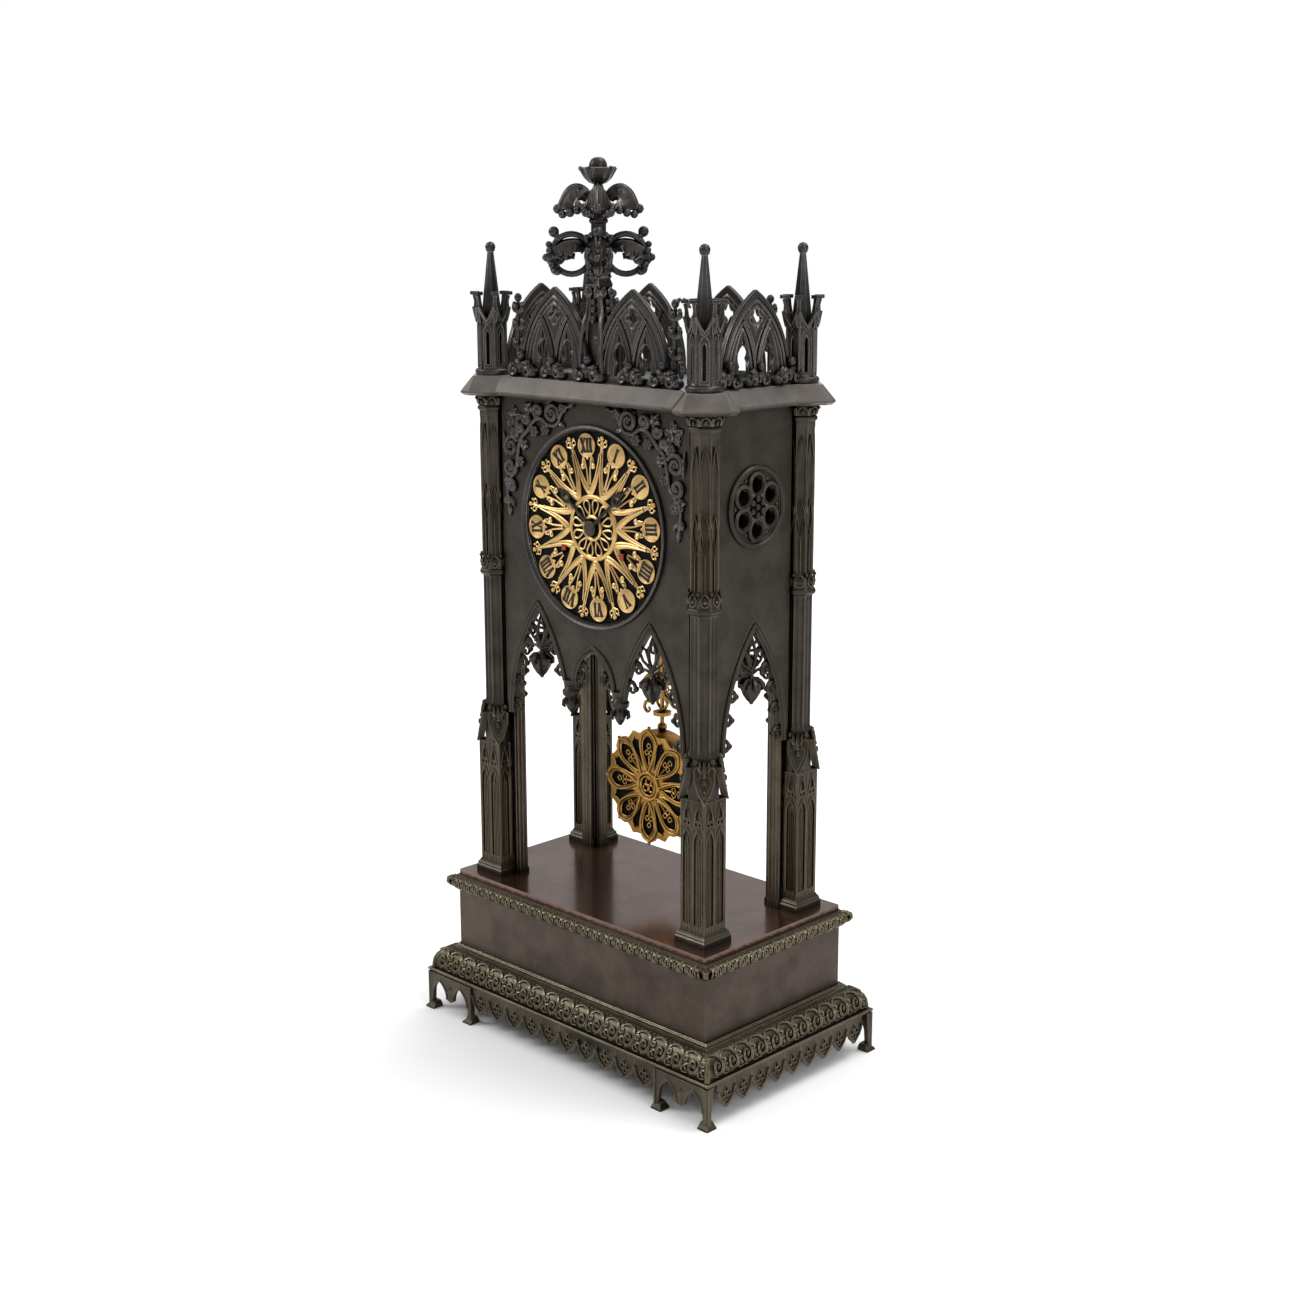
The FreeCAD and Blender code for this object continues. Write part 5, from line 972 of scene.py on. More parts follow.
def pier(cast):
    """Square foot with two traceried flutes on each face and a shield on three of its corners."""
    cast.tower((0, 0), [(11.3, 92.1), (11.3, 95.6), (10.7, 96.3), (10.7, 97.4), (9.6, 98.7), (9.4, 99.6),
                        (8.2, 99.8)], 4, 45)
    cast.tower((0, 0), [(8.15, 98), (8.15, 176.4), (6, 178)], 4, 45)
    for turned in (0, 90, 180, 270):
        view = on_face(turned)
        windows = [lancet(shift, 2.75, 103.4, 152, 6.5) for shift in (-4.15, 4.15)]
        eyes = [circle((shift + side * 1.35, 163), 1, 8) for shift in (-4.15, 4.15) for side in (-1, 1)]
        heads = [lancet(shift, 1.5, 165.4, 168.6, 3.4, 3) for shift in (-4.15, 4.15)]
        sheet = [(-8.9, 99.4), (8.9, 99.4), (8.9, 176), (-8.9, 176)]
        cast.plate(view, sheet, windows + eyes + heads, 7.9, 8.85)
        for shift in (-4.15, 4.15):
            for side in (-1.35, 0, 1.35):
                cast.wire([view(shift + side, z, 8.3) for z in (103.4, 154 - abs(side) * 2)], 0.42,
                          up=view.out, sides=5)
            frame_line = pointed((shift, 152), 3.3, 8, 5)
            cast.flat_wire(view, [(shift + 3.3, 103)] + frame_line + [(shift - 3.3, 103)], 8.9, 0.4,
                           sides=5)
            cast.flat_wire(view, pointed((shift, 160.5), 3.1, 12, 5), 8.9, 0.42, sides=5)
            cast.ball(view(shift, 173.4, 8.9), 0.8, rings=4, sides=6)
            for step in (-2.2, 0, 2.2):
                cast.tower(view(shift + step, 0, 8.5)[:2], [(0.75, 99.6), (0.75, 102.2), (0.4, 104.2)], 6,
                           0)
        for edge in (-8.35, 0):
            cast.wire([view(edge, 99.8, 8.75), view(edge, 175.6, 8.75)], 0.55, up=view.out)
    for turned in (45, 135, 315):
        shield(cast, turned)


def shaft(cast):
    """Fluted octagon with a ring, an upper shaft and the bell of the capital."""
    rings = [octagon_ring(8.4, 175.6), octagon_ring(8.4, 201), octagon_ring(7.6, 203)]
    rings += [octagon_ring(7.6, z, 0.55, 0.1) for z in (204.5, 277.5)]
    rings += [octagon_ring(half, z) for half, z in (
        (7.6, 279), (7.9, 279.6), (9, 280.4), (9.4, 281.3), (9.4, 282.4), (8.8, 283.2), (8.2, 283.6),
        (8.2, 284.6), (8.8, 287), (8.4, 289.2), (7.7, 290))]
    rings += [octagon_ring(7.5, z, 0.5, 0.5) for z in (291, 373.5)]
    rings += [octagon_ring(half, z) for half, z in (
        (7.7, 375), (7.7, 377.6), (8.6, 378.4), (8.9, 379.4), (8.6, 380.3), (7.7, 380.9), (8, 383),
        (9.2, 385.6), (10.3, 386.6), (10.4, 387.4))]
    cast.stack(rings)


# %% Crown, tall tracery and capital leaves
def shaft_leaves(cast):
    """Crown of leaves above the ring, pointed tracery on each face and leaves round the capital."""
    for face in range(8):
        view = on_face(45 * face)
        crown_leaf = [(0, 284.4), (2.1, 286), (2.4, 288.6), (1.2, 290.4), (0, 291.6)]
        loop = crown_leaf + [(-x, z) for x, z in reversed(crown_leaf[1:-1])]
        cast.wire([view(x, z, 8.8) for x, z in loop], 0.5, up=view.out, sides=5, closed=True)
        cast.ball(view(0, 287, 8.9), 1, rings=4, sides=6)
        edge_view = on_face(45 * face + 22.5)
        cast.ball(edge_view(0, 291.6, 9.3), 1.15)
        cast.leaf(edge_view, (0, 284.6), (0, 290.8), 2.6, 0.8, 3, 0.6)
        for spring, rise, half, foot in ((318, 16, 2.7, 292), (352, 18, 2.7, 330)):
            line_points = [(half, foot)] + pointed((0, spring), half, rise, 5) + [(-half, foot)]
            cast.flat_wire(view, line_points, 7.55, 0.4, sides=5)
        low_point = [(2.7, 334), (2.4, 328), (1.4, 321), (0, 314), (-1.4, 321), (-2.4, 328),
                     (-2.7, 334)]
        cast.flat_wire(view, low_point, 7.5, 0.32, sides=5)
        cast.flat_wire(view, [(0, 292), (0, 312)], 7.4, 0.35, sides=5)
        cast.leaf(view, (0, 336), (0, 347), 2.6, 0.5, 3, 0.1)
        cast.leaf(view, (0, 300), (0, 309), 2.2, 0.4, 3, 0.1)
        capital = [(2.8, 381.4), (2.8, 383.6), (1.9, 385.2), (0, 385.9), (-1.9, 385.2), (-2.8, 383.6),
                   (-2.8, 381.4)]
        cast.wire([view(x, z, 8.3 + 0.28 * (z - 381.4)) for x, z in capital], 0.55, up=view.out)
        cast.ball(view(0, 383.2, 8.7), 1.1, (1, 1, 1.5))
        edge_line = [edge_view(0, z, out) for z, out in ((381.2, 8.7), (383.6, 9.2), (385.6, 10.6))]
        cast.wire(edge_line, [0.5, 0.6, 0.9], up=edge_view.out)


def shield(cast, turned):
    """Shield on a pier corner, leaning outwards at its point, with a plain foliage boss above."""
    view = on_face(turned)

    def lean(across, z, out):
        return view(across, z, 13.2 - 0.20 * (z - 176) + out)

    lean.out = view.out
    edge = [(0, 175.4), (3.3, 181.2), (5.6, 188.4), (5.8, 194.6)]
    outline = edge + [(4.2, 195.8), (0, 194.4), (-4.2, 195.8)] + [(-x, z) for x, z in reversed(edge[1:])]
    cast.plate(lean, outline, [], -3.4, 0.2)
    cast.flat_wire(lean, outline + outline[:1], 0.3, 0.55)
    inner = [(0, 179), (3.4, 186.6), (3.6, 190.4), (-3.6, 190.4), (-3.4, 186.6), (0, 179)]
    cast.flat_wire(lean, inner, 0.3, 0.38, sides=5)
    cast.ball(lean(0, 187.4, 0.3), 1.9, (1, 1, 1.2), rings=6)
    for side in (-1, 1):
        cast.ball(lean(side * 2.2, 191.8, 0.6), 1.35)
        cast.ball(lean(side * 4.6, 198.6, 0.2), 1.7)
        cast.leaf(lean, (0, 190), (side * 4.6, 197.6), 3.2, 1.3, 3, 1)
        cast.leaf(lean, (side * 2, 193), (side * 3, 200.6), 2.6, 1.2, 3, 0.8)
    cast.leaf(lean, (0, 189.6), (0, 200.8), 4, 1.9, 3, 1.4)
    cast.ball(lean(0, 182.6, 0.4), 0.9, rings=4, sides=6)


one_column = Casting()
for part in (pier, shaft, shaft_leaves):
    part(one_column)
for name, (sx, sy) in CORNERS.items():
    outward = degrees(atan2(sy, sx)) + 45
    stand_in(moved(one_column, outward, sx * COLUMN_X, sy * COLUMN_Y), "shaft_" + name, column_bronze,
             "column_" + name)

# %% Reeded posts behind the columns
for name, (sx, sy) in CORNERS.items():
    post = Casting()
    outline = [(-14.75, -1.8), (-8.95, -1.8), (-8.95, -8.95), (-1.8, -8.95), (-1.8, -11.8), (-9.8, -11.8),
               (-9.8, -8), (-14.75, -8)]
    place = [(sx * (COLUMN_X + x), sy * (COLUMN_Y + y)) for x, y in outline]
    post.stack([[(x, y, z) for x, y in place] for z in (92.1, 387.4)])
    reeds = ((-14.2, -2.4, 0.8), (-12, -2.1, 0.7), (-14.3, -5.2, 0.9), (-14.2, -7.6, 0.8),
             (-12.2, -7.9, 0.8), (-9.9, -8.4, 0.9), (-9.9, -11.2, 0.8), (-6.9, -11.5, 0.8),
             (-4.4, -11.5, 0.7), (-2.2, -11.3, 0.8))
    for x, y, radius in reeds:
        spot = (sx * (COLUMN_X + x), sy * (COLUMN_Y + y))
        post.wire([(*spot, 92.3), (*spot, 387.2)], radius, sides=8)
    skirting = [(place[0][0] - sx * 0.6, place[0][1]), place[1], place[6],
                (place[7][0] - sx * 0.6, place[7][1] - sy * 0.6)]
    post.stack([[(x, y, z) for x, y in skirting] for z in (92.1, 95)])
    stand_in(post, "reeded_" + name, column_bronze, "post_" + name)

# %% [markdown]
# ## Pierced panels of the case
#
# The front is one thin plate: a round hole for the dial, two tall arches beside a low one, and
# hanging drops between them. Double ribs run round every arch. In each arch head a branching stem
# carries a leafy boss, and curled cusps with round tips line the edges. The plate is cut in code so
# that its openings line up with the solid panels.

# %% Arch curves
ARCH_RADIUS, ARCH_SHIFT, SPRING = 107.2, 83, 196


def arch_x(z, offset=0):
    """Half width of a tall arch at a height, at an offset outside its edge."""
    rise = max(0, z - SPRING)
    return sqrt(max(0, (ARCH_RADIUS + offset) ** 2 - rise ** 2)) - ARCH_SHIFT


def arch_side(axis, side, low, offset=0, steps=12):
    """From the foot to the point of one side of a tall arch."""
    top = SPRING + sqrt((ARCH_RADIUS + offset) ** 2 - ARCH_SHIFT ** 2)
    points = []
    for i in range(steps + 1):
        z = low + (top - low) * (1 - (1 - i / steps) ** 1.6)
        points.append((axis + side * arch_x(z, offset), z))
    return points


def tall_arch(cast, view, axis, face, feet):
    """Ribs, cusps, branching stem and boss of one tall arch. The feet are (left, right) heights."""
    for offset, height, radius in ((2.3, face + 0.2, 1.25), (0.5, face - 0.2, 0.95),
                                   (4.4, face - 0.25, 0.6)):
        left = arch_side(axis, -1, feet[0] + 0.2, offset)
        right = arch_side(axis, 1, feet[1] + 0.2, offset)
        cast.flat_wire(view, left + right[::-1][1:], height, radius, sides=8)
    for side, foot in ((-1, feet[0]), (1, feet[1])):
        for z in (199, 213.5, 226.5, 238.5):
            if z < foot:
                continue
            x = arch_x(z + 3)
            curl = mirrored([(x + 0.6, z + 4.6), (x - 2.8, z + 5.4), (x - 5, z + 3.4), (x - 5, z + 0.6),
                             (x - 2.8, z - 0.8), (x - 1, z + 0.6)], side, axis)
            cast.flat_wire(view, smooth(curl, 3), face - 1.9, [1.35] * 4 + [1.2] * 6 + [0.9] * 6, sides=7)
            cast.ball(view(axis + side * (x - 5.9), z + 1.8, face - 1.9), 1.75, rings=6)
            cast.ball(view(axis + side * (x - 1.8), z + 1.5, face - 1.7), 1.1, sides=6)
    stem = face - 1.9
    cast.wire([view(axis, z, stem) for z in (234, 238, 243)], [1.5, 1.1, 0.9], up=view.out, sides=8)
    loop = [(axis, 242), (axis + 2.6, 247), (axis + 2.9, 251.5), (axis + 1.6, 256), (axis, 260.4)]
    loop += [(2 * axis - x, z) for x, z in reversed(loop[1:-1])]
    cast.flat_wire(view, loop, stem, 0.95, sides=7, closed=True)
    for side in (-1, 1):
        petal = mirrored([(0, 240.4), (4, 243.6), (7.4, 245.6), (9.6, 249.6), (8.2, 253), (5.2, 252.4),
                          (3.6, 248.4), (1.6, 243.4)], side, axis)
        cast.flat_wire(view, petal, stem, 0.9, sides=7, closed=True)
        branch = smooth(mirrored([(0, 238.6), (5, 240.8), (9.5, 240.6), (12.5, 243)], side, axis), 3)
        cast.flat_wire(view, branch, stem, 0.9, sides=7)
        cast.ball(view(axis + side * 11.4, 243.4, stem), 1.5)
    boss(cast, view, axis, stem)


def boss(cast, view, axis, depth):
    """Leafy boss that hangs from a stem: six curled leaves round a lobed bud."""
    centre = view(axis, 0, depth)[:2]
    cast.tower(centre, [(0.8, 222.4), (2.8, 224.6), (4.7, 228), (5.9, 231.6), (6.5, 233.8), (4.6, 234.8),
                        (2.2, 236.4), (1.3, 238)], 24, 0, 0.13, 6)
    for k in range(6):
        angle = radians(60 * k + 30)
        path = []
        for reach, z in ((2.4, 236.4), (4.8, 235.6), (6.6, 233.6), (6.8, 231.4), (5.6, 230.6)):
            path.append((centre[0] + reach * cos(angle), centre[1] + reach * sin(angle), z))
        cast.wire(path, [0.9, 1.4, 1.5, 1.2, 0.7], up=(-sin(angle), cos(angle), 0))
    cast.ball((centre[0], centre[1], 222.8), 1.3)


def drop(cast, view, x, depth):
    """Hanging capital between two arches: ring, leaves and bud."""
    centre = view(x, 0, depth)[:2]
    cast.tower(centre, [(0.7, 205), (2.3, 207.2), (3.6, 210.4), (2.6, 212.8), (2.9, 214), (4.9, 215.8),
                        (5.2, 217.2), (5.2, 218.6), (4.2, 219.6), (3.4, 221), (4.3, 222.6), (4.6, 225)], 12)
    for k in range(4):
        angle = radians(90 * k + 45)
        path = [(centre[0] + reach * cos(angle), centre[1] + reach * sin(angle), z)
                for reach, z in ((2.6, 214.4), (4.4, 212.2), (4.9, 209.8), (3.8, 208.4))]
        cast.wire(path, [0.9, 1.5, 1.3, 0.7], up=(-sin(angle), cos(angle), 0))


# %% Front and back panels
def front_shape():
    """Outline of the front plate, from the upper right corner down and round to the left."""
    low_arch = pointed((0, 223.5), 15, 21, 8)
    right = [(75.5, 387.4), (75.5, SPRING)] + arch_side(46, 1, SPRING)
    right += arch_side(46, -1, 223.5)[::-1][1:]
    right += [(23.4, 214.5), (20.2, 207.5), (17, 214.5)]
    left = [(-x, z) for x, z in reversed(right)]
    return right + low_arch + left


def front_panel(turned, hole_radius):
    cast = Casting()
    view = on_face(turned)
    cast.plate(view, front_shape(), [circle((0, DIAL_Z), hole_radius, 72)], 37.5, 41)
    for axis in (-46, 46):
        feet = (SPRING, 223.5) if axis < 0 else (223.5, SPRING)
        tall_arch(cast, view, axis, 41, feet)
    for offset, height, radius in ((2.4, 41.1, 1.3), (0.6, 40.7, 1)):
        span = pointed((0, 223.5), 15 + offset, 21 + offset * 1.1, 9)
        cast.flat_wire(view, span, height, radius, sides=8)
    for side in (-1, 1):
        for z, reach in ((224.5, 12.2), (232, 8.4)):
            curl = mirrored([(reach + 3, z + 4.4), (reach + 0.4, z + 4.6), (reach - 1.2, z + 2.6),
                             (reach - 0.4, z + 0.6), (reach + 1.6, z + 0.8)], side)
            cast.flat_wire(view, smooth(curl, 3), 39.4, 1.1, sides=7)
            cast.ball(view(side * (reach - 1.4), z + 1.4, 39.4), 1.5)
        drop(cast, view, side * 20.2, 39.3)
    return cast


stand_in(front_panel(0, 54.9), "pierced_front", panel_bronze, "front_panel")
stand_in(front_panel(180, 46.6), "pierced_back", panel_bronze, "back_panel")


# %% Side panels with their round windows
def side_panel(turned):
    cast = Casting()
    view = on_face(turned)
    outline = [(29.55, 387.4), (29.55, SPRING)] + arch_side(0, 1, SPRING)
    outline += [(-x, z) for x, z in reversed(outline[:-1])]
    lights = [circle((12.6 * cos(radians(a)), 333.5 + 12.6 * sin(radians(a))), 5.2, 16)
              for a in range(30, 390, 60)]
    cast.plate(view, outline, lights, 83.45, PANEL_SIDE)
    tall_arch(cast, view, 0, PANEL_SIDE, (SPRING, SPRING))
    for radius, wire_radius, height in ((21.6, 1.6, 87.4), (19.6, 0.7, 87)):
        cast.flat_wire(view, circle((0, 333.5), radius, 48), height, wire_radius, sides=8, closed=True)
    for k in range(6):
        angle = radians(60 * k + 30)
        petal = []
        for t in range(16):
            around = 2 * pi * t / 16
            out = 12.6 + 6.1 * cos(around)
            wide = 5.9 * sin(around)
            petal.append((out * cos(angle) - wide * sin(angle),
                          333.5 + out * sin(angle) + wide * cos(angle)))
        cast.flat_wire(view, petal, 87.5, 1.35, sides=7, closed=True)
        between = angle + radians(30)
        cast.ball(view(17.2 * cos(between), 333.5 + 17.2 * sin(between), 87.1), 1, rings=4, sides=6)
        cast.ball(view(4.6 * cos(angle), 333.5 + 4.6 * sin(angle), 88), 2)
        cast.ball(view(7.4 * cos(between), 333.5 + 7.4 * sin(between), 87.6), 1.5, rings=4, sides=6)
    cast.ball(view(0, 333.5, 87.6), 2.2, rings=6, sides=10)
    return cast


stand_in(side_panel(90), "pierced_right", panel_bronze, "right_panel")
stand_in(side_panel(270), "pierced_left", panel_bronze, "left_panel")


# %% [markdown]
# ## Leaves that stand free
#
# The leaves on the finial's scrolls and in its canopy rise from an axis, arch outwards and roll over.
# A blade follows a path of (distance, height) beside the axis. Its section carries ribs, and it has a
# back, since these leaves are seen from behind as well.


# %% A ribbed blade
def upright(centre, angle):
    """Maps (distance, height, across) beside a standing axis into space."""
    turned = radians(angle)
    out = Vector((cos(turned), sin(turned), 0))
    side = Vector((-sin(turned), cos(turned), 0))

    def place(distance, height, across=0):
        return Vector((centre[0], centre[1], height)) + out * distance + side * across

    place.side = side
    place.out = out
    return place


def blade(cast, place, path, widths, ribs=5, lift=0.7, thick=1, notch=0, droop=0.22):
    """A leaf along the path, with ribs across it and a smooth back."""
    line_points = smooth(path, 3)
    spans = smooth([(w, 0) for w in widths], 3)
    rings = []
    count = 2 * ribs + 1
    for i, ((distance, height), (width, _)) in enumerate(zip(line_points, spans)):
        before = line_points[max(0, i - 1)]
        after = line_points[min(len(line_points) - 1, i + 1)]
        run = Vector((after[0] - before[0], after[1] - before[1])).normalized()
        out, up = -run.y, run.x
        wide = max(0.3, width * (1 - notch * (i % 3 == 1)))
        ring = []
        for k in range(count):
            share = -1 + 2 * k / (count - 1)
            raised = (lift if k % 2 else 0) - droop * wide * share * share
            ring.append(place(distance + out * raised, height + up * raised, wide * 0.5 * share))
        for share in (0.9, 0, -0.9):
            raised = -thick - droop * wide * share * share
            ring.append(place(distance + out * raised, height + up * raised, wide * 0.5 * share))
        rings.append(ring)
    return cast.stack(rings)


# %% [markdown]
# ## Corner turrets
#
# A turret is a hexagonal drum with tall slots on a round base. Its crown droops in a V over each slot
# and rises into six flared horns with flat square caps. A slender spire with a ball stands inside.


# %% One turret
def turret():
    cast = Casting()
    cast.tower((0, 0), [(7.6, 398.4), (9.6, 398.6), (10.2, 399.5), (10.2, 400.9), (9.5, 401.9),
                        (8.3, 402.3), (8, 403.2)], 32)
    cast.tower((0, 0), [(5.2, 402), (5.2, 431)], 6, 0)
    for face in range(6):
        view = on_face(60 * face + 120)
        slot = lancet(0, 1.25, 404.6, 421, 3.4, 4)
        sheet = [(-4.35, 402.2), (4.35, 402.2), (4.35, 431.5), (-4.35, 431.5)]
        cast.plate(view, sheet, [slot], 6.1, 7.4)
        cast.flat_wire(view, slot + slot[:1], 7.4, 0.45, sides=5)
        for side in (-1, 1):
            cast.flat_wire(view, [(side * 2.6, 402.6), (side * 2.6, 424), (0, 429)], 7.4, 0.4, sides=5)
        corner = upright((0, 0), 60 * face)
        cast.wire([corner(8.5, 402.4), corner(8.5, 431)], 0.75, up=corner.out)
        for drop_z, radius, out in ((0, 0.95, 9.2), (-1.9, 0.6, 8.6)):
            chevron = [(-4.7, 437.4 + drop_z), (-2.2, 432.4 + drop_z), (0, 429.6 + drop_z),
                       (2.2, 432.4 + drop_z), (4.7, 437.4 + drop_z)]
            cast.wire([view(x, z, out - 0.12 * (437.4 - z) + 0.5) for x, z in chevron], radius, up=view.out)
        horn = [(8.5, 429), (8.9, 433), (9.2, 437), (9.4, 441), (10.1, 444.2)]
        cast.wire([corner(a, z) for a, z in horn], [1.3, 2.2, 1.9, 1.35, 1.6], up=corner.side, sides=4)
        cap = [corner(10.2 + a, z, b) for z in (444.4, 445.6, 446.4) for a, b in
               ((-2.1, -2.1), (2.1, -2.1), (2.1, 2.1), (-2.1, 2.1))]
        cast.stack([cap[0:4], cap[4:8], cap[8:12]])
    rings = []
    for near, far, low, high in ((7.3, 8.4, 427, 430), (7.9, 9, 429, 433.5), (8.5, 9.9, 430.4, 438),
                                 (7.2, 8.4, 430.6, 438), (5.4, 6.2, 431, 436)):
        ring_points = []
        for k in range(12):
            reach, z = (far, high) if k % 2 == 0 else (near, low)
            ring_points.append(upright((0, 0), 30 * k)(reach, z))
        rings.append(ring_points)
    cast.stack(rings)
    cast.tower((0, 0), [(5, 430), (4.9, 437.5), (1.7, 468.6), (1.9, 469)], 8)
    cast.tower((0, 0), [(1.5, 468.4), (2.5, 469.4), (2.95, 471.2), (2.9, 472.4), (2, 473.9), (0.5, 474.6)],
               20)
    return cast


one_turret = turret()
for name, turned in (("front_left", 30), ("front_right", 43), ("back_left", 0), ("back_right", 0)):
    sx, sy = CORNERS[name]
    stand_in(moved(one_turret, turned, sx * 84.6, sy * 39.4), "spired_" + name, dark_bronze,
             "turret_" + name)

# %% [markdown]
# ## The cresting
#
# Six pierced gables stand round the slab: two at the front and back, one on each side. Each is a
# pointed arch with a heavy stepped rim, forked tracery, two keyhole lights and a four-lobed opening.
# Rolled leaves lie along its foot. The openings are cut because the white ground shows through them.


# %% One gable
def main_arch(axis, inset, foot=398.4):
    span = pointed((axis, 402.4), 28 - inset, 47.8 - 1.45 * inset, 12)
    return [(axis + 28 - inset, foot)] + span + [(axis - 28 + inset, foot)]


def keyhole(axis):
    """Cusped light: a bulb under a slender point, with a narrow waist and a wide foot."""
    half = [(0, 426.6), (0.8, 424.4), (1.1, 422.6), (0.9, 421.2), (2.6, 419.8), (4.4, 417.2), (4.8, 414.6),
            (4.3, 412), (3.2, 410), (4.2, 408.2), (4.5, 405.6), (4.2, 402.8)]
    return [(axis + x, z) for x, z in half] + [(axis - x, z) for x, z in reversed(half[1:])]


def gable(cast, view, axis, face):
    """Stepped rim, forked tracery and openings of one gable. Face is its front, 2.6 before its back."""
    middle_depth = face - 1.3
    quatrefoil = []
    for start, a, b, radius in ((-45, 3.1, 0, 2.1), (45, 0, 4, 2.1), (135, -3.1, 0, 2.1),
                                (225, 0, -3.7, 1.8)):
        quatrefoil += arc((axis + a, 434.6 + b), radius, start - 50, start + 140, 6)
    openings = [keyhole(axis - 9.9), keyhole(axis + 9.9), quatrefoil]
    cast.plate(view, main_arch(axis, 1), openings, middle_depth - 0.9, middle_depth + 0.9)
    cast.plate(view, main_arch(axis, 0), [main_arch(axis, 3, 399)], face - 2.6, face)
    cast.plate(view, main_arch(axis, 0.7), [main_arch(axis, 2.2, 398.9)], face - 3, face + 0.6)
    for depth, out in ((face - 0.2, 0.9), (face - 2.4, -0.9)):
        for inset, radius in ((3.6, 0.9), (5.8, 0.75)):
            cast.flat_wire(view, main_arch(axis, inset, 403), depth - out * 0.25 * inset / 3.6, radius)
        for side in (-1, 1):
            for inset, radius, lower in ((0, 1.15, 0), (2.6, 0.8, 0.5), (-2.4, 0.6, 0.8)):
                span = pointed((axis + side * 10.9, 404), 10.2 - inset, 30 - 1.5 * inset, 8)
                inner_side = span[8:] if side > 0 else span[:9]
                foot_x = inner_side[-1][0] if side > 0 else inner_side[0][0]
                path = inner_side + [(foot_x, 399.5)] if side > 0 else [(foot_x, 399.5)] + inner_side
                cast.flat_wire(view, path, depth - out * lower, radius)
                if inset == 2.6:
                    outer_side = span[:9] if side > 0 else span[8:]
                    cast.flat_wire(view, outer_side, depth - out * lower, radius)
        cast.flat_wire(view, quatrefoil, depth - out * 0.5, 0.7, closed=True)
        for a, b in ((5.2, 439.5), (-5.2, 439.5), (5.4, 429.6), (-5.4, 429.6), (0, 443.8), (0, 427.2)):
            cast.ball(view(axis + a, b, depth - out * 0.7), 1.25)
        for side in (-1, 1):
            cast.leaf(view, (axis + side * 1.2, 444.2), (axis + side * 6.6, 438.8), 3.2, 1.2, 3, 0.3)


def rolled_leaf(cast, view, x, face, size=1):
    """A bunch at a gable's foot: two thick rolled tips with eyes and curling leaves behind them."""
    for side in (-1, 1):
        cast.ball(view(x + side * 7.4 * size, 401.4, face + 0.4), 2.6 * size, (1.2, 1.2, 1), rings=6,
                  sides=9)
        cast.ball(view(x + side * 2.2, 405.4, face + 0.4), 2.8 * size, rings=6)
    for side in (-1, 1):
        roll = spiral((x + side * 4.5 * size, 402 + 0.4 * size), 2.9 * size, 0.9 * size, 90 - side * 30,
                      side * -1.25, 14)
        thickness = [1.35 * size * (1 - 0.035 * i) for i in range(15)]
        cast.flat_wire(view, roll, face + 1.6, thickness, sides=7, flat=1.9)
        cast.ball(view(x + side * 4.3 * size, 402.2 + 0.4 * size, face + 2.2), 1.25 * size)
        tip = smooth(mirrored([(1.2, 401), (3 * size, 406.8), (5.4 * size, 406.4)], side, x), 3)
        cast.flat_wire(view, tip, face + 1, [1.4, 1.8, 2, 1.9, 1.7, 1.4, 1], sides=7)
    tall = 8.8 * size
    cast.leaf(view, (x, 399.6), (x + 0.6, 400.6 + tall), 5.4 * size, 2.4, 5, 2.4)
    cast.ball(view(x + 0.8, 400.6 + tall, face + 2.8), 2.2 * size, rings=6)


def crocket_post(cast, view, x, face):
    """Slender post with leaf tufts on both sides and a ball on top."""
    depth = face - 1.3
    cast.wire([view(x, z, depth) for z in (398.4, 428, 441)], [1.5, 1.3, 1.1], up=view.out, sides=4)
    cast.ball(view(x, 443.4, depth), 2.2, (1, 1, 1.15), rings=6)
    for z in (417, 428, 437.5):
        for side in (-1, 1):
            tuft = smooth(mirrored([(0.6, z - 2.6), (3.4, z - 0.4), (3.4, z + 2.2)], side, x), 3)
            cast.flat_wire(view, tuft, depth, [0.9, 1.2, 1.5, 1.5, 1.4, 1.3, 1])
            cast.ball(view(x + side * 3.2, z + 2.4, depth), 1.3, sides=6)
        cast.ball(view(x, z + 1, depth + 2), 1.5, sides=6)
    cast.ball(view(x, 402, depth), 2.2)


for name, turned, face, axes, posts, bunches in (
        ("front", 0, 39.6, (-31, 31), (-62.5, 62.5), (-57, -31, -1.6, 31, 57)),
        ("back", 180, 39.6, (-31, 31), (-62.5, 62.5), ()),
        ("right", 90, 86.2, (0,), (), (-25, 0, 25)),
        ("left", 270, 86.2, (0,), (), (-25, 0, 25))):
    cast = Casting()
    view = on_face(turned)
    reach = 63.8 if len(axes) > 1 else 28
    rail = [(-reach, 398.4), (reach, 398.4), (reach, 402), (-reach, 402)]
    cast.plate(view, rail, [], face - 2.4, face - 0.2)
    for axis in axes:
        gable(cast, view, axis, face)
    for x in posts:
        crocket_post(cast, view, x, face)
    for k, x in enumerate(bunches):
        rolled_leaf(cast, view, x, face, 1 if k % 2 else 1.2)
    stand_in(cast, "pierced_gables_" + name, dark_bronze, "cresting_" + name)

# %% [markdown]
# ## The finial
#
# The tall cross flower behind the front gables has four tiers: a leafy pier with ogee shoulders, a hub
# with four looped scrolls, a canopy of four drooping acanthus leaves, and a round bud in a scalloped cup.

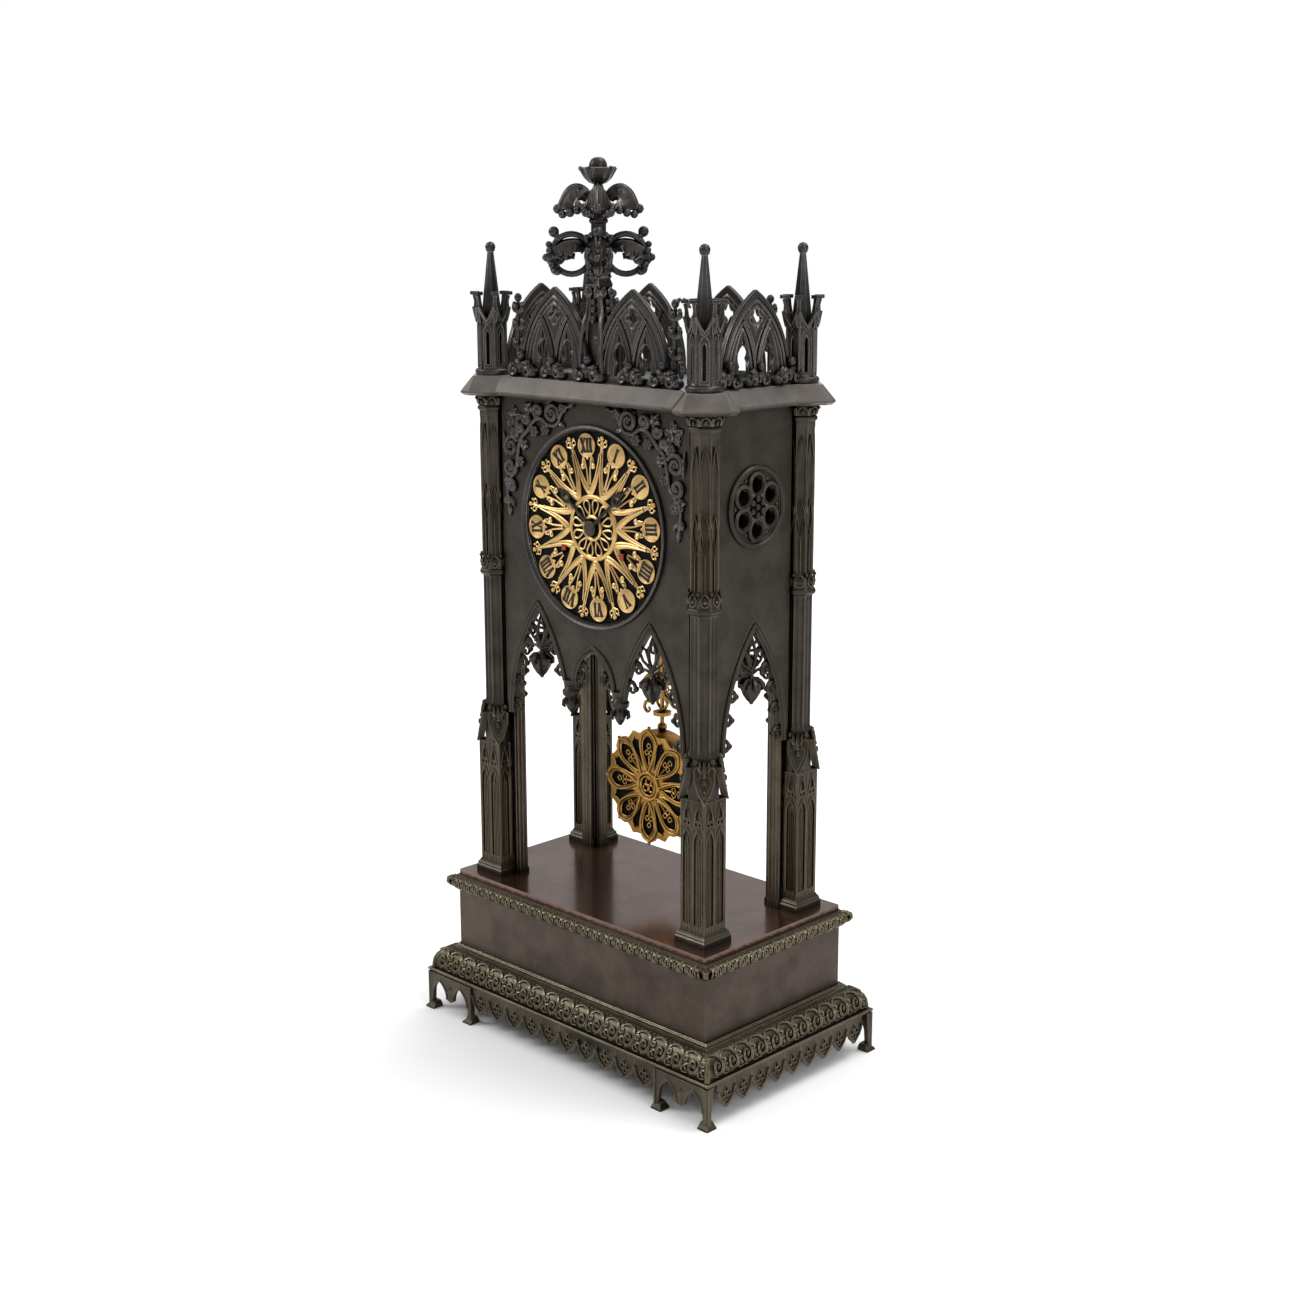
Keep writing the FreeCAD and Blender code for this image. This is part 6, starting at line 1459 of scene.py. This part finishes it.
# %% Pier and stem
FINIAL = (0, -33.85)
stem = Casting()
rings = []
for half, z in ((8, 398.4), (8, 414), (7.8, 422), (7, 429), (5.4, 435), (4.7, 440), (4.6, 448),
                (5.4, 452), (4.4, 455)):
    front = min(half, 3.05) if z < 451 else half
    rings.append([(-half, FINIAL[1] - front, z), (half, FINIAL[1] - front, z), (half, FINIAL[1] + half, z),
                  (-half, FINIAL[1] + half, z)])
stem.stack(rings)
stem.tower(FINIAL, [(4.1, 452), (4.1, 484.4), (4.9, 485.2), (5.3, 486.2), (4.9, 487.2), (4.2, 488),
                    (3.8, 494)], 8)
for turned, out in ((0, 3), (90, 7.9), (180, 7.9), (270, 7.9)):
    view = on_face(turned, FINIAL)
    narrow = 4.6 if turned else 3
    stem.leaf(view, (0, 416), (0, 430), 6.6, 1.8, 5, 0.2)
    for side in (-1, 1):
        edge_line = smooth(mirrored([(6.6, 404), (6.6, 421), (5.6, 430), (3.6, 437), (3.4, 447)], side), 4)
        depths = [out + 0.3 - max(0, z - 421) * (out - narrow) / 22 if z < 443 else narrow + 0.4
                  for _, z in edge_line]
        stem.wire([view(a, z, depth) for (a, z), depth in zip(edge_line, depths)], 1.1, up=view.out)
    for side in (-1, 1):
        stem.ball(view(side * 3.4, 447.6, narrow + 0.6), 2.5, rings=6)
        stem.flat_wire(view, spiral((side * 3.4, 447.6), 2.9, 0.8, 90, side * 1.2, 12), narrow + 1.6, 0.7)
    for z, size in ((433, 1.8), (438.4, 1.5), (442.6, 1.3)):
        stem.ball(view(0, z, narrow + 1.4 + (443 - z) * 0.05), size, (1, 1, 1.25))
stand_in(stem, "leafy_pier", dark_bronze, "finial_stem")

# %% Hub and four looped scrolls
loops = Casting()
loops.tower(FINIAL, [(4.4, 453.5), (6.4, 456), (5.4, 459), (6.8, 462.5), (7.2, 467), (6.4, 471),
                     (7.4, 474.5), (7.2, 477.5), (5, 479.4), (4.3, 480.2)], 24, 0, 0.10, 8)
for k in range(4):
    place = upright(FINIAL, 45 + 90 * k)
    ring_path = circle((15, 468.4), 10.8, 28)
    loops.wire([place(a, z) for a, z in ring_path], 1.75, up=place.side, sides=10, closed=True)
    loops.ball(place(24.6, 480.4), 3, rings=7, sides=10)
    loops.wire([place(a, z) for a, z in ((21, 476.4), (22.8, 477.8), (24.4, 479.6))], 1.9, up=place.side,
               sides=8)
    blade(loops, place, [(6, 472), (11, 475.6), (17, 475.8), (23, 473.6), (27.4, 469.6), (28.4, 465.4),
                         (26, 462.6)], [6, 9, 11.5, 12.5, 12, 9, 5], 5, 1, 1.4, 0.2, 0.75)
    blade(loops, place, [(13, 468), (18, 468.6), (23, 466.4), (26, 462.6), (25.4, 458.8), (22.6, 457.6)],
          [4, 6.5, 8.5, 8.5, 6.5, 3], 3, 0.9, 1.2, 0.22, 0.45)
    for across, a, z, size in ((4.6, 25.6, 462.6, 2), (-4.6, 25.6, 462.6, 2), (0, 29, 466.6, 2.2),
                               (4.9, 27, 470.4, 1.9), (-4.9, 27, 470.4, 1.9), (3.4, 22.4, 458.8, 1.7),
                               (-3.4, 22.4, 458.8, 1.7), (0, 27.4, 473.6, 1.9), (5.2, 20.4, 468.8, 1.8),
                               (-5.2, 20.4, 468.8, 1.8)):
        loops.ball(place(a, z, across), size)
    face = upright(FINIAL, 90 * k)
    blade(loops, face, [(5, 474), (8.2, 471.6), (9.4, 466.8), (8, 461.6), (9.2, 458.6)],
          [3.6, 5.4, 5.6, 4, 2], 3, 0.7, 1, 0.15)
    loops.ball(face(8.6, 476), 2, rings=6)
    for side in (-1, 1):
        loops.ball(face(7.2, 477.6, side * 2.6), 1.4, sides=6)
stand_in(loops, "looped_scrolls", dark_bronze, "finial_scrolls")

# %% Canopy, cup and bud
crown = Casting()
crown.tower(FINIAL, [(3.8, 486), (3.6, 498), (3, 504), (2.4, 505.5), (3.2, 507), (3.4, 508)], 16)
for k in range(4):
    place = upright(FINIAL, 45 + 90 * k)
    blade(crown, place,
          [(3.4, 499), (6.4, 503), (10.4, 505.2), (14.6, 504.8), (18.4, 501.4), (20.8, 496.4), (22, 492.2),
           (21.2, 490.2)],
          [6, 10, 13.5, 15.5, 16, 15, 11, 6], 7, 0.9, 1.3, 0.12, 0.86)
    for across, a, z, size in ((6.6, 15.6, 490.4, 2.3), (-6.6, 15.6, 490.4, 2.3), (4.6, 19.6, 489.6, 2.2),
                               (-4.6, 19.6, 489.6, 2.2), (0, 22.2, 492.6, 2.7), (7.2, 11.6, 491.8, 2.3),
                               (-7.2, 11.6, 491.8, 2.3), (6.4, 8, 493.6, 2), (-6.4, 8, 493.6, 2)):
        crown.ball(place(a, z, across), size, rings=6)
    between = upright(FINIAL, 90 * k)
    crown.wire([between(a, z) for a, z in ((3.8, 488), (5, 492), (5.2, 497))], [0.9, 1.1, 0.6],
               up=between.side)
crown.tower(FINIAL, [(2.6, 505.6), (5, 506.6), (7, 508.8), (8.1, 511.4), (9.2, 513.4), (9.6, 514.2),
                     (9, 514.6), (7.6, 513.4), (5.6, 512.4)], 60, 0, 0.075, 5)
for k in range(5):
    place = upright(FINIAL, 72 * k)
    for side in (-1, 1):
        crown.wire([place(*point) for point in ((4.4, 506.6, side * 0.8), (7, 509.4, side * 1.5),
                                                (8.8, 512.6, side * 2.2), (9.6, 514.4, side * 2.6))],
                   [0.5, 0.8, 0.8, 0.9], up=place.out)
    crown.ball(place(9.8, 514), 1.3)
crown.tower(FINIAL, [(4, 511.4), (4.9, 513), (5.1, 515), (4.7, 517.2), (3.6, 519), (2, 519.8),
                     (0.5, 520)], 24)
stand_in(crown, "canopy_and_bud", dark_bronze, "finial_crown")


# %% [markdown]
# ## The gilt dial
#
# The dial is one openwork casting, fire gilt, on a black plate. Twelve domed cartouches stand round
# it. Round the foot of each one runs a smooth U band, and the arms of two neighbouring bands meet in a
# long spike that ends in a ball. Drawn as flattened wires that swell and taper, the bands catch the
# light as the polished casting does, which a flat plate with holes could not.


# %% Buttons and flat bands on the dial
def button(cast, place, centre, profile, sides=24):
    """A round boss about a line that stands on a face. The profile lists (radius, depth)."""
    rings = []
    for radius, depth in profile:
        rings.append([place(centre[0] + radius * cos(2 * pi * k / sides),
                            centre[1] + radius * sin(2 * pi * k / sides), depth)
                      for k in range(sides)])
    return cast.stack(rings)


def hours():
    """Hour and its clockwise angle on the turned dial."""
    return [(hour, 30 * hour - DIAL_TURN) for hour in range(1, 13)]


def polar_path(points):
    """(degrees clockwise, radius) to (across, outward) about the dial's axis."""
    return [(radius * sin(radians(turned)), radius * cos(radians(turned)))
            for turned, radius in points]


# %% Cartouches, bands and spikes
dial = Casting()
band_half = [(-15.2, 50), (-14.2, 43), (-13.2, 36), (-11.6, 30), (-8, 24.8), (-3.2, 21.4)]
band_path = smooth(band_half + [(0, 20.4)] + [(-a, r) for a, r in reversed(band_half)], 4)
for hour, turned in hours():
    place = on_dial(turned, DIAL_FACE)
    button(dial, place, (0, 46.8), [(7, 0), (7.1, 0.8), (6.8, 1.35), (6.3, 1.4), (5.9, 1.05), (5.2, 1.15),
                                    (3.6, 1.4), (1.8, 1.5), (0.3, 1.52)])
    widths = []
    for _, radius in band_path:
        share = max(0, min(1, (50 - radius) / 28))
        widths.append(0.45 + 1.75 * share ** 1.1)
    dial.flat_wire(place, polar_path(band_path), 0.55, widths, sides=10, flat=0.5)
    crest = [(turned_by, radius + 0.3) for turned_by, radius in band_path if radius < 44]
    dial.flat_wire(place, polar_path(crest), 1.45, [0.5] * len(crest))
    inner = 30.5 if hour in (4, 8) else 24.5
    for side in (-1, 1):
        rod = mirrored([(0.7, inner), (1.3, 33), (3.2, 41)], side)
        dial.flat_wire(place, rod, 0.6, [0.75, 0.6, 0.7], sides=7)
        swirl = spiral((side * 4.3, 35.2), 1.9, 0.5, 90, side * 1.3, 12)
        dial.flat_wire(place, swirl, 0.8, [0.65] * 13)
        dial.ball(place(side * 4.3, 35.2, 0.9), 0.8, rings=4, sides=6)
        dial.ball(place(side * 3.2, 38.6, 0.8), 1, sides=6)
        dial.flat_wire(place, [(side * 4.6, 37), (side * 4, 40.2)], 0.6, 0.55)
    dial.ball(place(0, 39.6, 0.7), 1, sides=6)
    spike = on_dial(turned + 15, DIAL_FACE)
    dial.flat_wire(spike, [(0, 38), (0, 46), (0, 51.6)], 0.8, [0.5, 0.75, 0.55], sides=7)
    dial.ball(spike(0, 52.2, 0.9), 1.55, rings=6, sides=10)
    for side in (-1, 1):
        dial.flat_wire(spike, circle((side * 2.3, 49.2), 1.35, 12), 0.7, 0.5, closed=True)
        dial.flat_wire(spike, [(0, 46.4), (side * 2.2, 47.8)], 0.7, 0.5)
        dial.ball(spike(side * 2.9, 51.4, 0.7), 0.8, sides=6)
    petal = [(0, 7.6), (1.2, 10), (2.25, 13), (2, 15.2), (0, 16.4), (-2, 15.2), (-2.25, 13),
             (-1.2, 10)]
    dial.flat_wire(spike, smooth(petal + petal[:1], 2)[:-1], 0.7, 0.62, closed=True)
    dial.ball(place(0, 20.4, 0.7), 1.15)
dial.turned((0, DIAL_Z), [(16.4, -DIAL_FACE), (16.5, -DIAL_FACE - 1), (17, -DIAL_FACE - 1.5),
                          (17.8, -DIAL_FACE - 1.6), (18.6, -DIAL_FACE - 1.2), (19.2, -DIAL_FACE - 0.7),
                          (19.4, -DIAL_FACE)], 72)
dial.turned((0, DIAL_Z), [(5.4, -DIAL_FACE), (5.5, -DIAL_FACE - 1.4), (6.4, -DIAL_FACE - 1.9),
                          (7.5, -DIAL_FACE - 1.4), (7.9, -DIAL_FACE)], 48)
stand_in(dial, "openwork_dial", dial_gilt, "gilt_dial")


# %% Black numerals
def stroke(a, b, width):
    """Slanted bar with square ends between two points."""
    run = Vector((b[0] - a[0], b[1] - a[1])).normalized()
    side = Vector((-run.y, run.x)) * width / 2
    return [(a[0] - side.x, a[1] - side.y), (b[0] - side.x, b[1] - side.y), (b[0] + side.x, b[1] + side.y),
            (a[0] + side.x, a[1] + side.y)]


GLYPHS = {
    "I": (2.4, [stroke((1.2, -4.1), (1.2, 4.1), 1.45), stroke((0.2, 3.9), (2.2, 3.9), 0.55),
                stroke((0.2, -3.9), (2.2, -3.9), 0.55)]),
    "V": (4.5, [stroke((0.8, 4), (2.4, -4.1), 1.6), stroke((3.8, 4), (2.4, -4.1), 0.7),
                stroke((0, 3.9), (1.8, 3.9), 0.55), stroke((3, 3.9), (4.5, 3.9), 0.55)]),
    "X": (4.5, [stroke((0.8, 4), (3.7, -4), 1.6), stroke((3.8, 4), (0.7, -4), 0.7),
                stroke((0, 3.9), (1.8, 3.9), 0.55), stroke((3, 3.9), (4.5, 3.9), 0.55),
                stroke((0, -3.9), (1.6, -3.9), 0.55), stroke((2.8, -3.9), (4.5, -3.9), 0.55)]),
}
ROMAN = {1: "I", 2: "II", 3: "III", 4: "IIII", 5: "V", 6: "VI", 7: "VII", 8: "VIII", 9: "IX", 10: "X",
         11: "XI", 12: "XII"}
numerals = Casting()
for hour, turned in hours():
    place = on_dial(turned, DIAL_FACE)
    letters = ROMAN[hour]
    total = sum(GLYPHS[letter][0] for letter in letters)
    shrink = min(1, 10.2 / total)
    left = -total * shrink / 2
    for order, letter in enumerate(letters):
        wide, bars = GLYPHS[letter]
        for layer, bar in enumerate(bars):
            lift = 1.72 + 0.02 * layer
            outline = [(left + x * shrink, 46.8 + z * 0.98) for x, z in bar]
            numerals.plate(place, outline, [], 0.9, lift)
        left += wide * shrink
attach(piece_of(numerals, "hour_numerals", hand_black), "case")

# %% Bezel, hands and winding squares
bezel = Casting()
bezel.turned((0, DIAL_Z), [(54.95, -37), (54.95, -41), (58.3, -41), (58.3, -42), (57.9, -42.8),
                           (57, -43.1), (56.2, -42.7), (55.6, -41.8), (55, -40.6), (54.4, -39.7),
                           (54.35, -37)], 120)
stand_in(bezel, "concave_bezel", dark_bronze, "bezel")


def hand(turned, plane, length, eye, wide):
    """Black hand with a ring-shaped eye. The plane is its middle, before the clock's middle."""
    cast = Casting()
    place = on_dial(turned, plane)
    cast.flat_wire(place, [(0, 2), (0, 12), (0, eye - 2.4)], 0, [1.3, 1.05, 0.95], flat=0.25)
    cast.flat_wire(place, circle((0, eye), 2.9, 24), 0, wide, closed=True, flat=0.3)
    cast.flat_wire(place, [(0, eye + 2.6), (0, eye + 6), (0, length)], 0, [1.1, 0.8, 0.35],
                   flat=0.3)
    return cast, place


minute, place = hand(50, 42.75, 43, 28.2, 1.05)
stand_in(minute, "ring_minute_hand", hand_black, "minute_hand")
collet = Casting()
button(collet, place, (0, 0), [(3.6, -0.4), (4.4, -0.1), (4.5, 0.4), (4.1, 0.8), (3.2, 1.1), (1.8, 1.3),
                               (0.4, 1.35)])
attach(piece_of(collet, "centre_boss", boss_brown), "minute")
hour_hand, place = hand(-52, 41.85, 33, 26.2, 1)
button(hour_hand, place, (0, 0), [(3.2, -0.24), (3.4, 0), (3.2, 0.24)])
stand_in(hour_hand, "ring_hour_hand", hand_black, "hour_hand")
for side, body in ((1, "going_barrel"), (-1, "strike_barrel")):
    square = Casting()
    x, z = side * 23.6, DIAL_Z - 13.6
    square.stack([[(x + a * w, y, z + b * w) for a, b in ((-1, -1), (1, -1), (1, 1), (-1, 1))]
                  for w, y in ((1.7, -39.6), (1.7, -41.2), (1.2, -41.5))])
    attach(piece_of(square, "winding_square_" + body, rust), body)

# %% [markdown]
# ## Vine mounts
#
# Two mirrored mounts fill the corners above the dial. A wavy stem runs round the bezel and sends out
# thick scrolls with rolled ends, bunches of grapes and broad five-lobed leaves.

# %% Vines
vines = Casting()
front = on_face()
DEPTH = 42


def raised(across, height, out):
    return front(across, height, 41 + out)


for side in (-1, 1):
    stem_points = smooth([(13.6, 384.6), (19, 383.6), (23, 379.6), (27, 373.4), (34, 372.4), (40, 375.6),
                          (46, 374.2), (52, 368), (58, 362.6), (60.4, 355), (61.6, 347), (66, 340.4),
                          (70, 335), (69.6, 327), (68.2, 319.4)], 4)
    vines.flat_wire(front, mirrored(stem_points, side), DEPTH, [0.7 + 0.6 * sin(pi * i / len(stem_points))
                                                                for i in range(len(stem_points))], sides=8)
    for cx, cz, big, start, turns in ((31, 379.2, 6.4, 200, -1.5), (42.6, 380.2, 4.4, 250, 1.4),
                                      (22, 383.4, 2.6, 150, 1.2), (66.4, 357.8, 6.6, 150, -1.5),
                                      (67.4, 345.8, 5.4, 190, 1.4), (52.6, 375.2, 3.6, 30, -1.2),
                                      (57.6, 368.4, 3, 300, 1.3), (66.6, 334.6, 3.4, 60, 1.3),
                                      (70.2, 325.6, 2.4, 200, -1.2)):
        curl = spiral((cx, cz), big, big * 0.24, start, turns, 20)
        thickness = [0.9 + 0.75 * sin(pi * min(1, 0.2 + i / 26)) for i in range(21)]
        vines.flat_wire(front, mirrored(curl, side), DEPTH, thickness, sides=8)
        vines.ball(front(side * cx, cz, DEPTH + 0.3), 1.6)
    for (cx, cz), reach, wide, first in (((64.4, 374.6), 7.6, 6.6, 20), ((50.6, 381), 4.6, 4.4, 50),
                                         ((69.6, 337.4), 4.4, 4.4, 300), ((55.4, 359.6), 3.8, 3.8, 200)):
        for k in range(5):
            angle = radians(first + 72 * k)
            tip = (cx + reach * cos(angle), cz + reach * sin(angle))
            vines.leaf(raised, *mirrored([(cx, cz), tip], side), wide, 2, 5, 0.2)
        vines.ball(front(side * cx, cz, DEPTH), 1.2)
    for cx, cz in ((36.6, 369.6), (46, 368.2), (58.6, 349.6), (63.4, 366.4)):
        for k in range(7):
            angle = radians(60 * k)
            reach = 0 if k == 6 else 2.2
            vines.ball(front(side * (cx + reach * cos(angle)), cz + reach * sin(angle), DEPTH + 0.1), 1.4,
                       sides=7)
    for root, tip, wide in (((18, 383), (12.4, 386.2), 3), ((26, 375), (20.6, 372.4), 4),
                            ((69.4, 324), (68.4, 316.4), 3.8), ((68.6, 328), (64.6, 322), 4),
                            ((60.6, 362), (60.4, 369.8), 4), ((71.4, 352), (73.2, 366.4), 3.4),
                            ((36, 384.2), (29.6, 386.4), 3)):
        vines.leaf(raised, *mirrored([root, tip], side), wide, 1.9, 3, 0.2)
stand_in(vines, "vine_scrolls", dark_bronze, "vine_mounts")

# %% [markdown]
# ## The pendulum
#
# The gilt pendulum hangs in the open space below the case: a rod, a pair of rings with crossing
# scrolls, a collar, and a drum-shaped bob. The bob's front is an eight-petalled rose with a small
# trefoil in each petal. It swings as one piece, so every detail rides with it.

# %% Rod and fleuron
ROD_Y, BOB_Z = 16, 154.5
view = on_face(0, (0, ROD_Y))
rod = Casting()
rod.tower((0, ROD_Y), [(1.3, 186), (1.3, 353), (2, 354), (2.1, 356.4), (1.2, 357.4)], 16)
rod.tower((0, ROD_Y), [(2, 187.2), (2.9, 188.4), (2.9, 190.2), (1.8, 191.4)], 16)
rod.tower((0, ROD_Y), [(1.4, 196.2), (5.6, 196.8), (5.6, 198.8), (1.4, 199.4)], 24)
for side in (-1, 1):
    eye = (side * 8.2, 213)
    for radius, wire_radius in ((7, 1.15), (4.9, 0.6)):
        rod.flat_wire(view, circle(eye, radius, 32), 0, wire_radius, sides=8, closed=True)
    for k in range(4):
        angle = radians(90 * k + 45)
        small = (eye[0] + 2.5 * cos(angle), eye[1] + 2.5 * sin(angle))
        rod.flat_wire(view, circle(small, 1.75, 12), 0, 0.55, closed=True)
    rod.ball(view(eye[0], eye[1], 0.4), 1.1)
    sweep = smooth(mirrored([(1.2, 200), (4.6, 204.2), (1, 209.6), (-1.6, 216), (-4.4, 222.6), (-1, 228),
                             (0, 234)], side), 4)
    rod.flat_wire(view, sweep, 0.4 * side, 1, sides=8)
    tail = smooth(mirrored([(6.4, 206.2), (9.4, 203.4), (13.2, 202.6), (15, 199), (12.6, 196.4),
                            (10.2, 197.8), (11.4, 199.6)], side), 3)
    rod.flat_wire(view, tail, 0, [1.1] * 12 + [1, 0.9, 0.9, 0.8, 0.8, 0.7, 0.7], sides=7)
    top_curl = spiral((side * 4.4, 225.4), 2.8, 0.8, 250 if side > 0 else -70, side * 1.2, 14)
    rod.flat_wire(view, top_curl, 0, 0.8, sides=7)
    rod.ball(view(side * 15.9, 213, 0), 1.4)
stand_in(rod, "rod_and_fleuron", bob_gilt, "pendulum_rod")

# %% Bob and its rose
bob = Casting()
bob_face = on_face()


def on_bob(across, height, out):
    """Depth counts forward from the front of the drum."""
    return bob_face(across, BOB_Z + height, out - 5.2)


on_bob.out = bob_face.out
button(bob, on_bob, (0, 0), [(31, -15.3), (32.2, -14.6), (32.5, -13.6), (32.5, -1), (32, -0.2), (31, 0)],
       72)


def spun(points, turned):
    cosine, sine = cos(radians(turned)), sin(radians(turned))
    return [(a * cosine - b * sine, a * sine + b * cosine) for a, b in points]


half_petal = [(0, 8.6), (2.2, 12.2), (4.4, 17), (6.1, 22.2), (6.5, 26.6), (5, 30.8), (0, 34.6)]
petal = smooth(half_petal + [(-a, b) for a, b in reversed(half_petal[:-1])], 3)[:-1]
inside = [(a * 0.76, 8.6 + (b - 8.6) * 0.80 + 2.4) for a, b in petal]
scallop = []
for k in range(8):
    scallop += spun([(6.4, 31.6), (5.2, 33.6), (2.6, 35), (0, 35.8), (-2.6, 35), (-5.2, 33.6),
                     (-6.4, 31.6)], 45 * k)
    scallop += spun([(3.4, 32.6), (0, 34.8), (-3.4, 32.6)], 45 * k + 22.5)
drop_half = [(0, 11.6), (0.9, 14), (1.5, 18), (2.3, 22), (3.3, 26.4), (3.5, 28.6), (1.7, 29.4), (0, 31.4)]
drop_hole = drop_half + [(-a, b) for a, b in reversed(drop_half[1:-1])]
holes = [spun(inside, 45 * k) for k in range(8)] + [spun(drop_hole, 45 * k + 22.5) for k in range(8)]
holes.append(circle((0, 0), 5.6, 24))
bob.plate(on_bob, scallop, holes, 0.05, 1.3)
for k in range(8):
    bob.flat_wire(on_bob, spun(petal, 45 * k), 1.4, 0.85, sides=8, closed=True)
    bob.flat_wire(on_bob, spun(inside, 45 * k), 1.3, 0.55, closed=True)
    for a, b in ((0, 24.8), (1.65, 20.6), (-1.65, 20.6)):
        bob.flat_wire(on_bob, spun(circle((a, b), 1.45, 12), 45 * k), 0.6, 0.55, closed=True)
    bob.flat_wire(on_bob, spun([(0, 13.2), (0, 18.6)], 45 * k), 0.5, 0.7)
    bob.flat_wire(on_bob, spun(drop_hole, 45 * k + 22.5), 1.2, 0.5, closed=True)
    bob.ball(on_bob(*spun([(0, 36)], 45 * k)[0], 0.6), 1.1)
for radius, wire_radius in ((8.2, 1.2), (6, 0.7)):
    bob.flat_wire(on_bob, circle((0, 0), radius, 40), 1.4, wire_radius, sides=8, closed=True)
for a, b in ((0, 2.6), (2.3, -1.4), (-2.3, -1.4)):
    bob.flat_wire(on_bob, circle((a, b), 2.1, 14), 0.9, 0.7, closed=True)
stand_in(bob, "rose_bob", bob_gilt, "pendulum_bob")
# A black disc behind the rose paints shade into its openings.
backing = Casting()
button(backing, on_bob, (0, 0), [(31.2, -0.1), (31.2, 0.16)], 48)
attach(piece_of(backing, "bob_backing", enamel), "pendulum")


# %% [markdown]
# ## Pieces kept from the solid model
#
# Flat, turned and hidden pieces are right as the solid model has them. They only receive their finish:
# the materials go into the slots, and the meshes stay untouched.

# %% Finish the kept pieces
KEPT = {
    red_bronze: ["plinth_box"],
    table_bronze: ["platform"],
    slab_bronze: ["top_slab"],
    enamel: ["dial_plate"],
    brass: ["front_plate", "back_plate", "movement_pillars", "back_cock", "going_barrel", "strike_barrel",
            "second_wheel", "centre_wheel", "third_wheel", "escape_wheel", "cannon_pinion", "minute_wheel",
            "hour_wheel", "rear_door", "rear_bezel"],
    steel: ["anchor", "hammer", "bell_stand"],
    bell_metal: ["bell"],
}
by_node = {name: material for material, names in KEPT.items() for name in names}
for name, solid_piece in nodes.items():
    material = by_node.get(name, column_bronze)
    if not solid_piece.material_slots:
        solid_piece.data.materials.append(material)
    for slot in solid_piece.material_slots:
        slot.material = material
print("kept pieces with a finish:", len(by_node))

# %% [markdown]
# ## Studio floor and light
#
# The picture is a plain product shot: white all round, with a soft shadow under the base that spreads
# towards the front left. A broad soft sun stands high behind the right corner, and the sky is dim near
# the horizon, so that little light creeps under the clock. The camera sees a plain white backdrop.

# %% Floor, backdrop and lamps
floor_casting = Casting()
floor_casting.stack([[(-4000, -4000, z), (4000, -4000, z), (4000, 4000, z), (-4000, 4000, z)]
                     for z in (-6, 0)])
floor_material = bpy.data.materials.new("studio_floor")
floor_material.use_nodes = True
tree = floor_material.node_tree
shader = tree.nodes["Principled BSDF"]
fill(shader, {"Roughness": 0.75, "Specular IOR Level": 0.2})
coords = node(tree, "ShaderNodeTexCoord", -900, 0)
cloud = node(tree, "ShaderNodeTexNoise", -700, 0, {"Scale": 1.5})
tone = node(tree, "ShaderNodeMapRange", -480, 0, {"To Min": 0.90, "To Max": 0.92})
join(tree, (coords, "Object", cloud, "Vector"), (cloud, "Fac", tone, "Value"),
     (tone, "Result", shader, "Base Color"))
floor = piece_of(floor_casting, "studio_floor", floor_material)

world = bpy.data.worlds.new("studio_white")
bpy.context.scene.world = world
world.use_nodes = True
tree = world.node_tree
sky = tree.nodes["Background"]
place = node(tree, "ShaderNodeTexCoord", -900, 0)
axes = node(tree, "ShaderNodeSeparateXYZ", -700, 0)
height = node(tree, "ShaderNodeMapRange", -500, 0, {"From Max": 0.6, "To Min": 0.10, "To Max": 0.96})
white = node(tree, "ShaderNodeBackground", 0, -200)
rays = node(tree, "ShaderNodeLightPath", -400, 300)
either = node(tree, "ShaderNodeMixShader", 260, 100)
for source in (sky, white):
    fill(source, {"Color": (1, 1, 1, 1)})
join(tree, (place, "Generated", axes, "Vector"), (axes, "Z", height, "Value"),
     (height, "Result", sky, "Strength"), (rays, "Is Camera Ray", either, "Fac"),
     (sky, "Background", either, 1), (white, "Background", either, 2),
     (either, "Shader", tree.nodes["World Output"], "Surface"))


def lamp(name, place, size, power, aim=(0, 0, 0.25)):
    data = bpy.data.lights.new(name, "AREA")
    data.shape = "DISK"
    data.size = size
    data.energy = power
    made = bpy.data.objects.new(name, data)
    made.location = place
    made.rotation_euler = (Vector(aim) - Vector(place)).to_track_quat("-Z", "Y").to_euler()
    bpy.context.scene.collection.objects.link(made)
    return made


lamps = [lamp("key_left", (-1.5, -1.3, 1.6), 0.9, 20), lamp("fill_right", (1.9, -0.3, 1.1), 0.9, 9)]
sun_data = bpy.data.lights.new("soft_sun", "SUN")
sun_data.energy = 1.5
sun_data.angle = radians(34)
sun = bpy.data.objects.new("soft_sun", sun_data)
sun.rotation_euler = Vector((-0.30, -0.62, -1.5)).to_track_quat("-Z", "Y").to_euler()
bpy.context.scene.collection.objects.link(sun)
view = bpy.context.scene.view_settings
view.view_transform = "Standard"
print("lamps:", len(lamps))
